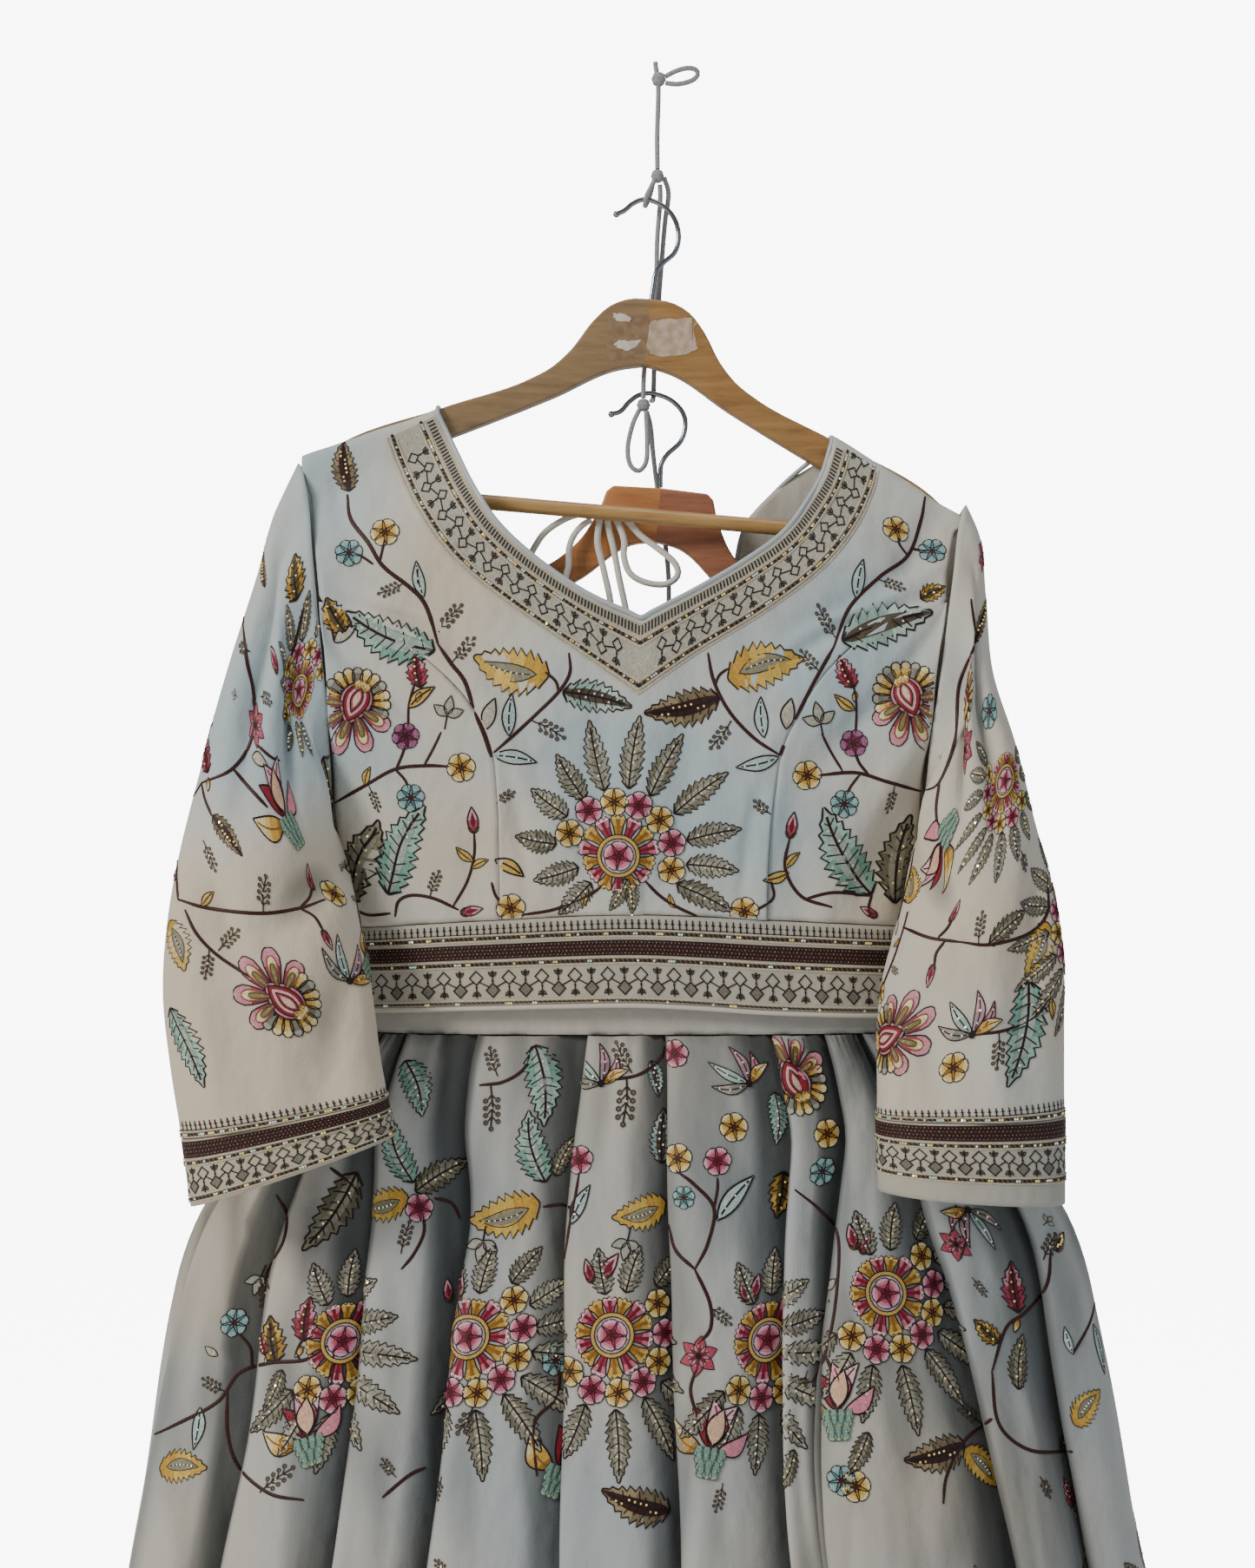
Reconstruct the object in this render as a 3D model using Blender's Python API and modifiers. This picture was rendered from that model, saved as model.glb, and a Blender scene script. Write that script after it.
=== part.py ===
"""Lehenga set: an embroidered choli on a wooden hanger, with its pleated lehenga
skirt on a second wooden hanger below. Metres, +Z up, +X to the viewer's right,
-Y towards the viewer. The origin is the top knot of the cord that holds it all."""

import math
from collections import namedtuple

import bmesh
import bpy
from mathutils import Matrix, Vector

# Driving sizes of the cloth
SEAM_GAP = 0.0004
HEM_GAP = 0.0007
CUFF_GAP = 0.0006
BLOUSE_WALL = 0.0015
SKIRT_WALL = 0.0013
BAND_WALL = 0.0020
BINDING_R = 0.0014
PIPING_R = 0.0016

# Driving sizes of the hangers
ROLL = math.radians(5.0)
SWEEP = 0.08
WOOD = 0.012
WOOD_EDGE = 0.0022
RIM_ANGLE = math.radians(70.0)
FLAT_ANGLE = math.radians(1.0)
UPPER_AT = (-0.0048, 0.0, -0.1548)
LOWER_AT = (0.0022, 0.010, -0.2836)
HOOK_R = 0.00175
BAR_R = 0.00525
BAR_BELOW = 0.151
BAR_REACH = 0.1876
BAR_LOBE_X = 0.2000

# Driving sizes of the cords
GREY_D = 0.0035
DORI_D = 0.0046
TOUCH = 0.0003
SAME_PLACE = 0.00002
ROUTE_STEPS = 12
CORD_SPACING = 2.6
TIGHT_SPACING = 1.3
TIGHT_ROUTES = ("cord_bow_top", "cord_hook_sling", "cord_bow_lower", "cord_tail_top")
DORI_SPACING = 2.2
WIRE_SPACING = 3.0
KNOT_FLATNESS = 0.92
BAR_SIDES = 14

# Colours of the plain model
CLOTH = "#D3D0C8"
TRIM = "#C9C5B8"
SATIN = "#CDD2D4"
WOOD_UPPER = "#A9825A"
WOOD_LOWER = "#B5723F"
STEEL = "#C4C8CC"
GREY_CORD = "#A29F9A"
WHITE_CORD = "#E4E1DA"

# Blouse sections: side limits, then depth of the middle front, the middle back
# and the side seam
BodyRow = namedtuple("BodyRow", "z left right front back side")
BODY = [
    BodyRow(-0.642, -0.2060, 0.1725, -0.0480, 0.0300, -0.0100),
    BodyRow(-0.580, -0.2080, 0.1730, -0.0510, 0.0310, -0.0110),
    BodyRow(-0.530, -0.2115, 0.1745, -0.0560, 0.0320, -0.0120),
    BodyRow(-0.505, -0.2180, 0.1765, -0.0575, 0.0325, -0.0140),
    BodyRow(-0.450, -0.2235, 0.1850, -0.0580, 0.0320, -0.0140),
    BodyRow(-0.385, -0.2265, 0.1880, -0.0530, 0.0300, -0.0140),
    BodyRow(-0.315, -0.2290, 0.1960, -0.0470, 0.0270, -0.0140),
    BodyRow(-0.270, -0.2400, 0.2050, -0.0400, 0.0240, -0.0140),
]
SIDE_ROUNDNESS = 2.6

# Armhole ovals: top and bottom of each, half depth, and how far the seam is
# cut in towards the neck at the front and at the back
Armhole = namedtuple("Armhole", "top_x top_z low_x low_z mid_y depth cut_front cut_back")
ARMHOLES = {
    "left": Armhole(-0.2425, -0.2705, -0.2210, -0.5021, -0.0165, 0.036, 0.0085, 0.0040),
    "right": Armhole(0.2075, -0.2990, 0.1795, -0.5080, -0.0165, 0.036, 0.0070, 0.0040),
}

# Neck edge from the point of the front V up to each shoulder
NeckRow = namedtuple("NeckRow", "share left_x left_z right_x right_z")
FRONT_NECK = [
    NeckRow(0.00, -0.0117, -0.3782, -0.0117, -0.3782),
    NeckRow(0.20, -0.0470, -0.3622, 0.0250, -0.3590),
    NeckRow(0.40, -0.0815, -0.3385, 0.0560, -0.3408),
    NeckRow(0.58, -0.1080, -0.3135, 0.0840, -0.3200),
    NeckRow(0.72, -0.1245, -0.2885, 0.1005, -0.2975),
    NeckRow(0.86, -0.1370, -0.2635, 0.1120, -0.2770),
    NeckRow(1.00, -0.1500, -0.2365, 0.1185, -0.2560),
]
BACK_NECK = [
    NeckRow(0.00, -0.0150, -0.4500, -0.0150, -0.4500),
    NeckRow(0.20, -0.0620, -0.4350, 0.0250, -0.4320),
    NeckRow(0.40, -0.0960, -0.3980, 0.0480, -0.3930),
    NeckRow(0.58, -0.1110, -0.3530, 0.0540, -0.3480),
    NeckRow(0.72, -0.1190, -0.3110, 0.0600, -0.3130),
    NeckRow(0.86, -0.1360, -0.2680, 0.0860, -0.2820),
    NeckRow(1.00, -0.1500, -0.2365, 0.1185, -0.2560),
]

# Princess seams of the front, from the hem band up to the armholes
PrincessRow = namedtuple("PrincessRow", "z left_x right_x centre_z")
PRINCESS = [
    PrincessRow(-0.5800, -0.1060, 0.0720, -0.5765),
    PrincessRow(-0.5400, -0.1062, 0.0728, -0.5380),
    PrincessRow(-0.4980, -0.1071, 0.0765, -0.5020),
    PrincessRow(-0.4600, -0.1123, 0.0840, -0.4700),
    PrincessRow(-0.4364, -0.1244, 0.0960, -0.4480),
    PrincessRow(-0.4127, -0.1464, 0.1130, -0.4260),
    PrincessRow(-0.3870, -0.1810, 0.1430, -0.4060),
    PrincessRow(-0.3752, -0.2020, 0.1640, -0.3920),
    PrincessRow(-0.3680, -0.2221, 0.1885, -0.3782),
]

# Rows of the front above the point of the V: heights at the armholes
UpperRow = namedtuple("UpperRow", "neck_share left_z right_z")
FRONT_UPPER = [
    UpperRow(0.15, -0.3560, -0.3590),
    UpperRow(0.30, -0.3440, -0.3500),
    UpperRow(0.46, -0.3310, -0.3420),
    UpperRow(0.62, -0.3180, -0.3340),
    UpperRow(0.76, -0.3060, -0.3260),
    UpperRow(0.88, -0.2950, -0.3180),
]
BACK_LOWER_Z = [-0.580, -0.545, -0.505, -0.478]
BACK_UPPER = [
    UpperRow(0.10, -0.4350, -0.4390),
    UpperRow(0.24, -0.4120, -0.4180),
    UpperRow(0.40, -0.3850, -0.3930),
    UpperRow(0.56, -0.3560, -0.3680),
    UpperRow(0.72, -0.3250, -0.3450),
    UpperRow(0.87, -0.2960, -0.3210),
]

# Columns of each panel, as shares from its outer edge to its inner edge
CENTRE_COLUMNS = 6
SIDE_FRONT_SHARES = [0.0, 0.020, 0.100, 0.300, 0.600, 1.0]
BACK_SHARES = [0.0, 0.010, 0.050, 0.160, 0.360, 0.660, 1.0]
BAND_SHARES = [
    -1.0, -0.988, -0.945, -0.84, -0.66, -0.45, -0.24, 0.0, 0.24, 0.45, 0.66, 0.84, 0.945, 0.988, 1.0,
]

# The shoulder rests on the hanger arm: an oval over its rounded top edge
RIDGE_HALF = 0.0102
RIDGE_RISE = 0.0090
RIDGE_CLEAR = 0.0015
RIDGE_SQUARENESS = 0.68
RIDGE_ANGLES = [6.0, 28.0, 50.0, 71.0, 89.0]
SHOULDER_BLEND = 0.075
SHOULDER_INSET = 0.0016

# Hem band: top and bottom edge heights across the front, from side to side
HEM_MIDDLE_Z = -0.610
HEM_ENDS = (-0.999, 0.999)
BACK_OPENING = 0.003
PIPING_ENDS = (-0.985, 0.985)
PIPING_BELOW = 0.0005
HemRow = namedtuple("HemRow", "share top low")
HEM_BAND = [
    HemRow(-1.0, -0.5870, -0.6405),
    HemRow(-0.5, -0.5805, -0.6365),
    HemRow(0.0, -0.5765, -0.6345),
    HemRow(0.5, -0.5805, -0.6400),
    HemRow(1.0, -0.5860, -0.6440),
]

# Sleeve rings from armhole to cuff: outer and inner point, middle depth and
# half depth
Ring = namedtuple("Ring", "outer_x outer_z inner_x inner_z mid_y depth")
SLEEVES = {
    "left": [
        Ring(-0.2585, -0.3010, -0.2235, -0.5110, -0.018, 0.0390),
        Ring(-0.2703, -0.3464, -0.2220, -0.5240, -0.023, 0.0410),
        Ring(-0.2849, -0.4001, -0.2170, -0.5400, -0.033, 0.0410),
        Ring(-0.2986, -0.4585, -0.2080, -0.5570, -0.047, 0.0400),
        Ring(-0.3113, -0.5159, -0.1985, -0.5790, -0.061, 0.0385),
        Ring(-0.3198, -0.5725, -0.1914, -0.6037, -0.072, 0.0370),
        Ring(-0.3221, -0.6229, -0.1859, -0.6342, -0.080, 0.0350),
        Ring(-0.3164, -0.6702, -0.1813, -0.6646, -0.086, 0.0330),
        Ring(-0.3080, -0.7160, -0.1755, -0.6900, -0.092, 0.0310),
    ],
    "right": [
        Ring(0.2166, -0.3170, 0.1820, -0.5160, -0.018, 0.0390),
        Ring(0.2207, -0.3582, 0.1800, -0.5280, -0.023, 0.0410),
        Ring(0.2240, -0.4117, 0.1765, -0.5430, -0.033, 0.0410),
        Ring(0.2359, -0.4585, 0.1680, -0.5590, -0.047, 0.0400),
        Ring(0.2454, -0.5044, 0.1585, -0.5790, -0.061, 0.0385),
        Ring(0.2551, -0.5498, 0.1506, -0.6066, -0.072, 0.0370),
        Ring(0.2609, -0.5946, 0.1457, -0.6370, -0.080, 0.0350),
        Ring(0.2615, -0.6449, 0.1416, -0.6702, -0.086, 0.0330),
        Ring(0.2608, -0.7010, 0.1390, -0.7030, -0.092, 0.0310),
    ],
}
CUFFS = {
    "left": Ring(-0.3014, -0.7593, -0.1691, -0.7139, -0.095, 0.0300),
    "right": Ring(0.2600, -0.7571, 0.1400, -0.7490, -0.095, 0.0300),
}
SLEEVE_SIDES = 20
SLEEVE_SQUARENESS = 2.2

# Skirt sections from the waistband down to the hem
SkirtRow = namedtuple("SkirtRow", "z centre_x centre_y half_width half_depth squareness pleat")
SKIRT = [
    SkirtRow(-0.6583, -0.0180, -0.0120, 0.1810, 0.0260, 2.6, 0.0085),
    SkirtRow(-0.690, -0.0180, -0.0120, 0.2120, 0.0330, 2.6, 0.0095),
    SkirtRow(-0.735, -0.0180, -0.0110, 0.2620, 0.0440, 2.5, 0.0115),
    SkirtRow(-0.810, -0.0180, -0.0090, 0.3085, 0.0610, 2.5, 0.0135),
    SkirtRow(-0.920, -0.0170, -0.0050, 0.3295, 0.0980, 2.4, 0.0160),
    SkirtRow(-1.100, -0.0160, 0.0000, 0.3600, 0.1480, 2.3, 0.0195),
    SkirtRow(-1.360, -0.0150, 0.0000, 0.4020, 0.1950, 2.3, 0.0240),
    SkirtRow(-1.640, -0.0150, 0.0000, 0.4400, 0.2350, 2.2, 0.0270),
]

# Left edge of each pleat as a share of the way round its half of the skirt,
# at the waist, at two heights of the thigh and at the hem
PleatRow = namedtuple("PleatRow", "name waist thigh knee hem")
FRONT_PLEATS = [
    PleatRow("side_far_left", -0.955, -0.915, -0.900, -0.890),
    PleatRow("side_left", -0.885, -0.745, -0.700, -0.710),
    PleatRow("left", -0.800, -0.540, -0.495, -0.500),
    PleatRow("mid_left", -0.545, -0.340, -0.335, -0.335),
    PleatRow("centre_left", -0.160, -0.137, -0.127, -0.150),
    PleatRow("centre_right", 0.115, 0.077, 0.080, 0.060),
    PleatRow("mid_right", 0.510, 0.318, 0.255, 0.250),
    PleatRow("right", 0.690, 0.414, 0.308, 0.400),
    PleatRow("side_right", 0.830, 0.630, 0.640, 0.620),
    PleatRow("side_far_right", 0.915, 0.840, 0.790, 0.800),
]
BACK_PLEATS = [
    PleatRow("back_1", -0.950, -0.930, -0.920, -0.915),
    PleatRow("back_2", -0.840, -0.760, -0.740, -0.735),
    PleatRow("back_3", -0.640, -0.560, -0.545, -0.560),
    PleatRow("back_4", -0.420, -0.370, -0.365, -0.370),
    PleatRow("back_5", -0.190, -0.170, -0.180, -0.165),
    PleatRow("back_6", 0.040, 0.030, 0.020, 0.030),
    PleatRow("back_7", 0.260, 0.220, 0.230, 0.220),
    PleatRow("back_8", 0.470, 0.410, 0.405, 0.410),
    PleatRow("back_9", 0.670, 0.600, 0.590, 0.600),
    PleatRow("back_10", 0.840, 0.790, 0.780, 0.780),
]
PLEAT_HEIGHTS = [-0.658, -0.790, -0.950, -1.640]
PleatAt = namedtuple("PleatAt", "z share")

# Outline of one knife pleat: share of the pleat's width, share of its depth.
# The face starts at a fold on its left and sinks on its right under the next.
# A pleat is no deeper than the steepness times its width.
PLEAT_STEEPNESS = 0.42
LAP_MOST = 0.060
GORE_LAST_FOLDS = 7
OUTLINE_STEPS = 60
FoldPoint = namedtuple("FoldPoint", "along rise")
PLEAT_FOLD = [
    FoldPoint(0.000, -0.16),
    FoldPoint(0.055, 0.08),
    FoldPoint(0.340, 0.14),
    FoldPoint(0.680, -0.10),
    FoldPoint(0.900, -0.50),
    FoldPoint(1.030, -0.84),
    FoldPoint(1.190, -1.00),
    FoldPoint(1.215, -0.74),
    FoldPoint(1.040, -0.44),
]
SKIRT_GORES = [
    ("skirt_gore_front_left", "front", 0, 4),
    ("skirt_gore_front_middle", "front", 4, 7),
    ("skirt_gore_front_right", "front", 7, 10),
    ("skirt_gore_back_right", "back", 0, 3),
    ("skirt_gore_back_middle", "back", 3, 7),
    ("skirt_gore_back_left", "back", 7, 10),
]

# Waistband of the skirt, inside the blouse hem
BAND_TOP = -0.6130
BAND_LOW = -0.6575
BAND_HALF_WIDTH = 0.1800
BAND_HALF_DEPTH = 0.0250
BAND_AT = (-0.0180, -0.0120)
BAND_SIDES = 36
BAND_SQUARENESS = 2.6

# Hanging ribbons of the skirt, over the arms of the lower hanger
RIBBON_WIDTH = 0.0102
RIBBON_WALL = 0.0010
RIBBON_X = (-0.150, 0.132)
RIBBON_CLEAR = 0.0012
RIBBON_RISE = 0.0030
RIBBON_TAIL = 0.020
RIBBON_DROP = 0.030

# Half outline of the upper hanger from the middle of its top edge, then its
# lower edge back to the notch
HangerPoint = namedtuple("HangerPoint", "x z")
UPPER_TOP = [
    HangerPoint(0.0000, 0.0000), HangerPoint(0.0150, -0.0015), HangerPoint(0.0280, -0.0080),
    HangerPoint(0.0380, -0.0190), HangerPoint(0.0520, -0.0410), HangerPoint(0.0640, -0.0540),
    HangerPoint(0.0773, -0.0630), HangerPoint(0.1326, -0.0880), HangerPoint(0.2080, -0.1255),
    HangerPoint(0.2160, -0.1330),
]
UPPER_LOW = [
    HangerPoint(0.2170, -0.1450), HangerPoint(0.2140, -0.1570), HangerPoint(0.2070, -0.1620),
    HangerPoint(0.1940, -0.1620), HangerPoint(0.1880, -0.1580), HangerPoint(0.1880, -0.1440),
    HangerPoint(0.1780, -0.1330), HangerPoint(0.1257, -0.1074), HangerPoint(0.0600, -0.0735),
    HangerPoint(0.0180, -0.0500), HangerPoint(0.0000, -0.0456),
]
LOWER_TOP = [
    HangerPoint(0.0000, 0.0000), HangerPoint(0.0330, -0.0015), HangerPoint(0.0375, -0.0060),
    HangerPoint(0.0410, -0.0190), HangerPoint(0.0520, -0.0400), HangerPoint(0.0660, -0.0550),
    HangerPoint(0.1000, -0.0750), HangerPoint(0.2000, -0.1240), HangerPoint(0.2080, -0.1310),
]
LOWER_LOW = [
    HangerPoint(0.2090, -0.1440), HangerPoint(0.2030, -0.1530), HangerPoint(0.1900, -0.1530),
    HangerPoint(0.1700, -0.1360), HangerPoint(0.0500, -0.0680), HangerPoint(0.0140, -0.0400),
    HangerPoint(0.0000, -0.0375),
]

# Hook wires, from the bent tip over the top and down to the shank
UPPER_HOOK = [
    (-0.0284, -0.0953), (-0.0225, -0.0925), (-0.0170, -0.0880), (-0.0086, -0.0850),
    (0.0030, -0.0890), (0.0115, -0.0980), (0.0147, -0.1104), (0.0120, -0.1215),
    (0.0040, -0.1290), (-0.0012, -0.1360), (-0.0028, -0.1450), (-0.0043, -0.1543),
]
LOWER_HOOK = [
    (-0.0319, -0.2316), (-0.0255, -0.2295), (-0.0190, -0.2225), (-0.0120, -0.2180),
    (-0.0031, -0.2172), (0.0090, -0.2215), (0.0175, -0.2300), (0.0196, -0.2400),
    (0.0160, -0.2510), (0.0075, -0.2590), (0.0030, -0.2660), (0.0022, -0.2740),
    (0.0022, -0.2826),
]

# Grey cord: knots and the stretches between them
Knot = namedtuple("Knot", "name x y z half_width half_height")
KNOTS = [
    Knot("cord_knot_top", 0.0008, 0.0000, -0.0020, 0.0046, 0.0048),
    Knot("cord_knot_second", 0.0000, 0.0000, -0.0690, 0.0042, 0.0046),
    Knot("cord_knot_lower", -0.0096, 0.0052, -0.2262, 0.0044, 0.0044),
]
GREY_ROUTES = {
    "cord_tail_top": [(-0.0006, 0.0, 0.0033), (-0.0012, 0.0, 0.0065), (-0.0014, 0.0, 0.0098)],
    "cord_bow_top": [
        (0.0054, -0.0003, -0.0002), (0.0130, -0.0010, 0.0034), (0.0210, -0.0016, 0.0052),
        (0.0268, -0.0010, 0.0040), (0.0276, 0.0004, 0.0006), (0.0230, 0.0012, -0.0028),
        (0.0140, 0.0010, -0.0050), (0.0054, 0.0005, -0.0044),
    ],
    "cord_upper": [
        (0.0006, 0.0, -0.0073), (0.0004, 0.0, -0.0220), (-0.0002, 0.0, -0.0420),
        (0.0000, 0.0, -0.0639),
    ],
    "cord_hook_sling": [
        (-0.0020, -0.0034, -0.0726), (-0.0044, -0.0050, -0.0780), (-0.0074, -0.0050, -0.0840),
        (-0.0084, -0.0032, -0.0882), (-0.0086, 0.0000, -0.0893), (-0.0080, 0.0034, -0.0880),
        (-0.0060, 0.0050, -0.0830), (-0.0042, 0.0044, -0.0775), (-0.0032, 0.0030, -0.0732),
    ],
    "cord_drop_left": [
        (0.0018, 0.0046, -0.0734), (0.0020, 0.0066, -0.0850), (0.0000, 0.0082, -0.1100),
        (-0.0010, 0.0086, -0.1450), (-0.0050, 0.0088, -0.1750), (-0.0085, 0.0086, -0.1960),
        (-0.0095, 0.0066, -0.2090), (-0.0097, 0.0052, -0.2160), (-0.0097, 0.0052, -0.2214),
    ],
    "cord_drop_right": [
        (0.0046, 0.0030, -0.0690), (0.0078, 0.0085, -0.0790), (0.0052, 0.0128, -0.1000),
        (0.0016, 0.0132, -0.1450), (-0.0006, 0.0134, -0.1750), (-0.0020, 0.0150, -0.1980),
        (-0.0024, 0.0156, -0.2110), (-0.0026, 0.0148, -0.2180), (-0.0030, 0.0106, -0.2219),
        (-0.0036, 0.0080, -0.2223), (-0.0040, 0.0066, -0.2228),
    ],
    "cord_bow_lower": [
        (-0.0126, 0.0030, -0.2300), (-0.0170, 0.0010, -0.2400), (-0.0205, 0.0000, -0.2560),
        (-0.0190, 0.0000, -0.2680), (-0.0130, 0.0006, -0.2725), (-0.0078, 0.0020, -0.2660),
        (-0.0070, 0.0026, -0.2520), (-0.0074, 0.0030, -0.2400), (-0.0078, 0.0032, -0.2306),
    ],
    "cord_tail_lower": [
        (-0.0073, 0.0088, -0.2299), (-0.0045, 0.0122, -0.2405), (-0.0026, 0.0160, -0.2600),
        (0.0000, 0.0196, -0.2800), (0.0044, 0.0204, -0.3100), (0.0078, 0.0200, -0.3400),
        (0.0082, 0.0190, -0.3700), (0.0080, 0.0185, -0.3880),
    ],
}

# White back neck ties: they come up from the neck edge of the back, are knotted
# behind the bar of the upper hanger, and hang down in two ends and a bow
DORI_KNOT = (-0.0360, -0.0061, -0.3020)
DORI_KNOT_HALF = (0.0078, 0.0042, 0.0050)
DORI_ROUTES = {
    "dori_left": [
        (-0.1235, 0.0228, -0.3235), (-0.1160, 0.0190, -0.3265), (-0.1085, 0.0070, -0.3345),
        (-0.1000, -0.0030, -0.3400), (-0.0900, -0.0065, -0.3345), (-0.0789, -0.0075, -0.3177),
        (-0.0670, -0.0075, -0.3087), (-0.0560, -0.0070, -0.3040), (-0.0443, -0.0064, -0.3021),
    ],
    "dori_right": [
        (0.0475, 0.0235, -0.3930), (0.0400, 0.0160, -0.4060), (0.0180, 0.0000, -0.4200),
        (-0.0200, -0.0180, -0.4210), (-0.0520, -0.0250, -0.4030), (-0.0660, -0.0200, -0.3760),
        (-0.0634, -0.0130, -0.3499), (-0.0612, -0.0090, -0.3390), (-0.0608, -0.0080, -0.3270),
        (-0.0575, -0.0076, -0.3180), (-0.0520, -0.0074, -0.3115), (-0.0457, -0.0070, -0.3072),
    ],
    "dori_end_left": [
        (-0.0398, -0.0069, -0.3069), (-0.0409, -0.0076, -0.3150), (-0.0411, -0.0082, -0.3250),
        (-0.0370, -0.0088, -0.3422), (-0.0322, -0.0098, -0.3660), (-0.0312, -0.0110, -0.3950),
        (-0.0330, -0.0116, -0.4250), (-0.0335, -0.0116, -0.4560),
    ],
    "dori_end_right": [
        (-0.0346, -0.0060, -0.3077), (-0.0330, -0.0060, -0.3160), (-0.0300, -0.0062, -0.3284),
        (-0.0262, -0.0072, -0.3487), (-0.0212, -0.0090, -0.3726), (-0.0180, -0.0106, -0.3980),
        (-0.0168, -0.0112, -0.4280), (-0.0165, -0.0112, -0.4650),
    ],
    "dori_loop": [
        (-0.0295, -0.0072, -0.3060), (-0.0258, -0.0088, -0.3130), (-0.0228, -0.0104, -0.3230),
        (-0.0232, -0.0118, -0.3330), (-0.0190, -0.0118, -0.3446), (-0.0085, -0.0112, -0.3508),
        (0.0055, -0.0106, -0.3520), (0.0138, -0.0100, -0.3457), (0.0112, -0.0094, -0.3368),
        (0.0000, -0.0086, -0.3272), (-0.0114, -0.0078, -0.3185), (-0.0200, -0.0062, -0.3090),
        (-0.0266, -0.0055, -0.3014),
    ],
}
DORI_END_KNOTS = [
    Knot("dori_end_knot_left", -0.0335, -0.0116, -0.4610, 0.0044, 0.0046),
    Knot("dori_end_knot_right", -0.0165, -0.0112, -0.4700, 0.0044, 0.0046),
]


def clear_scene():
    for item in list(bpy.data.objects):
        bpy.data.objects.remove(item, do_unlink=True)


def linear(channel):
    if channel <= 0.04045:
        return channel / 12.92
    return ((channel + 0.055) / 1.055) ** 2.4


def colour(hex_text):
    channels = [int(hex_text[start:start + 2], 16) / 255.0 for start in (1, 3, 5)]
    return tuple(linear(channel) for channel in channels) + (1.0,)


def material(name, hex_text, roughness, metallic=0.0):
    finish = bpy.data.materials.new(name)
    finish.use_nodes = True
    shader = finish.node_tree.nodes["Principled BSDF"]
    shader.inputs["Base Color"].default_value = colour(hex_text)
    shader.inputs["Roughness"].default_value = roughness
    shader.inputs["Metallic"].default_value = metallic
    finish.diffuse_color = colour(hex_text)
    return finish


def add_mesh(name, mesh, finish):
    piece = bpy.data.objects.new(name, mesh)
    piece.data.materials.clear()
    piece.data.materials.append(finish)
    bpy.data.collections["lehenga_set"].objects.link(piece)
    return piece


def slope(rows, index, column):
    """Slope of a table column at one of its rows, flat where the column turns."""
    here = getattr(rows[index], column)
    if index in (0, len(rows) - 1):
        other = rows[1] if index == 0 else rows[-2]
        return (getattr(other, column) - here) / (other[0] - rows[index][0])
    before, after = rows[index - 1], rows[index + 1]
    left = (here - getattr(before, column)) / (rows[index][0] - before[0])
    right = (getattr(after, column) - here) / (after[0] - rows[index][0])
    if left * right <= 0.0:
        return 0.0
    return 2.0 * left * right / (left + right)


def read(rows, at, column):
    """Smooth value of a named column, at a value of the table's first column."""
    if rows[0][0] > rows[-1][0]:
        rows = rows[::-1]
    at = min(max(at, rows[0][0]), rows[-1][0])
    index = 0
    while index < len(rows) - 2 and at > rows[index + 1][0]:
        index += 1
    span = rows[index + 1][0] - rows[index][0]
    step = (at - rows[index][0]) / span
    start, end = getattr(rows[index], column), getattr(rows[index + 1], column)
    lead, trail = slope(rows, index, column) * span, slope(rows, index + 1, column) * span
    square, cube = step * step, step * step * step
    return (start * (2.0 * cube - 3.0 * square + 1.0) + lead * (cube - 2.0 * square + step)
            + end * (3.0 * square - 2.0 * cube) + trail * (cube - square))


def mix(start, end, share):
    return start + (end - start) * share


def ease(share):
    share = min(max(share, 0.0), 1.0)
    return share * share * (3.0 - 2.0 * share)


def fullness(share, squareness):
    """Height of a superellipse of half width and height 1 at a share of its half width."""
    share = min(abs(share), 1.0)
    return (1.0 - share ** squareness) ** (1.0 / squareness)


def cloth(name, rows, wall, finish, closed=False):
    """A wall of cloth through rows of points, or through closed rings of points."""
    shape = bmesh.new()
    grid = [[shape.verts.new(point) for point in row] for row in rows]
    for lower, upper in zip(grid, grid[1:]):
        steps = len(lower) if closed else len(lower) - 1
        for index in range(steps):
            after = (index + 1) % len(lower)
            corners = [lower[index], lower[after], upper[after], upper[index]]
            shape.faces.new(corners)
    return finish_cloth(name, shape, wall, finish)


def finish_cloth(name, shape, wall, finish):
    bmesh.ops.remove_doubles(shape, verts=shape.verts, dist=SAME_PLACE)
    mesh = bpy.data.meshes.new(name)
    shape.to_mesh(mesh)
    shape.free()
    mesh.shade_smooth()
    piece = add_mesh(name, mesh, finish)
    thickness = piece.modifiers.new("cloth wall", "SOLIDIFY")
    thickness.thickness = wall
    thickness.offset = 0.0
    thickness.use_even_offset = False
    return piece


def rolled(x, z, at):
    """A point of a hanger's own outline, tilted as the hanger hangs."""
    turned_x = x * math.cos(ROLL) + z * math.sin(ROLL)
    turned_z = -x * math.sin(ROLL) + z * math.cos(ROLL)
    return at[0] + turned_x, at[2] + turned_z


def arm_top(x, outline, at):
    """Height of a hanger's top edge above a place across it, level on past its end."""
    side = 1.0 if x > at[0] else -1.0
    edge = [rolled(side * point.x, point.z, at) for point in outline]
    for inner, outer in zip(edge[:-2], edge[1:-1]):
        if side * inner[0] <= side * x <= side * outer[0]:
            return mix(inner[1], outer[1], (x - inner[0]) / (outer[0] - inner[0]))
    before, last = edge[-3], edge[-2]
    return last[1] + (x - last[0]) * (last[1] - before[1]) / (last[0] - before[0])


def arm_middle(x, outline, at):
    """Depth of the middle of a hanger arm, which sweeps forward to its end."""
    z = arm_top(x, outline, at)
    reach = (x - at[0]) * math.cos(ROLL) - (z - at[2]) * math.sin(ROLL)
    return at[1] - SWEEP * abs(reach)


def along(rows, share, side):
    """Neck edge point on a side at a share of the way up to the shoulder."""
    return read(rows, share, side + "_x"), read(rows, share, side + "_z")


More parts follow.
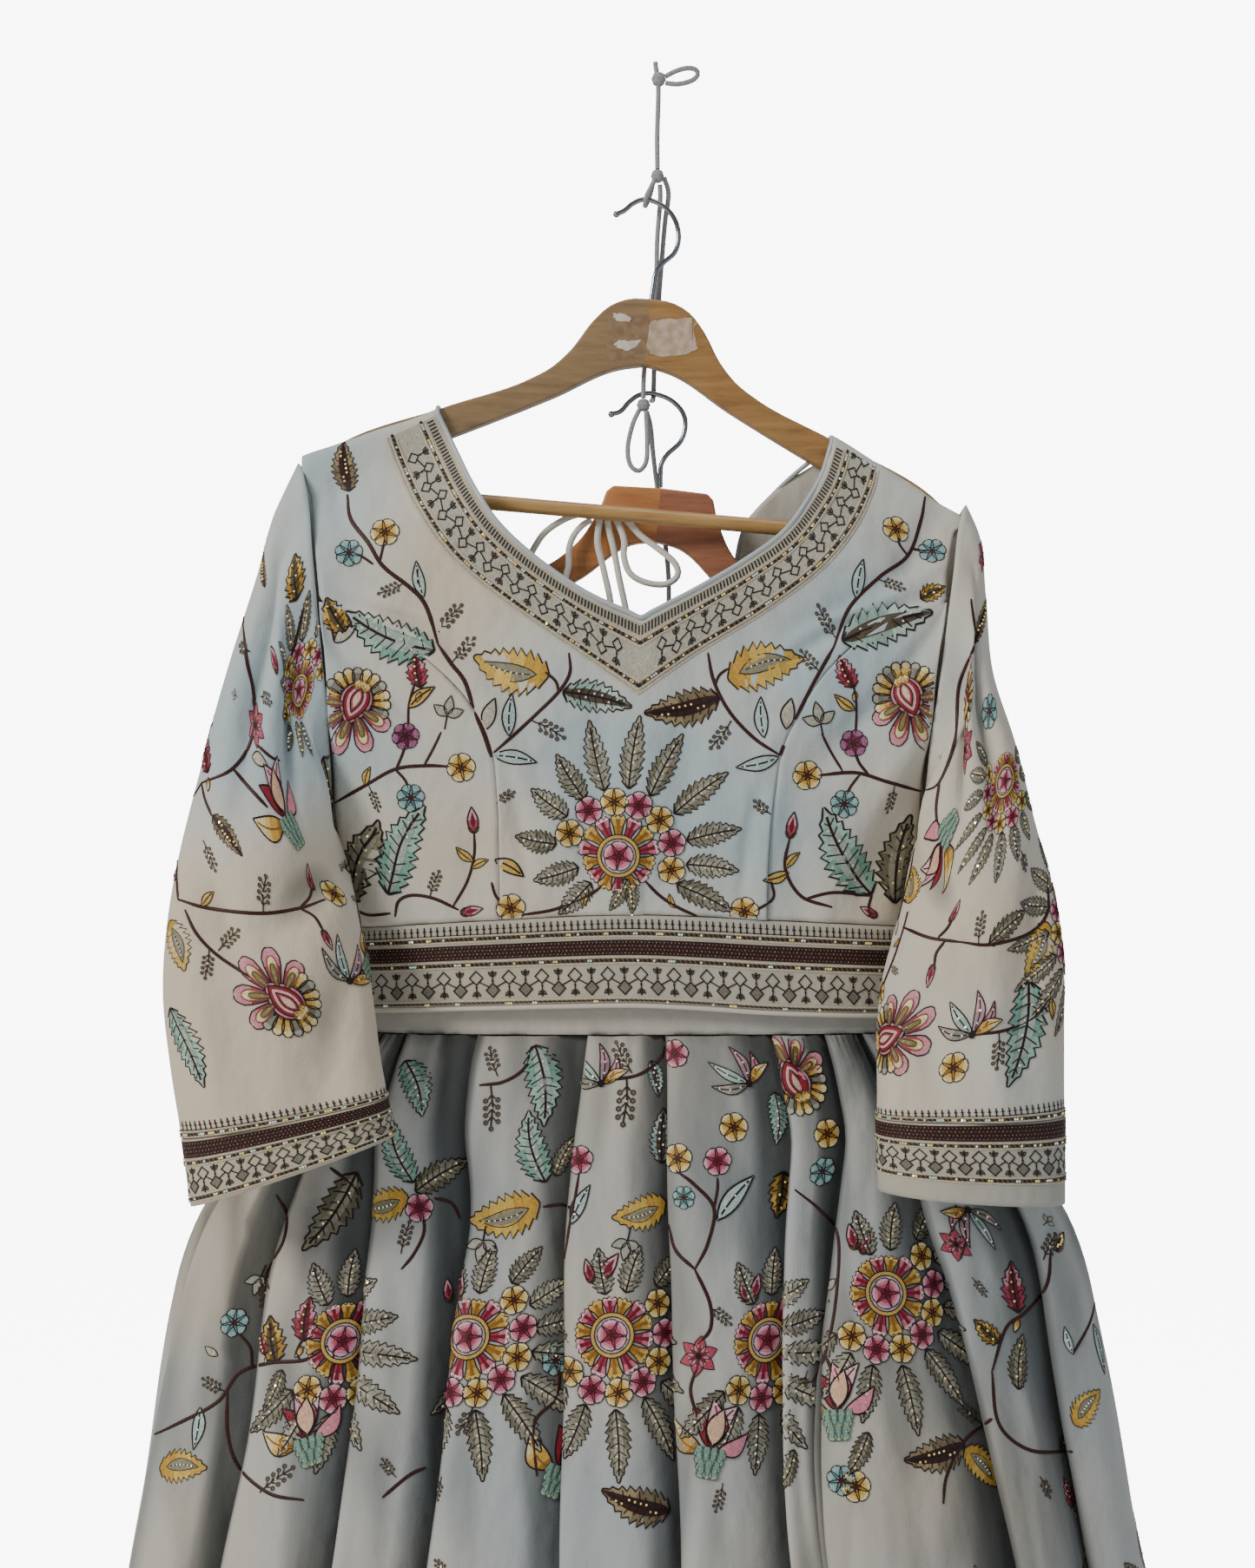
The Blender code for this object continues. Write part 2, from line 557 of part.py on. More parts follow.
def armhole_turn(side, z):
    """Share of the armhole's half depth at a height, 0 at its top and bottom."""
    hole = ARMHOLES[side]
    middle, half = (hole.top_z + hole.low_z) / 2.0, (hole.top_z - hole.low_z) / 2.0
    return math.sqrt(max(0.0, 1.0 - min(1.0, abs(z - middle) / half) ** SLEEVE_SQUARENESS))


def armhole_x(side, z, cut):
    hole = ARMHOLES[side]
    share = (z - hole.low_z) / (hole.top_z - hole.low_z)
    inward = 1.0 if side == "left" else -1.0
    return mix(hole.low_x, hole.top_x, share) + inward * cut * armhole_turn(side, z)


def side_limit(side, z, face):
    """Where the body ends at a side: side seam below the armhole, its edge above."""
    hole = ARMHOLES[side]
    if z <= hole.low_z:
        return read(BODY, z, side), read(BODY, z, "side")
    cut = hole.cut_front if face == "front" else hole.cut_back
    sign = -1.0 if face == "front" else 1.0
    return armhole_x(side, z, cut), hole.mid_y + sign * hole.depth * armhole_turn(side, z)


def shoulder_top(x):
    return arm_top(x, UPPER_TOP, UPPER_AT) + RIDGE_CLEAR


def body_depth(x, z, face):
    """Depth of the front or back of the blouse at a place seen from the front."""
    left, left_y = side_limit("left", z, face)
    right, right_y = side_limit("right", z, face)
    middle, half = (left + right) / 2.0, (right - left) / 2.0
    share = (x - middle) / half
    edge_y = left_y if share < 0.0 else right_y
    depth = mix(edge_y, read(BODY, z, face), fullness(share, SIDE_ROUNDNESS))
    sign = -1.0 if face == "front" else 1.0
    resting = arm_middle(x, UPPER_TOP, UPPER_AT) + sign * RIDGE_HALF
    below = shoulder_top(x) - RIDGE_RISE - z
    return mix(resting, depth, ease(below / SHOULDER_BLEND))


def ridge_point(x, angle, face):
    """A point of the cloth where it turns over the hanger arm."""
    sign = -1.0 if face == "front" else 1.0
    turn = math.radians(angle)
    out = RIDGE_HALF * math.cos(turn) ** RIDGE_SQUARENESS
    up = RIDGE_RISE * math.sin(turn) ** RIDGE_SQUARENESS
    y = arm_middle(x, UPPER_TOP, UPPER_AT) + sign * (out + SEAM_GAP / 2.0)
    return Vector((x, y, shoulder_top(x) - RIDGE_RISE + up))


def body_row(outer, inner, shares, face):
    points = []
    for share in shares:
        x, z = mix(outer[0], inner[0], share), mix(outer[1], inner[1], share)
        points.append(Vector((x, body_depth(x, z, face), z)))
    return points


def shoulder_rows(side, neck, shares, face):
    """Rows of the cloth over the arm, from the armhole to the neck."""
    hole = ARMHOLES[side]
    inward = 1.0 if side == "left" else -1.0
    outer_x = hole.top_x + inward * SHOULDER_INSET
    inner_x = along(neck, 1.0, side)[0]
    rows = []
    for angle in RIDGE_ANGLES:
        rows.append([ridge_point(mix(outer_x, inner_x, share), angle, face) for share in shares])
    return rows


def seam_shift(rows, index, side):
    """Direction across a princess seam at one of its rows, towards the centre."""
    before, after = rows[max(index - 1, 0)], rows[min(index + 1, len(rows) - 1)]
    along_x = getattr(after, side + "_x") - getattr(before, side + "_x")
    along_z = after.z - before.z
    length = math.hypot(along_x, along_z)
    inward = 1.0 if side == "left" else -1.0
    return inward * along_z / length, -inward * along_x / length


def front_centre():
    """Front panel between the princess seams, with the shoulders and the V neck."""
    shape = bmesh.new()
    shares = [index / CENTRE_COLUMNS for index in range(CENTRE_COLUMNS + 1)]
    halves = {}
    for side in ("left", "right"):
        rows = []
        for index, seam in enumerate(PRINCESS):
            shift_x, shift_z = seam_shift(PRINCESS, index, side)
            half_gap = SEAM_GAP / 2.0
            outer = (getattr(seam, side + "_x") + shift_x * half_gap, seam.z + shift_z * half_gap)
            inner = (FRONT_NECK[0].left_x, seam.centre_z)
            row = body_row(outer, inner, shares, "front")
            rows.append(seat_on_band(row, "front") if index == 0 else row)
        for upper in FRONT_UPPER:
            z = getattr(upper, side + "_z")
            outer = (side_limit(side, z, "front")[0], z)
            rows.append(body_row(outer, along(FRONT_NECK, upper.neck_share, side), shares, "front"))
        rows.extend(shoulder_rows(side, FRONT_NECK, shares, "front"))
        halves[side] = rows
    for side, rows in halves.items():
        grid = [[shape.verts.new(point) for point in row] for row in rows]
        for lower, upper in zip(grid, grid[1:]):
            for index in range(len(lower) - 1):
                corners = [lower[index], lower[index + 1], upper[index + 1], upper[index]]
                if side == "right":
                    corners.reverse()
                shape.faces.new(corners)
    return finish_cloth("blouse_front_centre", shape, BLOUSE_WALL, FINISHES["cloth"])


def seat_on_band(row, face):
    """Drops a row of points to the top edge of the hem band."""
    for point in row:
        point.z = hem_edge(point.x)
        point.y = body_depth(point.x, point.z, face)
    return row


def hem_edge(x):
    """Height of the cloth just above the hem band at a place across the front."""
    left, right = read(BODY, HEM_MIDDLE_Z, "left"), read(BODY, HEM_MIDDLE_Z, "right")
    share = (2.0 * x - left - right) / (right - left)
    return read(HEM_BAND, share, "top") + HEM_GAP


def side_front(side):
    """Front side panel, from the princess seam round to the side seam."""
    rows = []
    for index, seam in enumerate(PRINCESS):
        shift_x, shift_z = seam_shift(PRINCESS, index, side)
        half_gap = SEAM_GAP / 2.0
        inner = (getattr(seam, side + "_x") - shift_x * half_gap, seam.z - shift_z * half_gap)
        outer = (side_limit(side, seam.z, "front")[0], seam.z)
        row = body_row(outer, inner, SIDE_FRONT_SHARES, "front")
        if index == 0:
            row = seat_on_band(row, "front")
        if seam.z <= ARMHOLES[side].low_z:
            row[0].y -= SEAM_GAP
        rows.append(row if side == "left" else row[::-1])
    return cloth("blouse_side_front_" + side, rows, BLOUSE_WALL, FINISHES["cloth"])


def back_panel(side):
    """Half of the back, from the centre opening to the side seam and shoulder."""
    rows = []
    gap = -SEAM_GAP if side == "left" else SEAM_GAP
    middle = BACK_NECK[0].left_x + gap
    for index, z in enumerate(BACK_LOWER_Z + [BACK_NECK[0].left_z]):
        outer = (side_limit(side, z, "back")[0], z)
        row = body_row(outer, (middle, z), BACK_SHARES, "back")
        rows.append(seat_on_band(row, "back") if index == 0 else row)
    for upper in BACK_UPPER:
        z = getattr(upper, side + "_z")
        outer = (side_limit(side, z, "back")[0], z)
        inner = along(BACK_NECK, upper.neck_share, side)
        rows.append(body_row(outer, inner, BACK_SHARES, "back"))
    rows.extend(shoulder_rows(side, BACK_NECK, BACK_SHARES, "back"))
    for row in rows:
        row[0].y += SEAM_GAP
    if side == "right":
        rows = [row[::-1] for row in rows]
    rows.reverse()
    return cloth("blouse_back_" + side, rows, BLOUSE_WALL, FINISHES["cloth"])


def band_row(face, low_share, stand_out, ends):
    """Points along the hem band between two shares of its width, -1 to 1."""
    points = []
    left, right = read(BODY, HEM_MIDDLE_Z, "left"), read(BODY, HEM_MIDDLE_Z, "right")
    inside = [share for share in BAND_SHARES if ends[0] < share < ends[1]]
    for share in [ends[0]] + inside + [ends[1]]:
        x = mix(left, right, (share + 1.0) / 2.0)
        z = mix(read(HEM_BAND, share, "top"), read(HEM_BAND, share, "low"), low_share)
        depth = body_depth(x, max(z, BODY[0].z), face)
        sign = -1.0 if face == "front" else 1.0
        points.append(Vector((x, depth + sign * stand_out, z)))
    return points


def hem_band(name, face, ends):
    """The embroidered band seamed to the blouse's lower edge."""
    rows = [band_row(face, share, SEAM_GAP, ends) for share in (0.0, 0.5, 1.0)]
    if face == "back":
        rows = [row[::-1] for row in rows]
    rows.reverse()
    return cloth(name, rows, BAND_WALL, FINISHES["trim"])


def sleeve_ring(ring, cut_front=0.0, cut_back=0.0, inward=0.0):
    """Points round one ring of a sleeve, from its outer point round the front."""
    points = []
    middle_x = (ring.outer_x + ring.inner_x) / 2.0
    middle_z = (ring.outer_z + ring.inner_z) / 2.0
    for index in range(SLEEVE_SIDES):
        turn = 2.0 * math.pi * index / SLEEVE_SIDES
        cosine, sine = math.cos(turn), math.sin(turn)
        reach = math.copysign(abs(cosine) ** (2.0 / SLEEVE_SQUARENESS), cosine)
        bulge = math.copysign(abs(sine) ** (2.0 / SLEEVE_SQUARENESS), sine)
        x = middle_x + (ring.outer_x - ring.inner_x) / 2.0 * reach
        z = middle_z + (ring.outer_z - ring.inner_z) / 2.0 * reach
        cut = cut_front if bulge > 0.0 else cut_back
        points.append(Vector((x + inward * cut * abs(bulge), ring.mid_y - ring.depth * bulge, z)))
    return points


def armhole_ring(side):
    hole = ARMHOLES[side]
    inward = 1.0 if side == "left" else -1.0
    apart = -inward * (SEAM_GAP + BLOUSE_WALL)
    ring = Ring(hole.top_x + apart, hole.top_z, hole.low_x + apart, hole.low_z, hole.mid_y, hole.depth)
    return sleeve_ring(ring, hole.cut_front, hole.cut_back, inward)


def mixed_ring(start, end, share):
    return Ring(*[mix(first, last, share) for first, last in zip(start, end)])


def sleeve(side):
    rings = [armhole_ring(side)]
    rings.extend(sleeve_ring(ring) for ring in SLEEVES[side])
    if side == "left":
        rings = [ring[::-1] for ring in rings]
    return cloth("sleeve_" + side, rings, BLOUSE_WALL, FINISHES["cloth"], closed=True)


def cuff(side):
    """The embroidered band at the end of a sleeve."""
    first, last = SLEEVES[side][-1], CUFFS[side]
    outer = math.hypot(first.outer_x - last.outer_x, first.outer_z - last.outer_z)
    inner = math.hypot(first.inner_x - last.inner_x, first.inner_z - last.inner_z)
    start = mixed_ring(first, last, CUFF_GAP / ((outer + inner) / 2.0))
    rings = [sleeve_ring(mixed_ring(start, last, share)) for share in (0.0, 0.5, 1.0)]
    if side == "left":
        rings = [ring[::-1] for ring in rings]
    return cloth("cuff_band_" + side, rings, BAND_WALL, FINISHES["trim"], closed=True)


def round_skirt(share, row, face):
    """Outline point of a skirt section and its outward direction.

    The share runs from -1 at the left side to 1 at the right side, by length."""
    sign = -1.0 if face == "front" else 1.0
    outline = []
    for index in range(OUTLINE_STEPS + 1):
        turn = math.pi * index / OUTLINE_STEPS
        x = -math.copysign(abs(math.cos(turn)) ** (2.0 / row.squareness), math.cos(turn))
        y = sign * abs(math.sin(turn)) ** (2.0 / row.squareness)
        outline.append(Vector((row.half_width * x, row.half_depth * y)))
    lengths = [0.0]
    for first, last in zip(outline, outline[1:]):
        lengths.append(lengths[-1] + (last - first).length)
    wanted = (share + 1.0) / 2.0 * lengths[-1]
    beyond = 0.0
    if wanted < 0.0 or wanted > lengths[-1]:
        beyond = wanted if wanted < 0.0 else wanted - lengths[-1]
        wanted = min(max(wanted, 0.0), lengths[-1])
    index = 0
    while index < OUTLINE_STEPS - 1 and lengths[index + 1] < wanted:
        index += 1
    part = (wanted - lengths[index]) / (lengths[index + 1] - lengths[index])
    place = outline[index].lerp(outline[index + 1], part)
    edge = (outline[index + 1] - outline[index]).normalized()
    outward = Vector((edge.y, -edge.x)) if face == "front" else Vector((-edge.y, edge.x))
    place = place + edge * beyond
    return place, outward, lengths[-1]


def pleat_edge(pleats, index, z):
    """Share round the skirt of a pleat's fold at a height."""
    if index >= len(pleats):
        return 2.0 + pleat_edge_of(BACK_PLEATS if pleats is FRONT_PLEATS else FRONT_PLEATS, 0, z)
    return pleat_edge_of(pleats, index, z)


def pleat_edge_of(pleats, index, z):
    pleat = pleats[index]
    shares = (pleat.waist, pleat.thigh, pleat.knee, pleat.hem)
    return read([PleatAt(height, share) for height, share in zip(PLEAT_HEIGHTS, shares)], z, "share")


def pleat_size(section, face, index):
    """Start and end share of a pleat at a height, then its width and depth."""
    pleats = FRONT_PLEATS if face == "front" else BACK_PLEATS
    start = pleat_edge(pleats, index, section.z)
    end = pleat_edge(pleats, index + 1, section.z)
    _, _, length = round_skirt(0.0, section, face)
    width = (end - start) * length / 2.0
    return start, end, width, min(section.pleat, PLEAT_STEEPNESS * width)


def skirt_row(section, face, first, last):
    """Points of some pleats at one height, from left to right on their own half."""
    _, _, length = round_skirt(0.0, section, face)
    points = []
    for index in range(first, last):
        start, end, width, depth = pleat_size(section, face, index)
        folds = PLEAT_FOLD if index < last - 1 else PLEAT_FOLD[:GORE_LAST_FOLDS]
        for fold in folds:
            share = start + (end - start) * min(fold.along, 1.0)
            share += 2.0 * max(fold.along - 1.0, 0.0) * min(width, LAP_MOST) / length
            points.append(skirt_point(section, face, share, depth * fold.rise))
    return points


def skirt_point(section, face, share, rise):
    """A point on a skirt section, where a share past 1 goes on round the other half."""
    if share > 1.0:
        other = "back" if face == "front" else "front"
        return skirt_point(section, other, share - 2.0, rise)
    place, outward, _ = round_skirt(-share if face == "back" else share, section, face)
    place = place + outward * rise
    return Vector((section.centre_x + place.x, section.centre_y + place.y, section.z))


def skirt_gore(name, face, first, last):
    """A gore of the skirt: its pleats, from its first fold to under the next gore."""
    rows = [lead_in(section, face, first) + skirt_row(section, face, first, last) for section in SKIRT]
    rows.reverse()
    return cloth(name, rows, SKIRT_WALL, FINISHES["skirt"])


# The hidden start of a gore, folded back under its own first pleat
LEAD_IN = [FoldPoint(0.150, -0.60), FoldPoint(0.040, -0.44)]


def lead_in(section, face, first):
    start, _, width, depth = pleat_size(section, face, first)
    _, _, before_width, before_depth = pleat_before(section, face, first)
    depth = min(depth, before_depth)
    _, _, length = round_skirt(0.0, section, face)
    lap = min(width, before_width, LAP_MOST) / length * 2.0
    return [skirt_point(section, face, start + fold.along * lap, fold.rise * depth) for fold in LEAD_IN]


def pleat_before(section, face, index):
    """Size of the pleat on the left of a pleat, on the other half of the skirt if it must be."""
    if index > 0:
        return pleat_size(section, face, index - 1)
    other = "back" if face == "front" else "front"
    return pleat_size(section, other, len(BACK_PLEATS) - 1)


def waistband():
    """The skirt's waistband, worn inside the blouse hem."""
    rings = []
    for z in (BAND_LOW, (BAND_LOW + BAND_TOP) / 2.0, BAND_TOP):
        ring = []
        for index in range(BAND_SIDES):
            turn = 2.0 * math.pi * index / BAND_SIDES
            cosine, sine = math.cos(turn), math.sin(turn)
            x = math.copysign(abs(cosine) ** (2.0 / BAND_SQUARENESS), cosine)
            y = math.copysign(abs(sine) ** (2.0 / BAND_SQUARENESS), sine)
            ring.append(Vector((BAND_AT[0] + BAND_HALF_WIDTH * x, BAND_AT[1] + BAND_HALF_DEPTH * y, z)))
        rings.append(ring)
    return cloth("waistband", rings, BAND_WALL, FINISHES["trim"], closed=True)


def hanging_ribbon(name, middle_x):
    """A ribbon loop from inside the waistband over an arm of the lower hanger."""
    half = RIBBON_WIDTH / 2.0
    share = (abs(middle_x - BAND_AT[0]) + half) / BAND_HALF_WIDTH
    walls = (BAND_WALL + RIBBON_WALL) / 2.0
    inside = BAND_HALF_DEPTH * fullness(share, BAND_SQUARENESS) - walls - RIBBON_CLEAR
    clear = (WOOD + RIBBON_WALL) / 2.0 + RIBBON_CLEAR
    columns = []
    for x in (middle_x - half, middle_x + half):
        top = arm_top(x, LOWER_TOP, LOWER_AT)
        middle = arm_middle(x, LOWER_TOP, LOWER_AT)
        halfway = (BAND_TOP + top) / 2.0
        path = [
            (BAND_AT[1] - inside, BAND_TOP - RIBBON_TAIL), (BAND_AT[1] - inside, BAND_TOP),
            (middle - clear, halfway), (middle - clear, top - RIBBON_DROP),
            (middle - clear, top - RIBBON_RISE),
            (middle - clear * 0.55, top + 0.75 * RIBBON_RISE), (middle, top + RIBBON_RISE),
            (middle + clear * 0.55, top + 0.75 * RIBBON_RISE), (middle + clear, top - RIBBON_RISE),
            (middle + clear, top - RIBBON_DROP), (middle + clear, halfway),
            (BAND_AT[1] + inside, BAND_TOP), (BAND_AT[1] + inside, BAND_TOP - RIBBON_TAIL),
        ]
        columns.append([Vector((x, y, z)) for y, z in path])
    return cloth(name, columns[::-1], RIBBON_WALL, FINISHES["satin"])


def hanger_half(name, side, top, low, at, finish):
    """Half of a wooden hanger: its outline cut from a plank, then swept forward."""
    outline = [(point.x, point.z) for point in top + low]
    board = bpy.data.curves.new(name, "CURVE")
    board.dimensions = "2D"
    board.fill_mode = "BOTH"
    board.extrude = WOOD / 2.0
    spline = board.splines.new("POLY")
    spline.points.add(len(outline) - 1)
    for point, (x, z) in zip(spline.points, outline):
        point.co = (x, z, 0.0, 1.0)
    spline.use_cyclic_u = True
    sawn = bpy.data.objects.new(name + "_board", board)
    bpy.data.collections["lehenga_set"].objects.link(sawn)
    bpy.context.view_layer.update()
    mesh = bpy.data.meshes.new_from_object(sawn.evaluated_get(bpy.context.evaluated_depsgraph_get()))
    bpy.data.objects.remove(sawn, do_unlink=True)
    shape = bmesh.new()
    shape.from_mesh(mesh)
    bmesh.ops.remove_doubles(shape, verts=shape.verts, dist=SAME_PLACE)
    bmesh.ops.dissolve_limit(shape, angle_limit=FLAT_ANGLE, verts=shape.verts, edges=shape.edges)
    rims = [edge for edge in shape.edges
            if edge.calc_face_angle(0.0) > RIM_ANGLE and any(vert.co.x > TOUCH for vert in edge.verts)]
    bmesh.ops.bevel(shape, geom=rims, offset=WOOD_EDGE, segments=2, profile=0.5, affect="EDGES",
                    clamp_overlap=True)
    bmesh.ops.triangulate(shape, faces=shape.faces)
    sign = -1.0 if side == "left" else 1.0
    for vert in shape.verts:
        x, z, y = vert.co.x + SEAM_GAP / 2.0, vert.co.y, vert.co.z
        world_x, world_z = rolled(sign * x, z, at)
        vert.co = (world_x, at[1] + y - SWEEP * x, world_z)
    bmesh.ops.recalc_face_normals(shape, faces=shape.faces)
    if shape.calc_volume(signed=True) < 0.0:
        bmesh.ops.reverse_faces(shape, faces=shape.faces)
    shape.to_mesh(mesh)
    shape.free()
    return add_mesh(name, mesh, finish)


def smooth_route(route, spacing):
    """Points at even spacing on a smooth curve through a route's own points."""
    points = [Vector(point) for point in route]
    ends = [points[0] * 2.0 - points[1]] + points + [points[-1] * 2.0 - points[-2]]
    fine = []
    for index in range(len(points) - 1):
        before, start, end, after = ends[index:index + 4]
        for step in range(ROUTE_STEPS):
            part = step / ROUTE_STEPS
            fine.append(0.5 * (2.0 * start + (end - before) * part
                               + (2.0 * before - 5.0 * start + 4.0 * end - after) * part ** 2
                               + (3.0 * start - before - 3.0 * end + after) * part ** 3))
    fine.append(points[-1])
    lengths = [0.0]
    for first, last in zip(fine, fine[1:]):
        lengths.append(lengths[-1] + (last - first).length)
    count = max(3, round(lengths[-1] / spacing))
    result, index = [], 0
    for step in range(count + 1):
        wanted = lengths[-1] * step / count
        while index < len(fine) - 2 and lengths[index + 1] < wanted:
            index += 1
        part = (wanted - lengths[index]) / (lengths[index + 1] - lengths[index])
        result.append(fine[index].lerp(fine[index + 1], part))
    return result


def tube(name, points, diameter, finish, roundness=2):
    """A round cord, wire or piping through points."""
    line = bpy.data.curves.new(name, "CURVE")
    line.dimensions = "3D"
    line.bevel_depth = diameter / 2.0
    line.bevel_resolution = roundness
    line.use_fill_caps = True
    line.twist_mode = "MINIMUM"
    spline = line.splines.new("POLY")
    spline.points.add(len(points) - 1)
    for point, place in zip(spline.points, points):
        point.co = (*place, 1.0)
    spline.use_smooth = True
    line.materials.append(finish)
    piece = bpy.data.objects.new(name, line)
    bpy.data.collections["lehenga_set"].objects.link(piece)
    return piece


def hook(name, wire, at_y, finish):
    route = [(x, at_y, z) for x, z in wire]
    return tube(name, smooth_route(route, WIRE_SPACING * HOOK_R), 2.0 * HOOK_R, finish)


def bar(finish):
    """The dowel bar between the end lobes of the upper hanger."""
    shape = bmesh.new()
    bmesh.ops.create_cone(shape, cap_ends=True, segments=BAR_SIDES, radius1=BAR_R, radius2=BAR_R,
                          depth=2.0 * BAR_REACH)
    bmesh.ops.rotate(shape, verts=shape.verts, matrix=Matrix.Rotation(math.radians(90.0), 3, "Y"))
    for vert in shape.verts:
        x, z = rolled(vert.co.x, vert.co.z - BAR_BELOW, UPPER_AT)
        vert.co = (x, UPPER_AT[1] + vert.co.y - SWEEP * BAR_LOBE_X, z)
    mesh = bpy.data.meshes.new("hanger_upper_bar")
    shape.to_mesh(mesh)
    shape.free()
    mesh.shade_smooth()
    mesh.set_sharp_from_angle(angle=math.radians(40.0))
    return add_mesh("hanger_upper_bar", mesh, finish)


def knot(name, at, halves, finish):
    """A tied knot, as a rounded lump."""
    shape = bmesh.new()
    bmesh.ops.create_uvsphere(shape, u_segments=10, v_segments=6, radius=1.0)
    for vert in shape.verts:
        vert.co = Vector(at) + Vector([half * part for half, part in zip(halves, vert.co)])
    mesh = bpy.data.meshes.new(name)
    shape.to_mesh(mesh)
    shape.free()
    mesh.shade_smooth()
    return add_mesh(name, mesh, finish)


def neck_line(rows, uppers, face, out):
    """Points just outside a neck edge, level with the rows of the panel."""
    shares = [upper.neck_share for upper in uppers]
    line = [along(rows, share, "left") for share in shares[::-1]]
    line.append(along(rows, 0.0, "left"))
    line.extend(along(rows, share, "right") for share in shares)
    points = []
    for index, (x, z) in enumerate(line):
        before, after = line[max(index - 1, 0)], line[min(index + 1, len(line) - 1)]
        run, climb = after[0] - before[0], after[1] - before[1]
        length = math.hypot(run, climb)
        y = body_depth(x, z, face)
        points.append(Vector((x - climb / length * out, y, z + run / length * out)))
    return points


def neck_binding(name, rows, uppers, face):
    points = neck_line(rows, uppers, face, BINDING_R + TOUCH * 2.0)
    return tube(name, points, 2.0 * BINDING_R, FINISHES["satin"], roundness=1)


def hem_piping(name, face, ends):
    points = band_row(face, 1.0, 0.0, ends)
    for point in points:
        point.z -= PIPING_R + PIPING_BELOW
    return tube(name, points, 2.0 * PIPING_R, FINISHES["satin"], roundness=1)


def build_blouse():
    front_centre()
    for side in ("left", "right"):
        side_front(side)
        back_panel(side)
        sleeve(side)
        cuff(side)
    hem_band("hem_band_front", "front", HEM_ENDS)
    hem_band("hem_band_back_left", "back", (HEM_ENDS[0], -BACK_OPENING))
    hem_band("hem_band_back_right", "back", (BACK_OPENING, HEM_ENDS[1]))
    neck_binding("neck_binding_front", FRONT_NECK, FRONT_UPPER, "front")
    neck_binding("neck_binding_back", BACK_NECK, BACK_UPPER, "back")
    hem_piping("hem_piping_front", "front", PIPING_ENDS)


def build_skirt():
    waistband()
    for name, face, first, last in SKIRT_GORES:
        skirt_gore(name, face, first, last)
    for side, middle_x in zip(("left", "right"), RIBBON_X):
        hanging_ribbon("hanging_ribbon_" + side, middle_x)


def build_hangers():
    for side in ("left", "right"):
        hanger_half("hanger_upper_" + side, side, UPPER_TOP, UPPER_LOW, UPPER_AT, FINISHES["upper"])
        hanger_half("hanger_lower_" + side, side, LOWER_TOP, LOWER_LOW, LOWER_AT, FINISHES["lower"])
    bar(FINISHES["upper"])
    hook("hanger_upper_hook", UPPER_HOOK, UPPER_AT[1], FINISHES["steel"])
    hook("hanger_lower_hook", LOWER_HOOK, LOWER_AT[1], FINISHES["steel"])


def build_cords():
    for name, route in GREY_ROUTES.items():
        spacing = GREY_D * (TIGHT_SPACING if name in TIGHT_ROUTES else CORD_SPACING)
        tube(name, smooth_route(route, spacing), GREY_D, FINISHES["grey"])
    for piece in KNOTS:
        halves = (piece.half_width, piece.half_width * KNOT_FLATNESS, piece.half_height)
        knot(piece.name, (piece.x, piece.y, piece.z), halves, FINISHES["grey"])
    for name, route in DORI_ROUTES.items():
        tube(name, smooth_route(route, DORI_SPACING * DORI_D), DORI_D, FINISHES["white"])
    knot("dori_knot", DORI_KNOT, DORI_KNOT_HALF, FINISHES["white"])
    for piece in DORI_END_KNOTS:
        halves = (piece.half_width, piece.half_width, piece.half_height)
        knot(piece.name, (piece.x, piece.y, piece.z), halves, FINISHES["white"])


clear_scene()
bpy.context.scene.collection.children.link(bpy.data.collections.new("lehenga_set"))
FINISHES = {
    "cloth": material("blouse georgette", CLOTH, 0.78),
    "trim": material("embroidered band", TRIM, 0.70),
    "satin": material("satin binding", SATIN, 0.45),
    "skirt": material("skirt georgette", CLOTH, 0.80),
    "upper": material("upper hanger wood", WOOD_UPPER, 0.50),
    "lower": material("lower hanger wood", WOOD_LOWER, 0.48),
    "steel": material("hook steel", STEEL, 0.25, 1.0),
    "grey": material("grey cord", GREY_CORD, 0.85),
    "white": material("white tie cord", WHITE_CORD, 0.80),
}
build_hangers()
build_blouse()
build_skirt()
build_cords()
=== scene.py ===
"""Looks of the lehenga set: cloth with its folds, thread embroidery, sequins, wooden
hangers, chrome hooks, cords and ties. Metres, and millimetres where a name ends in
MM or a motif is drawn flat."""
import math
from collections import namedtuple

import bmesh
import bpy
import numpy as np
from mathutils import Matrix, Vector
from mathutils.bvhtree import BVHTree


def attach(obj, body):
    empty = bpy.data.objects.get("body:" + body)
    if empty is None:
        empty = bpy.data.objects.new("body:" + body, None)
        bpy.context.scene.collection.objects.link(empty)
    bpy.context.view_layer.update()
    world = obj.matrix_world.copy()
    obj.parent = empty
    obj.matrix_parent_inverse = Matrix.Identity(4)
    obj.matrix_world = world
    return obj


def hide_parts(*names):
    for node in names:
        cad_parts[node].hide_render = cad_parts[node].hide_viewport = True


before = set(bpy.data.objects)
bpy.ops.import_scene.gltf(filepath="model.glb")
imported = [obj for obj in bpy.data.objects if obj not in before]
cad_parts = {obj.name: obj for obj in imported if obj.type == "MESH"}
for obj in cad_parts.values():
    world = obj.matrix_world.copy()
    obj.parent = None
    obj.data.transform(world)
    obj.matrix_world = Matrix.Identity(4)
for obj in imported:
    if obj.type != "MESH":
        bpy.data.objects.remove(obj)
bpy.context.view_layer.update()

# Sizes that the cloth's form is worked out from
SEAM_GAP = 0.0004
HEM_GAP = 0.0007
CUFF_GAP = 0.0006
BLOUSE_WALL = 0.0015
SKIRT_WALL = 0.0013
BAND_WALL = 0.0020
BINDING_R = 0.0014
PIPING_R = 0.0016
ROLL = math.radians(5.0)
SWEEP = 0.08
WOOD = 0.012
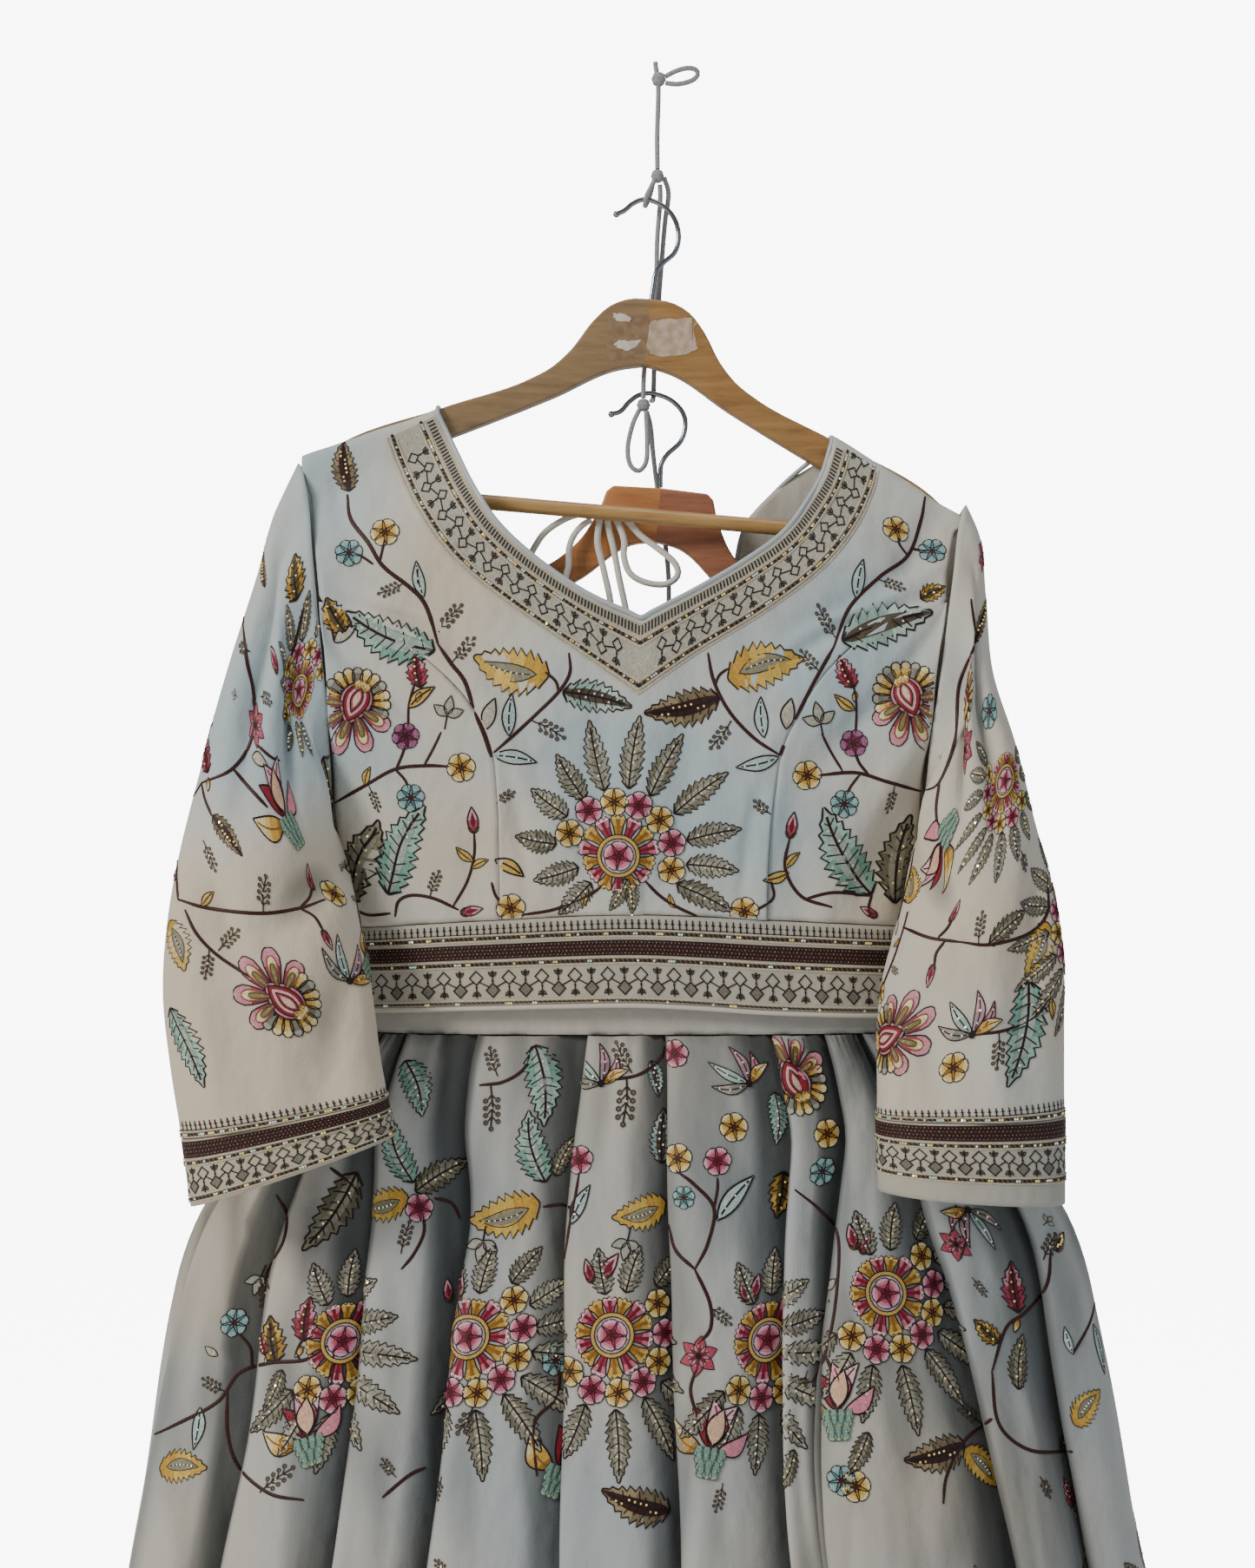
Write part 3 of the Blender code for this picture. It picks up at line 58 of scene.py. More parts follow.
UPPER_AT = (-0.0048, 0.0, -0.1548)
LOWER_AT = (0.0022, 0.010, -0.2836)
HOOK_R = 0.00175
BAR_R = 0.00525
BAR_BELOW = 0.151
BAR_REACH = 0.1876
BAR_LOBE_X = 0.2000
GREY_D = 0.0035
DORI_D = 0.0046
ROUTE_STEPS = 12

# The photo's camera, level with the blouse, and its picture plane in pixels
EYE = Vector((-0.0207, -1.35, -0.489))
PIXEL = 0.0006
MID_PX, MID_PY = 722.5, 903.0
PHOTO_HIGH = 1806
PHOTO_CUT = 1790

def table(kind, rows):
    """Named rows from plain ones."""
    return [kind(*row) for row in rows]


# Blouse sections: side limits, then depth of the middle front, the middle back
# and the side seam
BodyRow = namedtuple("BodyRow", "z left right front back side")
BODY = table(BodyRow, [
    (-0.642, -0.2060, 0.1725, -0.0480, 0.0300, -0.0100),
    (-0.580, -0.2080, 0.1730, -0.0510, 0.0310, -0.0110),
    (-0.555, -0.2140, 0.1765, -0.0535, 0.0315, -0.0115),
    (-0.530, -0.2200, 0.1800, -0.0560, 0.0320, -0.0120),
    (-0.505, -0.2215, 0.1795, -0.0575, 0.0325, -0.0140),
    (-0.450, -0.2235, 0.1850, -0.0580, 0.0320, -0.0140),
    (-0.385, -0.2265, 0.1880, -0.0530, 0.0300, -0.0140),
    (-0.315, -0.2290, 0.1960, -0.0470, 0.0270, -0.0140),
    (-0.270, -0.2400, 0.2050, -0.0400, 0.0240, -0.0140),
])
SIDE_ROUNDNESS = 2.6

# Armhole ovals: top and bottom of each, half depth, and how far the seam is
# cut in towards the neck at the front and at the back
Armhole = namedtuple("Armhole", "top_x top_z low_x low_z mid_y depth cut_front cut_back")
ARMHOLES = {
    "left": Armhole(-0.2425, -0.2705, -0.2210, -0.5021, -0.0165, 0.036, 0.0085, 0.0040),
    "right": Armhole(0.2075, -0.2990, 0.1795, -0.5080, -0.0165, 0.036, 0.0070, 0.0040),
}

# Neck edge from the point of the front V up to each shoulder
NeckRow = namedtuple("NeckRow", "share left_x left_z right_x right_z")
FRONT_NECK = table(NeckRow, [
    (0.00, -0.0117, -0.3782, -0.0117, -0.3782),
    (0.20, -0.0470, -0.3622, 0.0250, -0.3590),
    (0.40, -0.0815, -0.3385, 0.0560, -0.3408),
    (0.58, -0.1080, -0.3135, 0.0840, -0.3200),
    (0.72, -0.1245, -0.2885, 0.1005, -0.2975),
    (0.86, -0.1370, -0.2635, 0.1120, -0.2770),
    (1.00, -0.1500, -0.2365, 0.1185, -0.2560),
])
BACK_NECK = table(NeckRow, [
    (0.00, -0.0150, -0.4500, -0.0150, -0.4500),
    (0.20, -0.0620, -0.4350, 0.0250, -0.4320),
    (0.40, -0.0960, -0.3980, 0.0480, -0.3930),
    (0.58, -0.1110, -0.3530, 0.0540, -0.3480),
    (0.72, -0.1190, -0.3110, 0.0600, -0.3130),
    (0.86, -0.1360, -0.2680, 0.0860, -0.2820),
    (1.00, -0.1500, -0.2365, 0.1185, -0.2560),
])

# Princess seams of the front, from the hem band up to the armholes
PrincessRow = namedtuple("PrincessRow", "z left_x right_x centre_z")
PRINCESS = table(PrincessRow, [
    (-0.5800, -0.1060, 0.0720, -0.5765),
    (-0.5400, -0.1062, 0.0728, -0.5380),
    (-0.4980, -0.1071, 0.0765, -0.5020),
    (-0.4600, -0.1123, 0.0840, -0.4700),
    (-0.4364, -0.1244, 0.0960, -0.4480),
    (-0.4127, -0.1464, 0.1130, -0.4260),
    (-0.3870, -0.1810, 0.1430, -0.4060),
    (-0.3752, -0.2020, 0.1640, -0.3920),
    (-0.3680, -0.2221, 0.1885, -0.3782),
])

# Rows of the front above the point of the V: heights at the armholes
UpperRow = namedtuple("UpperRow", "neck_share left_z right_z")
FRONT_UPPER = table(UpperRow, [
    (0.15, -0.3560, -0.3590), (0.30, -0.3440, -0.3500), (0.46, -0.3310, -0.3420),
    (0.62, -0.3180, -0.3340), (0.76, -0.3060, -0.3260), (0.88, -0.2950, -0.3180),
])
BACK_LOWER_Z = [-0.580, -0.545, -0.505, -0.478]
BACK_UPPER = table(UpperRow, [
    (0.10, -0.4350, -0.4390), (0.24, -0.4120, -0.4180), (0.40, -0.3850, -0.3930),
    (0.56, -0.3560, -0.3680), (0.72, -0.3250, -0.3450), (0.87, -0.2960, -0.3210),
])

# Columns of each panel, as shares from its outer edge to its inner edge
SIDE_FRONT_SHARES = [0.0, 0.020, 0.100, 0.300, 0.600, 1.0]
BACK_SHARES = [0.0, 0.010, 0.050, 0.160, 0.360, 0.660, 1.0]
BAND_SHARES = [
    -1.0, -0.988, -0.945, -0.84, -0.66, -0.45, -0.24, 0.0, 0.24, 0.45, 0.66, 0.84, 0.945, 0.988, 1.0,
]

# The shoulder rests on the hanger arm: an oval over its rounded top edge
RIDGE_HALF = 0.0102
RIDGE_RISE = 0.0090
RIDGE_CLEAR = 0.0015
RIDGE_SQUARENESS = 0.68
RIDGE_ANGLES = [6.0, 28.0, 50.0, 71.0, 89.0]
SHOULDER_BLEND = 0.075
SHOULDER_INSET = 0.0016

# Hem band: top and bottom edge heights across the front, from side to side
HEM_MIDDLE_Z = -0.610
HEM_ENDS = (-0.999, 0.999)
BACK_OPENING = 0.003
PIPING_ENDS = (-0.985, 0.985)
PIPING_BELOW = 0.0005
HemRow = namedtuple("HemRow", "share top low")
HEM_BAND = table(HemRow, [
    (-1.0, -0.5870, -0.6405), (-0.5, -0.5805, -0.6365), (0.0, -0.5765, -0.6345),
    (0.5, -0.5805, -0.6400), (1.0, -0.5860, -0.6440),
])

# Sleeve rings from armhole to cuff: outer and inner point, middle depth and
# half depth
Ring = namedtuple("Ring", "outer_x outer_z inner_x inner_z mid_y depth")
SLEEVES = {
    "left": table(Ring, [
        (-0.2585, -0.3010, -0.2235, -0.5110, -0.018, 0.0390),
        (-0.2703, -0.3464, -0.2165, -0.5240, -0.023, 0.0410),
        (-0.2849, -0.4001, -0.2100, -0.5400, -0.033, 0.0410),
        (-0.2986, -0.4585, -0.2035, -0.5570, -0.047, 0.0400),
        (-0.3113, -0.5159, -0.1970, -0.5790, -0.061, 0.0385),
        (-0.3198, -0.5725, -0.1914, -0.6037, -0.072, 0.0370),
        (-0.3221, -0.6229, -0.1859, -0.6342, -0.080, 0.0350),
        (-0.3164, -0.6702, -0.1813, -0.6646, -0.086, 0.0330),
        (-0.3080, -0.7160, -0.1755, -0.6900, -0.092, 0.0310),
    ]),
    "right": table(Ring, [
        (0.2166, -0.3170, 0.1820, -0.5160, -0.018, 0.0390),
        (0.2207, -0.3582, 0.1745, -0.5280, -0.023, 0.0410),
        (0.2240, -0.4117, 0.1695, -0.5430, -0.033, 0.0410),
        (0.2359, -0.4585, 0.1640, -0.5590, -0.047, 0.0400),
        (0.2454, -0.5044, 0.1570, -0.5790, -0.061, 0.0385),
        (0.2551, -0.5498, 0.1506, -0.6066, -0.072, 0.0370),
        (0.2609, -0.5946, 0.1457, -0.6370, -0.080, 0.0350),
        (0.2615, -0.6449, 0.1416, -0.6702, -0.086, 0.0330),
        (0.2608, -0.7010, 0.1390, -0.7030, -0.092, 0.0310),
    ]),
}
CUFFS = {
    "left": Ring(-0.3014, -0.7593, -0.1691, -0.7139, -0.095, 0.0300),
    "right": Ring(0.2600, -0.7571, 0.1400, -0.7490, -0.095, 0.0300),
}
SLEEVE_SIDES = 20
SLEEVE_SQUARENESS = 2.2

# Skirt sections from the waistband down to the hem
SkirtRow = namedtuple("SkirtRow", "z centre_x centre_y half_width half_depth squareness pleat")
SKIRT = table(SkirtRow, [
    (-0.6583, -0.0180, -0.0120, 0.1810, 0.0260, 2.6, 0.0085),
    (-0.690, -0.0180, -0.0120, 0.2120, 0.0330, 2.6, 0.0095),
    (-0.735, -0.0180, -0.0110, 0.2620, 0.0440, 2.5, 0.0115),
    (-0.810, -0.0180, -0.0090, 0.3085, 0.0610, 2.5, 0.0135),
    (-0.920, -0.0170, -0.0050, 0.3295, 0.0980, 2.4, 0.0160),
    (-1.100, -0.0160, 0.0000, 0.3600, 0.1480, 2.3, 0.0195),
    (-1.360, -0.0150, 0.0000, 0.4020, 0.1950, 2.3, 0.0240),
    (-1.640, -0.0150, 0.0000, 0.4400, 0.2350, 2.2, 0.0270),
])

# Left edge of each pleat as a share of the way round its half of the skirt,
# at the waist, at two heights of the thigh and at the hem
PleatRow = namedtuple("PleatRow", "name waist thigh knee hem")
FRONT_PLEATS = table(PleatRow, [
    ("side_far_left", -0.955, -0.915, -0.900, -0.890),
    ("side_left", -0.885, -0.745, -0.700, -0.710),
    ("left", -0.800, -0.540, -0.495, -0.500),
    ("mid_left", -0.545, -0.340, -0.335, -0.335),
    ("centre_left", -0.160, -0.137, -0.127, -0.150),
    ("centre_right", 0.115, 0.077, 0.080, 0.060),
    ("mid_right", 0.510, 0.318, 0.255, 0.250),
    ("right", 0.690, 0.414, 0.308, 0.400),
    ("side_right", 0.830, 0.630, 0.640, 0.620),
    ("side_far_right", 0.915, 0.840, 0.790, 0.800),
])
BACK_PLEATS = table(PleatRow, [
    ("back_1", -0.950, -0.930, -0.920, -0.915),
    ("back_2", -0.840, -0.760, -0.740, -0.735),
    ("back_3", -0.640, -0.560, -0.545, -0.560),
    ("back_4", -0.420, -0.370, -0.365, -0.370),
    ("back_5", -0.190, -0.170, -0.180, -0.165),
    ("back_6", 0.040, 0.030, 0.020, 0.030),
    ("back_7", 0.260, 0.220, 0.230, 0.220),
    ("back_8", 0.470, 0.410, 0.405, 0.410),
    ("back_9", 0.670, 0.600, 0.590, 0.600),
    ("back_10", 0.840, 0.790, 0.780, 0.780),
])
PLEAT_HEIGHTS = [-0.658, -0.790, -0.950, -1.640]
PleatAt = namedtuple("PleatAt", "z share")

# Outline of one knife pleat: share of the pleat's width, share of its depth.
# The face starts at a fold on its left and sinks on its right under the next.
# A pleat is no deeper than the steepness times its width.
PLEAT_STEEPNESS = 0.42
LAP_MOST = 0.060
GORE_LAST_FOLDS = 7
OUTLINE_STEPS = 60
FoldPoint = namedtuple("FoldPoint", "along rise")
PLEAT_FOLD = table(FoldPoint, [
    (0.000, -0.16), (0.055, 0.08), (0.340, 0.14), (0.680, -0.10), (0.900, -0.50), (1.030, -0.84),
    (1.190, -1.00), (1.215, -0.74), (1.040, -0.44),
])
SKIRT_GORES = [
    ("skirt_gore_front_left", "front", 0, 4),
    ("skirt_gore_front_middle", "front", 4, 7),
    ("skirt_gore_front_right", "front", 7, 10),
    ("skirt_gore_back_right", "back", 0, 3),
    ("skirt_gore_back_middle", "back", 3, 7),
    ("skirt_gore_back_left", "back", 7, 10),
]

# Waistband of the skirt, inside the blouse hem
BAND_TOP = -0.6130
BAND_LOW = -0.6575
BAND_HALF_WIDTH = 0.1800
BAND_HALF_DEPTH = 0.0250
BAND_AT = (-0.0180, -0.0120)
BAND_SIDES = 36
BAND_SQUARENESS = 2.6

# Hanging ribbons of the skirt, over the arms of the lower hanger
RIBBON_WIDTH = 0.0102
RIBBON_WALL = 0.0010
RIBBON_X = (-0.150, 0.132)
RIBBON_CLEAR = 0.0012
RIBBON_RISE = 0.0030
RIBBON_TAIL = 0.020
RIBBON_DROP = 0.030

# Half outline of the upper hanger from the middle of its top edge, then its
# lower edge back to the notch
HangerPoint = namedtuple("HangerPoint", "x z")
UPPER_TOP = table(HangerPoint, [
    (0.0000, 0.0000), (0.0150, -0.0015), (0.0280, -0.0080), (0.0380, -0.0190), (0.0520, -0.0410),
    (0.0640, -0.0540), (0.0773, -0.0630), (0.1326, -0.0880), (0.2080, -0.1255), (0.2160, -0.1330),
])
UPPER_LOW = table(HangerPoint, [
    (0.2170, -0.1450), (0.2140, -0.1570), (0.2070, -0.1620), (0.1940, -0.1620), (0.1880, -0.1580),
    (0.1880, -0.1440), (0.1780, -0.1330), (0.1257, -0.1074), (0.0600, -0.0735), (0.0180, -0.0500),
    (0.0000, -0.0456),
])
LOWER_TOP = table(HangerPoint, [
    (0.0000, 0.0000), (0.0330, -0.0015), (0.0375, -0.0060), (0.0410, -0.0190), (0.0520, -0.0400),
    (0.0660, -0.0550), (0.1000, -0.0750), (0.2000, -0.1240), (0.2080, -0.1310),
])
LOWER_LOW = table(HangerPoint, [
    (0.2090, -0.1440), (0.2030, -0.1530), (0.1900, -0.1530), (0.1700, -0.1360), (0.0500, -0.0680),
    (0.0140, -0.0400), (0.0000, -0.0375),
])

# Hook wires, from the bent tip over the top and down to the shank
UPPER_HOOK = [
    (-0.0284, -0.0953), (-0.0225, -0.0925), (-0.0170, -0.0880), (-0.0086, -0.0850),
    (0.0030, -0.0890), (0.0115, -0.0980), (0.0147, -0.1104), (0.0120, -0.1215),
    (0.0040, -0.1290), (-0.0012, -0.1360), (-0.0028, -0.1450), (-0.0043, -0.1543),
]
LOWER_HOOK = [
    (-0.0319, -0.2316), (-0.0255, -0.2295), (-0.0190, -0.2225), (-0.0120, -0.2180),
    (-0.0031, -0.2172), (0.0090, -0.2215), (0.0175, -0.2300), (0.0196, -0.2400),
    (0.0160, -0.2510), (0.0075, -0.2590), (0.0030, -0.2660), (0.0022, -0.2740),
    (0.0022, -0.2826),
]

# Grey cord: knots and the stretches between them
Knot = namedtuple("Knot", "name x y z half_width half_height")
KNOTS = [
    Knot("cord_knot_top", 0.0008, 0.0000, -0.0020, 0.0046, 0.0048),
    Knot("cord_knot_second", 0.0000, 0.0000, -0.0690, 0.0042, 0.0046),
    Knot("cord_knot_lower", -0.0096, 0.0052, -0.2262, 0.0044, 0.0044),
]
GREY_ROUTES = {
    "cord_tail_top": [(-0.0006, 0.0, 0.0033), (-0.0012, 0.0, 0.0065), (-0.0014, 0.0, 0.0098)],
    "cord_bow_top": [
        (0.0054, -0.0003, -0.0002), (0.0130, -0.0010, 0.0034), (0.0210, -0.0016, 0.0052),
        (0.0268, -0.0010, 0.0040), (0.0276, 0.0004, 0.0006), (0.0230, 0.0012, -0.0028),
        (0.0140, 0.0010, -0.0050), (0.0054, 0.0005, -0.0044),
    ],
    "cord_upper": [
        (0.0006, 0.0, -0.0073), (0.0004, 0.0, -0.0220), (-0.0002, 0.0, -0.0420),
        (0.0000, 0.0, -0.0639),
    ],
    "cord_hook_sling": [
        (-0.0020, -0.0034, -0.0726), (-0.0044, -0.0050, -0.0780), (-0.0074, -0.0050, -0.0840),
        (-0.0084, -0.0032, -0.0882), (-0.0086, 0.0000, -0.0893), (-0.0080, 0.0034, -0.0880),
        (-0.0060, 0.0050, -0.0830), (-0.0042, 0.0044, -0.0775), (-0.0032, 0.0030, -0.0732),
    ],
    "cord_drop_left": [
        (0.0018, 0.0046, -0.0734), (0.0020, 0.0066, -0.0850), (0.0000, 0.0082, -0.1100),
        (-0.0010, 0.0086, -0.1450), (-0.0050, 0.0088, -0.1750), (-0.0085, 0.0086, -0.1960),
        (-0.0095, 0.0066, -0.2090), (-0.0097, 0.0052, -0.2160), (-0.0097, 0.0052, -0.2214),
    ],
    "cord_drop_right": [
        (0.0046, 0.0030, -0.0690), (0.0078, 0.0085, -0.0790), (0.0052, 0.0128, -0.1000),
        (0.0016, 0.0132, -0.1450), (-0.0006, 0.0134, -0.1750), (-0.0020, 0.0150, -0.1980),
        (-0.0024, 0.0156, -0.2110), (-0.0026, 0.0148, -0.2180), (-0.0030, 0.0106, -0.2219),
        (-0.0036, 0.0080, -0.2223), (-0.0040, 0.0066, -0.2228),
    ],
    "cord_bow_lower": [
        (-0.0126, 0.0030, -0.2300), (-0.0170, 0.0010, -0.2400), (-0.0205, 0.0000, -0.2560),
        (-0.0190, 0.0000, -0.2680), (-0.0130, 0.0006, -0.2725), (-0.0078, 0.0020, -0.2660),
        (-0.0070, 0.0026, -0.2520), (-0.0074, 0.0030, -0.2400), (-0.0078, 0.0032, -0.2306),
    ],
    "cord_tail_lower": [
        (-0.0073, 0.0088, -0.2299), (-0.0045, 0.0122, -0.2405), (-0.0026, 0.0160, -0.2600),
        (0.0000, 0.0196, -0.2800), (0.0044, 0.0204, -0.3100), (0.0078, 0.0200, -0.3400),
        (0.0082, 0.0190, -0.3700), (0.0080, 0.0185, -0.3880),
    ],
}

# White back neck ties: they come up from the neck edge of the back, are knotted
# behind the bar of the upper hanger, and hang down in two ends and a bow
DORI_KNOT = (-0.0360, -0.0061, -0.3020)
DORI_KNOT_HALF = (0.0078, 0.0042, 0.0050)
DORI_ROUTES = {
    "dori_left": [
        (-0.1235, 0.0228, -0.3235), (-0.1160, 0.0190, -0.3265), (-0.1085, 0.0070, -0.3345),
        (-0.1000, -0.0030, -0.3400), (-0.0900, -0.0065, -0.3345), (-0.0789, -0.0075, -0.3177),
        (-0.0670, -0.0075, -0.3087), (-0.0560, -0.0070, -0.3040), (-0.0443, -0.0064, -0.3021),
    ],
    "dori_right": [
        (0.0475, 0.0235, -0.3930), (0.0400, 0.0160, -0.4060), (0.0180, 0.0000, -0.4200),
        (-0.0200, -0.0180, -0.4210), (-0.0520, -0.0250, -0.4030), (-0.0660, -0.0200, -0.3760),
        (-0.0634, -0.0130, -0.3499), (-0.0612, -0.0090, -0.3390), (-0.0608, -0.0080, -0.3270),
        (-0.0575, -0.0076, -0.3180), (-0.0520, -0.0074, -0.3115), (-0.0457, -0.0070, -0.3072),
    ],
    "dori_end_left": [
        (-0.0398, -0.0069, -0.3069), (-0.0409, -0.0076, -0.3150), (-0.0411, -0.0082, -0.3250),
        (-0.0370, -0.0088, -0.3422), (-0.0322, -0.0098, -0.3660), (-0.0312, -0.0110, -0.3950),
        (-0.0330, -0.0116, -0.4250), (-0.0335, -0.0116, -0.4560),
    ],
    "dori_end_right": [
        (-0.0346, -0.0060, -0.3077), (-0.0330, -0.0060, -0.3160), (-0.0300, -0.0062, -0.3284),
        (-0.0262, -0.0072, -0.3487), (-0.0212, -0.0090, -0.3726), (-0.0180, -0.0106, -0.3980),
        (-0.0168, -0.0112, -0.4280), (-0.0165, -0.0112, -0.4650),
    ],
    "dori_loop": [
        (-0.0295, -0.0072, -0.3060), (-0.0258, -0.0088, -0.3130), (-0.0228, -0.0104, -0.3230),
        (-0.0232, -0.0118, -0.3330), (-0.0190, -0.0118, -0.3446), (-0.0085, -0.0112, -0.3508),
        (0.0055, -0.0106, -0.3520), (0.0138, -0.0100, -0.3457), (0.0112, -0.0094, -0.3368),
        (0.0000, -0.0086, -0.3272), (-0.0114, -0.0078, -0.3185), (-0.0200, -0.0062, -0.3090),
        (-0.0266, -0.0055, -0.3014),
    ],
}
DORI_END_KNOTS = [
    Knot("dori_end_knot_left", -0.0335, -0.0116, -0.4610, 0.0044, 0.0046),
    Knot("dori_end_knot_right", -0.0165, -0.0112, -0.4700, 0.0044, 0.0046),
]


def slope(rows, index, column):
    """Slope of a table column at one of its rows, flat where the column turns."""
    here = getattr(rows[index], column)
    if index in (0, len(rows) - 1):
        other = rows[1] if index == 0 else rows[-2]
        return (getattr(other, column) - here) / (other[0] - rows[index][0])
    before, after = rows[index - 1], rows[index + 1]
    left = (here - getattr(before, column)) / (rows[index][0] - before[0])
    right = (getattr(after, column) - here) / (after[0] - rows[index][0])
    if left * right <= 0.0:
        return 0.0
    return 2.0 * left * right / (left + right)


def read(rows, at, column):
    """Smooth value of a named column, at a value of the table's first column."""
    if rows[0][0] > rows[-1][0]:
        rows = rows[::-1]
    at = min(max(at, rows[0][0]), rows[-1][0])
    index = 0
    while index < len(rows) - 2 and at > rows[index + 1][0]:
        index += 1
    span = rows[index + 1][0] - rows[index][0]
    step = (at - rows[index][0]) / span
    start, end = getattr(rows[index], column), getattr(rows[index + 1], column)
    lead, trail = slope(rows, index, column) * span, slope(rows, index + 1, column) * span
    square, cube = step * step, step * step * step
    return (start * (2.0 * cube - 3.0 * square + 1.0) + lead * (cube - 2.0 * square + step)
            + end * (3.0 * square - 2.0 * cube) + trail * (cube - square))


def mix(start, end, share):
    return start + (end - start) * share


def ease(share):
    share = min(max(share, 0.0), 1.0)
    return share * share * (3.0 - 2.0 * share)


def fullness(share, squareness):
    """Height of a superellipse of half width and height 1 at a share of its half width."""
    share = min(abs(share), 1.0)
    return (1.0 - share ** squareness) ** (1.0 / squareness)


def squared_circle(turn, squareness):
    """Point of a superellipse of half width and half height 1."""
    cosine, sine = math.cos(turn), math.sin(turn)
    return (math.copysign(abs(cosine) ** (2.0 / squareness), cosine),
            math.copysign(abs(sine) ** (2.0 / squareness), sine))


def rolled(x, z, at):
    """A point of a hanger's own outline, tilted as the hanger hangs."""
    turned_x = x * math.cos(ROLL) + z * math.sin(ROLL)
    turned_z = -x * math.sin(ROLL) + z * math.cos(ROLL)
    return at[0] + turned_x, at[2] + turned_z


def arm_top(x, outline, at):
    """Height of a hanger's top edge above a place across it, level on past its end."""
    side = 1.0 if x > at[0] else -1.0
    edge = [rolled(side * point.x, point.z, at) for point in outline]
    for inner, outer in zip(edge[:-2], edge[1:-1]):
        if side * inner[0] <= side * x <= side * outer[0]:
            return mix(inner[1], outer[1], (x - inner[0]) / (outer[0] - inner[0]))
    before, last = edge[-3], edge[-2]
    return last[1] + (x - last[0]) * (last[1] - before[1]) / (last[0] - before[0])


def arm_middle(x, outline, at):
    """Depth of the middle of a hanger arm, which sweeps forward to its end."""
    z = arm_top(x, outline, at)
    reach = (x - at[0]) * math.cos(ROLL) - (z - at[2]) * math.sin(ROLL)
    return at[1] - SWEEP * abs(reach)


def along(rows, share, side):
    """Neck edge point on a side at a share of the way up to the shoulder."""
    return read(rows, share, side + "_x"), read(rows, share, side + "_z")


def armhole_turn(side, z):
    """Share of the armhole's half depth at a height, 0 at its top and bottom."""
    hole = ARMHOLES[side]
    middle, half = (hole.top_z + hole.low_z) / 2.0, (hole.top_z - hole.low_z) / 2.0
    return math.sqrt(max(0.0, 1.0 - min(1.0, abs(z - middle) / half) ** SLEEVE_SQUARENESS))


def armhole_x(side, z, cut):
    hole = ARMHOLES[side]
    share = (z - hole.low_z) / (hole.top_z - hole.low_z)
    inward = 1.0 if side == "left" else -1.0
    return mix(hole.low_x, hole.top_x, share) + inward * cut * armhole_turn(side, z)


def side_limit(side, z, face):
    """Where the body ends at a side: side seam below the armhole, its edge above."""
    hole = ARMHOLES[side]
    if z <= hole.low_z:
        return read(BODY, z, side), read(BODY, z, "side")
    cut = hole.cut_front if face == "front" else hole.cut_back
    sign = -1.0 if face == "front" else 1.0
    return armhole_x(side, z, cut), hole.mid_y + sign * hole.depth * armhole_turn(side, z)


def shoulder_top(x):
    return arm_top(x, UPPER_TOP, UPPER_AT) + RIDGE_CLEAR


def body_depth(x, z, face):
    """Depth of the front or back of the blouse at a place seen from the front."""
    left, left_y = side_limit("left", z, face)
    right, right_y = side_limit("right", z, face)
    middle, half = (left + right) / 2.0, (right - left) / 2.0
    share = (x - middle) / half
    edge_y = left_y if share < 0.0 else right_y
    depth = mix(edge_y, read(BODY, z, face), fullness(share, SIDE_ROUNDNESS))
    sign = -1.0 if face == "front" else 1.0
    resting = arm_middle(x, UPPER_TOP, UPPER_AT) + sign * RIDGE_HALF
    below = shoulder_top(x) - RIDGE_RISE - z
    return mix(resting, depth, ease(below / SHOULDER_BLEND))


def ridge_point(x, angle, face):
    """A point of the cloth where it turns over the hanger arm."""
    sign = -1.0 if face == "front" else 1.0
    turn = math.radians(angle)
    out = RIDGE_HALF * math.cos(turn) ** RIDGE_SQUARENESS
    up = RIDGE_RISE * math.sin(turn) ** RIDGE_SQUARENESS
    y = arm_middle(x, UPPER_TOP, UPPER_AT) + sign * (out + SEAM_GAP / 2.0)
    return Vector((x, y, shoulder_top(x) - RIDGE_RISE + up))


def body_row(outer, inner, shares, face):
    points = []
    for share in shares:
        x, z = mix(outer[0], inner[0], share), mix(outer[1], inner[1], share)
        points.append(Vector((x, body_depth(x, z, face), z)))
    return points


def shoulder_rows(side, neck, shares, face):
    """Rows of the cloth over the arm, from the armhole to the neck."""
    hole = ARMHOLES[side]
    inward = 1.0 if side == "left" else -1.0
    outer_x = hole.top_x + inward * SHOULDER_INSET
    inner_x = along(neck, 1.0, side)[0]
    rows = []
    for angle in RIDGE_ANGLES:
        rows.append([ridge_point(mix(outer_x, inner_x, share), angle, face) for share in shares])
    return rows


def seam_shift(rows, index, side):
    """Direction across a princess seam at one of its rows, towards the centre."""
    before, after = rows[max(index - 1, 0)], rows[min(index + 1, len(rows) - 1)]
    along_x = getattr(after, side + "_x") - getattr(before, side + "_x")
    along_z = after.z - before.z
    length = math.hypot(along_x, along_z)
    inward = 1.0 if side == "left" else -1.0
    return inward * along_z / length, -inward * along_x / length


def seat_on_band(row, face):
    """Drops a row of points to the top edge of the hem band."""
    for point in row:
        point.z = hem_edge(point.x)
        point.y = body_depth(point.x, point.z, face)
    return row


def hem_edge(x):
    """Height of the cloth just above the hem band at a place across the front."""
    left, right = read(BODY, HEM_MIDDLE_Z, "left"), read(BODY, HEM_MIDDLE_Z, "right")
    share = (2.0 * x - left - right) / (right - left)
    return read(HEM_BAND, share, "top") + HEM_GAP


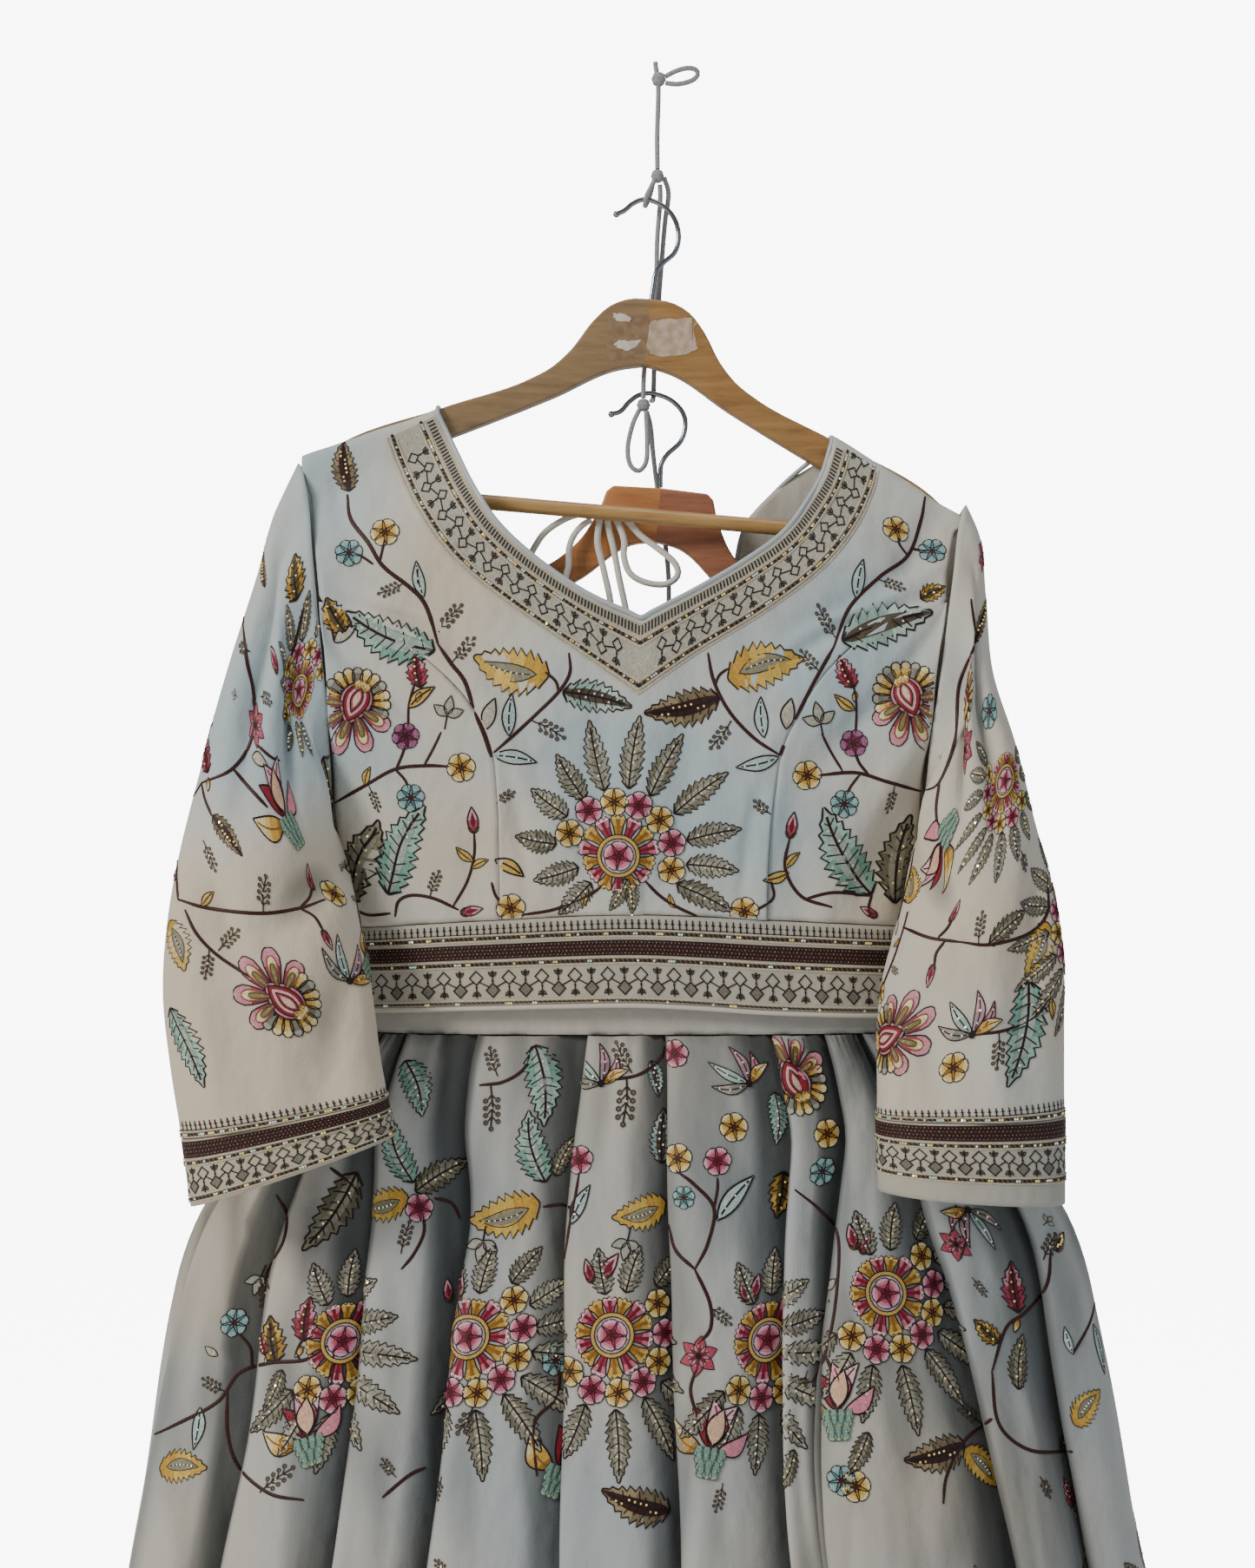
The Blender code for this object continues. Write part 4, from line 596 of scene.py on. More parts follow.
def band_row(face, low_share, stand_out, ends):
    """Points along the hem band between two shares of its width, -1 to 1."""
    points = []
    sign = -1.0 if face == "front" else 1.0
    shares = [ends[0]] + [share for share in BAND_SHARES if ends[0] < share < ends[1]] + [ends[1]]
    # at a side seam the band turns in until the front's end meets the back's
    shares = [-1.0] * (ends[0] == HEM_ENDS[0]) + shares + [1.0] * (ends[1] == HEM_ENDS[1])
    for share in shares:
        z = mix(read(HEM_BAND, share, "top"), read(HEM_BAND, share, "low"), low_share)
        level = max(z, BODY[0].z)
        x = mix(read(BODY, level, "left"), read(BODY, level, "right"), (share + 1.0) / 2.0)
        points.append(Vector((x, body_depth(x, level, face) + sign * stand_out, z)))
    return points


def sleeve_ring(ring, cut_front=0.0, cut_back=0.0, inward=0.0):
    """Points round one ring of a sleeve, from its outer point round the front."""
    points = []
    middle_x = (ring.outer_x + ring.inner_x) / 2.0
    middle_z = (ring.outer_z + ring.inner_z) / 2.0
    for index in range(SLEEVE_SIDES):
        reach, bulge = squared_circle(2.0 * math.pi * index / SLEEVE_SIDES, SLEEVE_SQUARENESS)
        x = middle_x + (ring.outer_x - ring.inner_x) / 2.0 * reach
        z = middle_z + (ring.outer_z - ring.inner_z) / 2.0 * reach
        cut = cut_front if bulge > 0.0 else cut_back
        points.append(Vector((x + inward * cut * abs(bulge), ring.mid_y - ring.depth * bulge, z)))
    return points


def armhole_ring(side):
    hole = ARMHOLES[side]
    inward = 1.0 if side == "left" else -1.0
    apart = -inward * (SEAM_GAP + BLOUSE_WALL)
    ring = Ring(hole.top_x + apart, hole.top_z, hole.low_x + apart, hole.low_z, hole.mid_y, hole.depth)
    return sleeve_ring(ring, hole.cut_front, hole.cut_back, inward)


def mixed_ring(start, end, share):
    return Ring(*[mix(first, last, share) for first, last in zip(start, end)])


def round_skirt(share, row, face):
    """Outline point of a skirt section and its outward direction.

    The share runs from -1 at the left side to 1 at the right side, by length."""
    sign = -1.0 if face == "front" else 1.0
    outline = []
    for index in range(OUTLINE_STEPS + 1):
        x, y = squared_circle(math.pi * index / OUTLINE_STEPS, row.squareness)
        outline.append(Vector((-row.half_width * x, row.half_depth * sign * y)))
    lengths = [0.0]
    for first, last in zip(outline, outline[1:]):
        lengths.append(lengths[-1] + (last - first).length)
    wanted = (share + 1.0) / 2.0 * lengths[-1]
    beyond = 0.0
    if wanted < 0.0 or wanted > lengths[-1]:
        beyond = wanted if wanted < 0.0 else wanted - lengths[-1]
        wanted = min(max(wanted, 0.0), lengths[-1])
    index = 0
    while index < OUTLINE_STEPS - 1 and lengths[index + 1] < wanted:
        index += 1
    part = (wanted - lengths[index]) / (lengths[index + 1] - lengths[index])
    place = outline[index].lerp(outline[index + 1], part)
    edge = (outline[index + 1] - outline[index]).normalized()
    outward = Vector((edge.y, -edge.x)) if face == "front" else Vector((-edge.y, edge.x))
    place = place + edge * beyond
    return place, outward, lengths[-1]


def pleat_edge(pleats, index, z):
    """Share round the skirt of a pleat's fold at a height."""
    if index >= len(pleats):
        return 2.0 + pleat_edge_of(BACK_PLEATS if pleats is FRONT_PLEATS else FRONT_PLEATS, 0, z)
    return pleat_edge_of(pleats, index, z)


def pleat_edge_of(pleats, index, z):
    pleat = pleats[index]
    shares = (pleat.waist, pleat.thigh, pleat.knee, pleat.hem)
    return read([PleatAt(height, share) for height, share in zip(PLEAT_HEIGHTS, shares)], z, "share")


def pleat_size(section, face, index):
    """Start and end share of a pleat at a height, then its width and depth."""
    pleats = FRONT_PLEATS if face == "front" else BACK_PLEATS
    start = pleat_edge(pleats, index, section.z)
    end = pleat_edge(pleats, index + 1, section.z)
    _, _, length = round_skirt(0.0, section, face)
    width = (end - start) * length / 2.0
    return start, end, width, min(section.pleat, PLEAT_STEEPNESS * width)


def skirt_row(section, face, first, last):
    """Points of some pleats at one height, from left to right on their own half."""
    _, _, length = round_skirt(0.0, section, face)
    points = []
    for index in range(first, last):
        start, end, width, depth = pleat_size(section, face, index)
        folds = PLEAT_FOLD if index < last - 1 else PLEAT_FOLD[:GORE_LAST_FOLDS]
        for fold in folds:
            share = start + (end - start) * min(fold.along, 1.0)
            share += 2.0 * max(fold.along - 1.0, 0.0) * min(width, LAP_MOST) / length
            points.append(skirt_point(section, face, share, depth * fold.rise))
    return points


def skirt_point(section, face, share, rise):
    """A point on a skirt section, where a share past 1 goes on round the other half."""
    if share > 1.0:
        other = "back" if face == "front" else "front"
        return skirt_point(section, other, share - 2.0, rise)
    place, outward, _ = round_skirt(-share if face == "back" else share, section, face)
    place = place + outward * rise
    return Vector((section.centre_x + place.x, section.centre_y + place.y, section.z))


# The hidden start of a gore, folded back under its own first pleat
LEAD_IN = [FoldPoint(0.150, -0.60), FoldPoint(0.040, -0.44)]


def lead_in(section, face, first):
    start, _, width, depth = pleat_size(section, face, first)
    _, _, before_width, before_depth = pleat_before(section, face, first)
    depth = min(depth, before_depth)
    _, _, length = round_skirt(0.0, section, face)
    lap = min(width, before_width, LAP_MOST) / length * 2.0
    return [skirt_point(section, face, start + fold.along * lap, fold.rise * depth) for fold in LEAD_IN]


def pleat_before(section, face, index):
    """Size of the pleat on the left of a pleat, on the other half of the skirt if it must be."""
    if index > 0:
        return pleat_size(section, face, index - 1)
    other = "back" if face == "front" else "front"
    return pleat_size(section, other, len(BACK_PLEATS) - 1)


def smooth_route(route, spacing):
    """Points at even spacing on a smooth curve through a route's own points."""
    points = [Vector(point) for point in route]
    ends = [points[0] * 2.0 - points[1]] + points + [points[-1] * 2.0 - points[-2]]
    fine = []
    for index in range(len(points) - 1):
        before, start, end, after = ends[index:index + 4]
        for step in range(ROUTE_STEPS):
            part = step / ROUTE_STEPS
            fine.append(0.5 * (2.0 * start + (end - before) * part
                               + (2.0 * before - 5.0 * start + 4.0 * end - after) * part ** 2
                               + (3.0 * start - before - 3.0 * end + after) * part ** 3))
    fine.append(points[-1])
    lengths = [0.0]
    for first, last in zip(fine, fine[1:]):
        lengths.append(lengths[-1] + (last - first).length)
    count = max(3, round(lengths[-1] / spacing))
    result, index = [], 0
    for step in range(count + 1):
        wanted = lengths[-1] * step / count
        while index < len(fine) - 2 and lengths[index + 1] < wanted:
            index += 1
        part = (wanted - lengths[index]) / (lengths[index + 1] - lengths[index])
        result.append(fine[index].lerp(fine[index + 1], part))
    return result


def sight(px, py):
    """Direction from the camera through a pixel of the photo."""
    return Vector(((px - MID_PX) * PIXEL, -EYE.y, -(py - MID_PY) * PIXEL)).normalized()


MM = 0.001


def linear(hex_text):
    """An sRGB hex colour as linear red, green and blue."""
    channels = [int(hex_text[start:start + 2], 16) / 255.0 for start in (1, 3, 5)]
    return np.array([c / 12.92 if c <= 0.04045 else ((c + 0.055) / 1.055) ** 2.4 for c in channels])


def rgba(hex_text):
    return (*linear(hex_text), 1.0)


def hermite(points, places, wanted, corner=None):
    """Smooth curve through points along their first axis, at wanted places.

    corner is (index, weights): how far each column bends sharply at that point."""
    steps = np.diff(places)
    slopes = np.diff(points, axis=0) / steps[:, None, None]
    tangent = np.empty_like(points)
    tangent[0], tangent[-1] = slopes[0], slopes[-1]
    left, right = steps[:-1, None, None], steps[1:, None, None]
    tangent[1:-1] = (slopes[:-1] * right + slopes[1:] * left) / (left + right)
    leave, arrive = tangent.copy(), tangent.copy()
    if corner is not None:
        index, weight = corner[0], corner[1][:, None]
        leave[index] = tangent[index] * (1.0 - weight) + slopes[index] * weight
        arrive[index] = tangent[index] * (1.0 - weight) + slopes[index - 1] * weight
    index = np.clip(np.searchsorted(places, wanted, side="right") - 1, 0, len(places) - 2)
    span = steps[index][:, None, None]
    part = ((wanted - places[index]) / steps[index])[:, None, None]
    square, cube = part ** 2, part ** 3
    return (points[index] * (2 * cube - 3 * square + 1) + leave[index] * span * (cube - 2 * square + part)
            + points[index + 1] * (3 * square - 2 * cube) + arrive[index + 1] * span * (cube - square))


def distances(points):
    """Distance of each point of a line from its first, along the line."""
    return np.concatenate([[0.0], np.cumsum(np.linalg.norm(np.diff(points, axis=0), axis=1))])


def chord(points):
    """Mean distance along the first axis of a grid of points."""
    return np.concatenate([[0.0], np.cumsum(np.linalg.norm(np.diff(points, axis=0), axis=2).mean(axis=1))])


def refined(rows, down, across, corner=None, folds=None, keep=False):
    """A fine grid through coarse rows of points. folds is the spacing between folded columns."""
    grid = np.array([[tuple(point) for point in row] for row in rows])
    places = chord(grid)
    if down != len(grid):
        grid = hermite(grid, places, np.linspace(0.0, places[-1], down), corner)
    if keep:
        return grid
    places = chord(grid.transpose(1, 0, 2))
    if folds is None:
        wanted = np.linspace(0.0, places[-1], across)
    else:
        spans = np.diff(places)
        counts = np.clip(np.round(spans / folds), 2, 9).astype(int)
        wanted = [places[index] + span * step / count
                  for index, (span, count) in enumerate(zip(spans, counts)) for step in range(count)]
        wanted = np.array(wanted + [places[-1]])
    return hermite(grid.transpose(1, 0, 2), places, wanted).transpose(1, 0, 2)


def grid_normals(grid, wrap=False):
    """Unit normals of a grid, to the outside when its rows run down and columns to the viewer's right."""
    if wrap:
        right = np.roll(grid, -1, axis=1) - np.roll(grid, 1, axis=1)
    else:
        right = np.gradient(grid, axis=1)
    down = np.gradient(grid, axis=0)
    normal = np.cross(down, right)
    return normal / np.maximum(np.linalg.norm(normal, axis=2, keepdims=True), 1e-12)


Crease = namedtuple("Crease", "down across down_end across_end depth wide")
CREASE_DEPTH = 2.2
RIPPLES = [(5.1, 2.3), (9.7, -4.1), (17.3, 6.9), (3.1, 11.7)]
RIPPLE_SPAN = 0.25
# Crease depth that the painted shade in the creases' troughs is measured against
CREASE_SHADE_DEPTH = 0.018


def creased(grid, creases, ripple=0.0, seed=0.0, wrap=False):
    """Pushes given creases and soft uneven ripples into a grid, along its normals.

    Places are shares of the grid's height and width. A depth below 0 is a ridge."""
    rows, columns = grid.shape[:2]
    down, across = np.meshgrid(np.linspace(0, 1, rows), np.linspace(0, 1, columns), indexing="ij")
    high = np.linalg.norm(np.diff(grid[:, columns // 2], axis=0), axis=1).sum()
    wide = np.linalg.norm(np.diff(grid[rows // 2], axis=0), axis=1).sum()
    push = np.zeros((rows, columns))
    for crease in creases:
        start = np.array([crease.down * high, crease.across * wide])
        run = np.array([crease.down_end * high, crease.across_end * wide]) - start
        place = np.stack([down * high, across * wide], axis=-1) - start
        part = np.clip((place @ run) / max(run @ run, 1e-9), 0.0, 1.0)
        off = np.linalg.norm(place - part[..., None] * run, axis=-1)
        fade = np.sin(np.pi * (0.08 + 0.84 * part)) ** 0.7
        push -= CREASE_DEPTH * crease.depth * fade * np.exp(-(off / crease.wide) ** 2)
    if ripple:
        for turn, (sway, long) in enumerate(RIPPLES):
            wave = np.sin(sway * across * wide / RIPPLE_SPAN + long * down * high / RIPPLE_SPAN
                          + seed * (turn + 1.3))
            push += ripple * wave / (1.0 + 0.55 * turn)
    # how deep each point lies in a crease, for the painted shade in the creases' troughs
    deep = np.clip(-push / CREASE_SHADE_DEPTH, 0.0, 0.75)
    return grid + grid_normals(grid, wrap) * push[..., None], deep


def new_mesh(name, points, quads, smooth=True):
    mesh = bpy.data.meshes.new(name)
    points = np.asarray(points, dtype=np.float32)
    quads = np.asarray(quads, dtype=np.int32)
    mesh.vertices.add(len(points))
    mesh.vertices.foreach_set("co", points.ravel())
    mesh.loops.add(quads.size)
    mesh.loops.foreach_set("vertex_index", quads.ravel())
    mesh.polygons.add(len(quads))
    mesh.polygons.foreach_set("loop_start", np.arange(len(quads), dtype=np.int32) * quads.shape[1])
    mesh.update(calc_edges=True)
    mesh.validate()
    if smooth:
        mesh.shade_smooth()
    return mesh


def from_shape(name, shape, smooth=True):
    """A mesh of its own from a bmesh, which is freed."""
    mesh = bpy.data.meshes.new(name)
    shape.to_mesh(mesh)
    shape.free()
    if smooth:
        mesh.shade_smooth()
    return mesh


def linked(name, data):
    """An object in the scene with some data."""
    item = bpy.data.objects.new(name, data)
    bpy.context.scene.collection.objects.link(item)
    return item


def baked(holder):
    """The mesh that an object's curve or modifiers make. The object itself is removed."""
    bpy.context.view_layer.update()
    mesh = bpy.data.meshes.new_from_object(
        holder.evaluated_get(bpy.context.evaluated_depsgraph_get()))
    bpy.data.objects.remove(holder, do_unlink=True)
    return mesh


def show(name, mesh, finish, nodes=(), slot=None):
    """Adds a finished piece that rides on the one body and stands for CAD nodes."""
    piece = linked(name, mesh)
    if finish is not None:
        piece.data.materials.clear()
        piece.data.materials.append(finish)
    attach(piece, "root")
    if nodes:
        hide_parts(*nodes)
    return piece


def grid_quads(rows, columns, start=0, wrap=False):
    """Corner numbers of a grid's quads, facing out for rows that run down."""
    last = columns if wrap else columns - 1
    row, column = np.meshgrid(np.arange(rows - 1), np.arange(last), indexing="ij")
    after = (column + 1) % columns
    corners = [row * columns + column, (row + 1) * columns + column, (row + 1) * columns + after,
               row * columns + after]
    return start + np.stack(corners, axis=-1).reshape(-1, 4)


# More than any row of cloth is long, so that all rows fit in one sorted list
ROW_APART = 10.0


class Patch:
    """A fine grid of cloth and the flat measures on it."""

    def __init__(self, grid, wrap=False):
        # a grid may come with how deep each point lies, which the finish turns into painted shade in troughs
        if isinstance(grid, tuple):
            grid, self.deep = grid
        else:
            self.deep = None
        self.grid, self.wrap = grid, wrap
        normals = grid_normals(grid, wrap)
        closed = np.concatenate([grid, grid[:, :1]], axis=1) if wrap else grid
        steps = np.linalg.norm(np.diff(closed, axis=1), axis=2)
        self.across = np.concatenate([np.zeros((len(grid), 1)), np.cumsum(steps, axis=1)], axis=1)
        self.points = closed
        self.facing = np.concatenate([normals, normals[:, :1]], axis=1) if wrap else normals

    def place(self, row, column, right, down):
        """Points and normals at flat offsets, in metres, from a place on the grid."""
        rows, columns = self.points.shape[:2]
        column = min(max(column, 0.0), columns - 1.001)
        base = int(column)
        line = self.points[:, base] * (1 - column + base) + self.points[:, base + 1] * (column - base)
        depth = distances(line)
        start = np.interp(row, np.arange(rows), depth)
        wanted = start + down
        inside = (wanted >= 0.0) & (wanted <= depth[-1])
        level = np.clip(np.interp(wanted, depth, np.arange(rows)), 0, rows - 1.001)
        upper = level.astype(int)
        share = (level - upper)[:, None]
        middle = self.across[:, base] * (1 - column + base) + self.across[:, base + 1] * (column - base)
        found = []
        for each in (upper, upper + 1):
            target = middle[each] + right
            width = self.across[each, -1]
            if self.wrap:
                target = np.mod(target, width)
            inside &= (target >= -1e-6) & (target <= width + 1e-6)
            target = np.clip(target, 0.0, width * 0.999999)
            flat = (self.across + np.arange(rows)[:, None] * ROW_APART).ravel()
            index = np.searchsorted(flat, target + each * ROW_APART, side="right") - 1 - each * columns
            index = np.clip(index, 0, columns - 2)
            low, high = self.across[each, index], self.across[each, index + 1]
            part = ((target - low) / np.maximum(high - low, 1e-9))[:, None]
            spot = self.points[each, index] * (1 - part) + self.points[each, index + 1] * part
            facing = self.facing[each, index] * (1 - part) + self.facing[each, index + 1] * part
            found.append((spot, facing))
        spot = found[0][0] * (1 - share) + found[1][0] * share
        facing = found[0][1] * (1 - share) + found[1][1] * share
        facing = facing / np.maximum(np.linalg.norm(facing, axis=1, keepdims=True), 1e-9)
        return spot, facing, inside


class Region:
    """Several patches with one search tree, for placing things as the photo shows them."""

    def __init__(self, patches):
        self.patches = patches
        points, quads, self.owner, start = [], [], [], 0
        for patch in patches:
            rows, columns = patch.points.shape[:2]
            points.append(patch.points.reshape(-1, 3))
            faces = grid_quads(rows, columns, start)
            quads.append(faces)
            self.owner.append((len(faces), columns))
            start += rows * columns
        self.tree = BVHTree.FromPolygons(np.concatenate(points).tolist(), np.concatenate(quads).tolist())
        self.facing = np.concatenate([patch.facing.reshape(-1, 3) for patch in patches])
        self.quads = np.concatenate(quads)

    def locate(self, face, spot):
        """Patch, row and column of a hit."""
        for patch, (count, columns) in zip(self.patches, self.owner):
            if face < count:
                row, column = divmod(face, columns - 1)
                corner = Vector(patch.points[row, column])
                right = Vector(patch.points[row, column + 1]) - corner
                down = Vector(patch.points[row + 1, column]) - corner
                off = spot - corner
                return (patch, row + min(max(off.dot(down) / max(down.length_squared, 1e-12), 0.0), 1.0),
                        column + min(max(off.dot(right) / max(right.length_squared, 1e-12), 0.0), 1.0))
            face -= count
        return None

    def seen(self, px, py):
        """What a pixel of the photo shows: its point, outward normal and face."""
        way = sight(px, py)
        spot, normal, face, _ = self.tree.ray_cast(EYE, way)
        if spot is None:
            return None
        if normal.dot(way) > 0.0:
            normal = -normal
        return spot, normal, face

    def smooth(self, face):
        """Mean of the smooth normals at the corners of a face."""
        return Vector(self.facing[self.quads[face]].mean(axis=0))

    def drop(self, points, way):
        """Points and smooth normals where lines along a direction meet the cloth."""
        spots = np.zeros((len(points), 3))
        normals = np.zeros((len(points), 3))
        inside = np.zeros(len(points), dtype=bool)
        way = Vector(way)
        for index, point in enumerate(points):
            spot, normal, face, _ = self.tree.ray_cast(Vector(point), way)
            if spot is None:
                continue
            smooth = self.smooth(face)
            if smooth.length < 0.1:
                smooth = normal
            smooth.normalize()
            if smooth.dot(way) > 0.0:
                smooth = -smooth
            spots[index], normals[index], inside[index] = spot, smooth, True
        return spots, normals, inside


FRONT_SHARES = [index / 6 for index in range(7)]


def front_rows(side):
    """Rows of one half of the front centre panel, from the hem band up to the shoulder."""
    rows = []
    for index, seam in enumerate(PRINCESS):
        shift_x, shift_z = seam_shift(PRINCESS, index, side)
        half_gap = SEAM_GAP / 2.0
        outer = (getattr(seam, side + "_x") + shift_x * half_gap, seam.z + shift_z * half_gap)
        row = body_row(outer, (FRONT_NECK[0].left_x, seam.centre_z), FRONT_SHARES, "front")
        rows.append(seat_on_band(row, "front") if index == 0 else row)
    for upper in FRONT_UPPER:
        z = getattr(upper, side + "_z")
        outer = (side_limit(side, z, "front")[0], z)
        rows.append(body_row(outer, along(FRONT_NECK, upper.neck_share, side), FRONT_SHARES, "front"))
    return rows + shoulder_rows(side, FRONT_NECK, FRONT_SHARES, "front")


def side_front_rows(side):
    rows = []
    for index, seam in enumerate(PRINCESS):
        shift_x, shift_z = seam_shift(PRINCESS, index, side)
        half_gap = SEAM_GAP / 2.0
        inner = (getattr(seam, side + "_x") - shift_x * half_gap, seam.z - shift_z * half_gap)
        outer = (side_limit(side, seam.z, "front")[0], seam.z)
        row = body_row(outer, inner, SIDE_FRONT_SHARES, "front")
        if index == 0:
            row = seat_on_band(row, "front")
        if seam.z <= ARMHOLES[side].low_z:
            row[0].y -= SEAM_GAP
        rows.append(row)
    return rows


def back_rows(side):
    rows = []
    middle = BACK_NECK[0].left_x + (-SEAM_GAP if side == "left" else SEAM_GAP)
    for index, z in enumerate(BACK_LOWER_Z + [BACK_NECK[0].left_z]):
        row = body_row((side_limit(side, z, "back")[0], z), (middle, z), BACK_SHARES, "back")
        rows.append(seat_on_band(row, "back") if index == 0 else row)
    for upper in BACK_UPPER:
        z = getattr(upper, side + "_z")
        outer = (side_limit(side, z, "back")[0], z)
        rows.append(body_row(outer, along(BACK_NECK, upper.neck_share, side), BACK_SHARES, "back"))
    rows.extend(shoulder_rows(side, BACK_NECK, BACK_SHARES, "back"))
    for row in rows:
        row[0].y += SEAM_GAP
    return rows


# Creases of the blouse: shares of the panel's height from the top and of its width
# from the viewer's left, then depth and half width
FRONT_CREASES = {
    "left": table(Crease, [
        (0.30, 0.02, 0.62, 0.30, 0.0022, 0.012), (0.22, 0.10, 0.46, 0.42, 0.0014, 0.015),
        (0.60, 0.05, 0.80, 0.20, -0.0012, 0.014), (0.74, 0.10, 0.98, 0.22, 0.0013, 0.010),
        (0.55, 0.75, 0.92, 0.62, 0.0009, 0.018), (0.86, 0.55, 0.98, 0.80, 0.0010, 0.012),
        (0.05, 0.16, 0.34, 0.20, 0.0012, 0.014),
    ]),
    "right": table(Crease, [
        (0.28, 0.97, 0.60, 0.70, 0.0022, 0.012), (0.20, 0.86, 0.48, 0.58, 0.0013, 0.015),
        (0.62, 0.95, 0.82, 0.80, -0.0012, 0.014), (0.76, 0.88, 0.98, 0.80, 0.0014, 0.010),
        (0.52, 0.25, 0.90, 0.40, 0.0010, 0.018), (0.88, 0.30, 0.97, 0.12, 0.0009, 0.012),
        (0.04, 0.82, 0.32, 0.78, 0.0013, 0.014),
    ]),
}
SIDE_CREASES = {
    "left": table(Crease, [
        (0.10, 0.10, 0.55, 0.75, 0.0024, 0.012), (0.35, 0.02, 0.80, 0.60, -0.0016, 0.013),
        (0.50, 0.10, 0.98, 0.50, 0.0020, 0.010), (0.60, 0.90, 0.99, 0.80, 0.0012, 0.010),
    ]),
    "right": table(Crease, [
        (0.08, 0.90, 0.55, 0.25, 0.0024, 0.012), (0.38, 0.98, 0.82, 0.40, -0.0016, 0.013),
        (0.52, 0.92, 0.98, 0.50, 0.0020, 0.010), (0.58, 0.10, 0.99, 0.22, 0.0012, 0.010),
    ]),
}
BACK_CREASES = {
    "right": table(Crease, [
        (0.30, 0.06, 0.66, 0.40, 0.0024, 0.014), (0.50, 0.08, 0.90, 0.55, 0.0018, 0.012),
        (0.62, 0.60, 0.98, 0.78, -0.0014, 0.016), (0.72, 0.90, 0.99, 0.94, 0.0012, 0.010),
    ]),
    "left": table(Crease, [
        (0.28, 0.94, 0.64, 0.60, 0.0024, 0.014), (0.52, 0.92, 0.90, 0.45, 0.0018, 0.012),
        (0.60, 0.40, 0.98, 0.22, -0.0014, 0.016), (0.70, 0.10, 0.99, 0.06, 0.0012, 0.010),
    ]),
}
# Down a sleeve from the armhole, and round it from its outer edge over the front
SLEEVE_CREASES = {
    "left": table(Crease, [
        (0.02, 0.10, 0.42, 0.17, 0.0045, 0.012), (0.03, 0.24, 0.30, 0.30, 0.0040, 0.011),
        (0.02, 0.34, 0.22, 0.42, -0.0034, 0.012), (0.34, 0.46, 0.62, 0.28, 0.0042, 0.014),
        (0.48, 0.06, 0.74, 0.22, 0.0030, 0.016), (0.66, 0.44, 0.97, 0.34, 0.0030, 0.014),
        (0.70, 0.10, 0.98, 0.16, -0.0026, 0.016), (0.05, 0.62, 0.50, 0.70, 0.0044, 0.014),
        (0.40, 0.88, 0.80, 0.76, 0.0038, 0.015), (0.55, 0.58, 0.95, 0.66, -0.0030, 0.016),
        (0.20, 0.92, 0.46, 0.97, 0.0030, 0.014),
    ]),
    "right": table(Crease, [
        (0.02, 0.12, 0.46, 0.20, 0.0046, 0.012), (0.04, 0.27, 0.36, 0.33, 0.0044, 0.011),
        (0.02, 0.38, 0.24, 0.45, -0.0034, 0.012), (0.30, 0.47, 0.58, 0.32, 0.0042, 0.014),
        (0.52, 0.08, 0.80, 0.20, 0.0034, 0.015), (0.68, 0.42, 0.98, 0.36, 0.0030, 0.013),
        (0.74, 0.26, 0.99, 0.24, -0.0028, 0.012), (0.06, 0.60, 0.50, 0.68, 0.0044, 0.014),
        (0.42, 0.86, 0.82, 0.78, 0.0038, 0.015), (0.56, 0.56, 0.95, 0.62, -0.0030, 0.016),
        (0.22, 0.93, 0.48, 0.96, 0.0030, 0.014),
    ]),
}


# Points of cloth that are closer than this become one
WELD = 0.00004


def cloth_piece(name, patches, look):
    """A shown piece of cloth made of one or more grids that meet edge to edge."""
    points, quads, start = [], [], 0
    for patch in patches:
        rows, columns = patch.grid.shape[:2]
        points.append(patch.grid.reshape(-1, 3))
        quads.append(grid_quads(rows, columns, start, patch.wrap))
        start += rows * columns
    mesh = new_mesh(name, np.concatenate(points), np.concatenate(quads))
    # how deep each point lies goes on the mesh, for the finish's painted shade in troughs
    if patches[0].deep is not None:
        deep = np.concatenate([patch.deep.ravel() for patch in patches])
        mesh.attributes.new("deep", "FLOAT", "POINT").data.foreach_set("value", deep.astype(np.float32))
    if len(patches) > 1:
        shape = bmesh.new()
        shape.from_mesh(mesh)
        bmesh.ops.remove_doubles(shape, verts=shape.verts, dist=WELD)
        shape.to_mesh(mesh)
        shape.free()
    piece = show("shown_" + name, mesh, FINISHES[look.finish], [name], look.slot)
    # the wall goes inward from the cloth's outside
    shell = piece.modifiers.new("thickness", "SOLIDIFY")
    shell.thickness = look.wall
    shell.offset = -1.0
    shell.use_even_offset = False
    width, length, area = flat_size(patches)


# The front's halves are one where their edges are closer than this
FRONT_JOINED = 0.004


def weld_front(left, right):
    """Joins the two halves of the front below the point of the V, so that no seam shows."""
    for row in range(len(left.grid)):
        if np.linalg.norm(left.grid[row, -1] - right.grid[row, 0]) < FRONT_JOINED:
            middle = (left.grid[row, -1] + right.grid[row, 0]) / 2.0
            for grid, edge in ((left.grid, -1), (right.grid, 0), (left.points, -1), (right.points, 0)):
                grid[row, edge] = middle


def turned(rows, really=True):
    """Rows of points in the other order across, or as they are."""
    return [row[::-1] for row in rows] if really else rows


# Grids of the blouse: points down and across, depth and start of the ripples
Panel = namedtuple("Panel", "down across ripple seed")
PANELS = {
    "front": Panel(118, 44, 0.0009, 0.4), "side_front": Panel(60, 30, 0.0006, 1.7),
    "back": Panel(92, 46, 0.0006, 2.6), "sleeve": Panel(100, 85, 0.0010, 0.9),
}
# How sharply the front's columns bend at the point of the V, around its middle
V_BEND = {5: 0.35, 6: 1.0, 7: 1.0, 8: 0.35}


def panel(kind, rows, creases, wrap=False):
    look = PANELS[kind]
    grid = refined(rows, look.down, look.across)
    if wrap:
        grid = grid[:, :-1]
    return Patch(creased(grid, creases, look.ripple, look.seed, wrap), wrap)


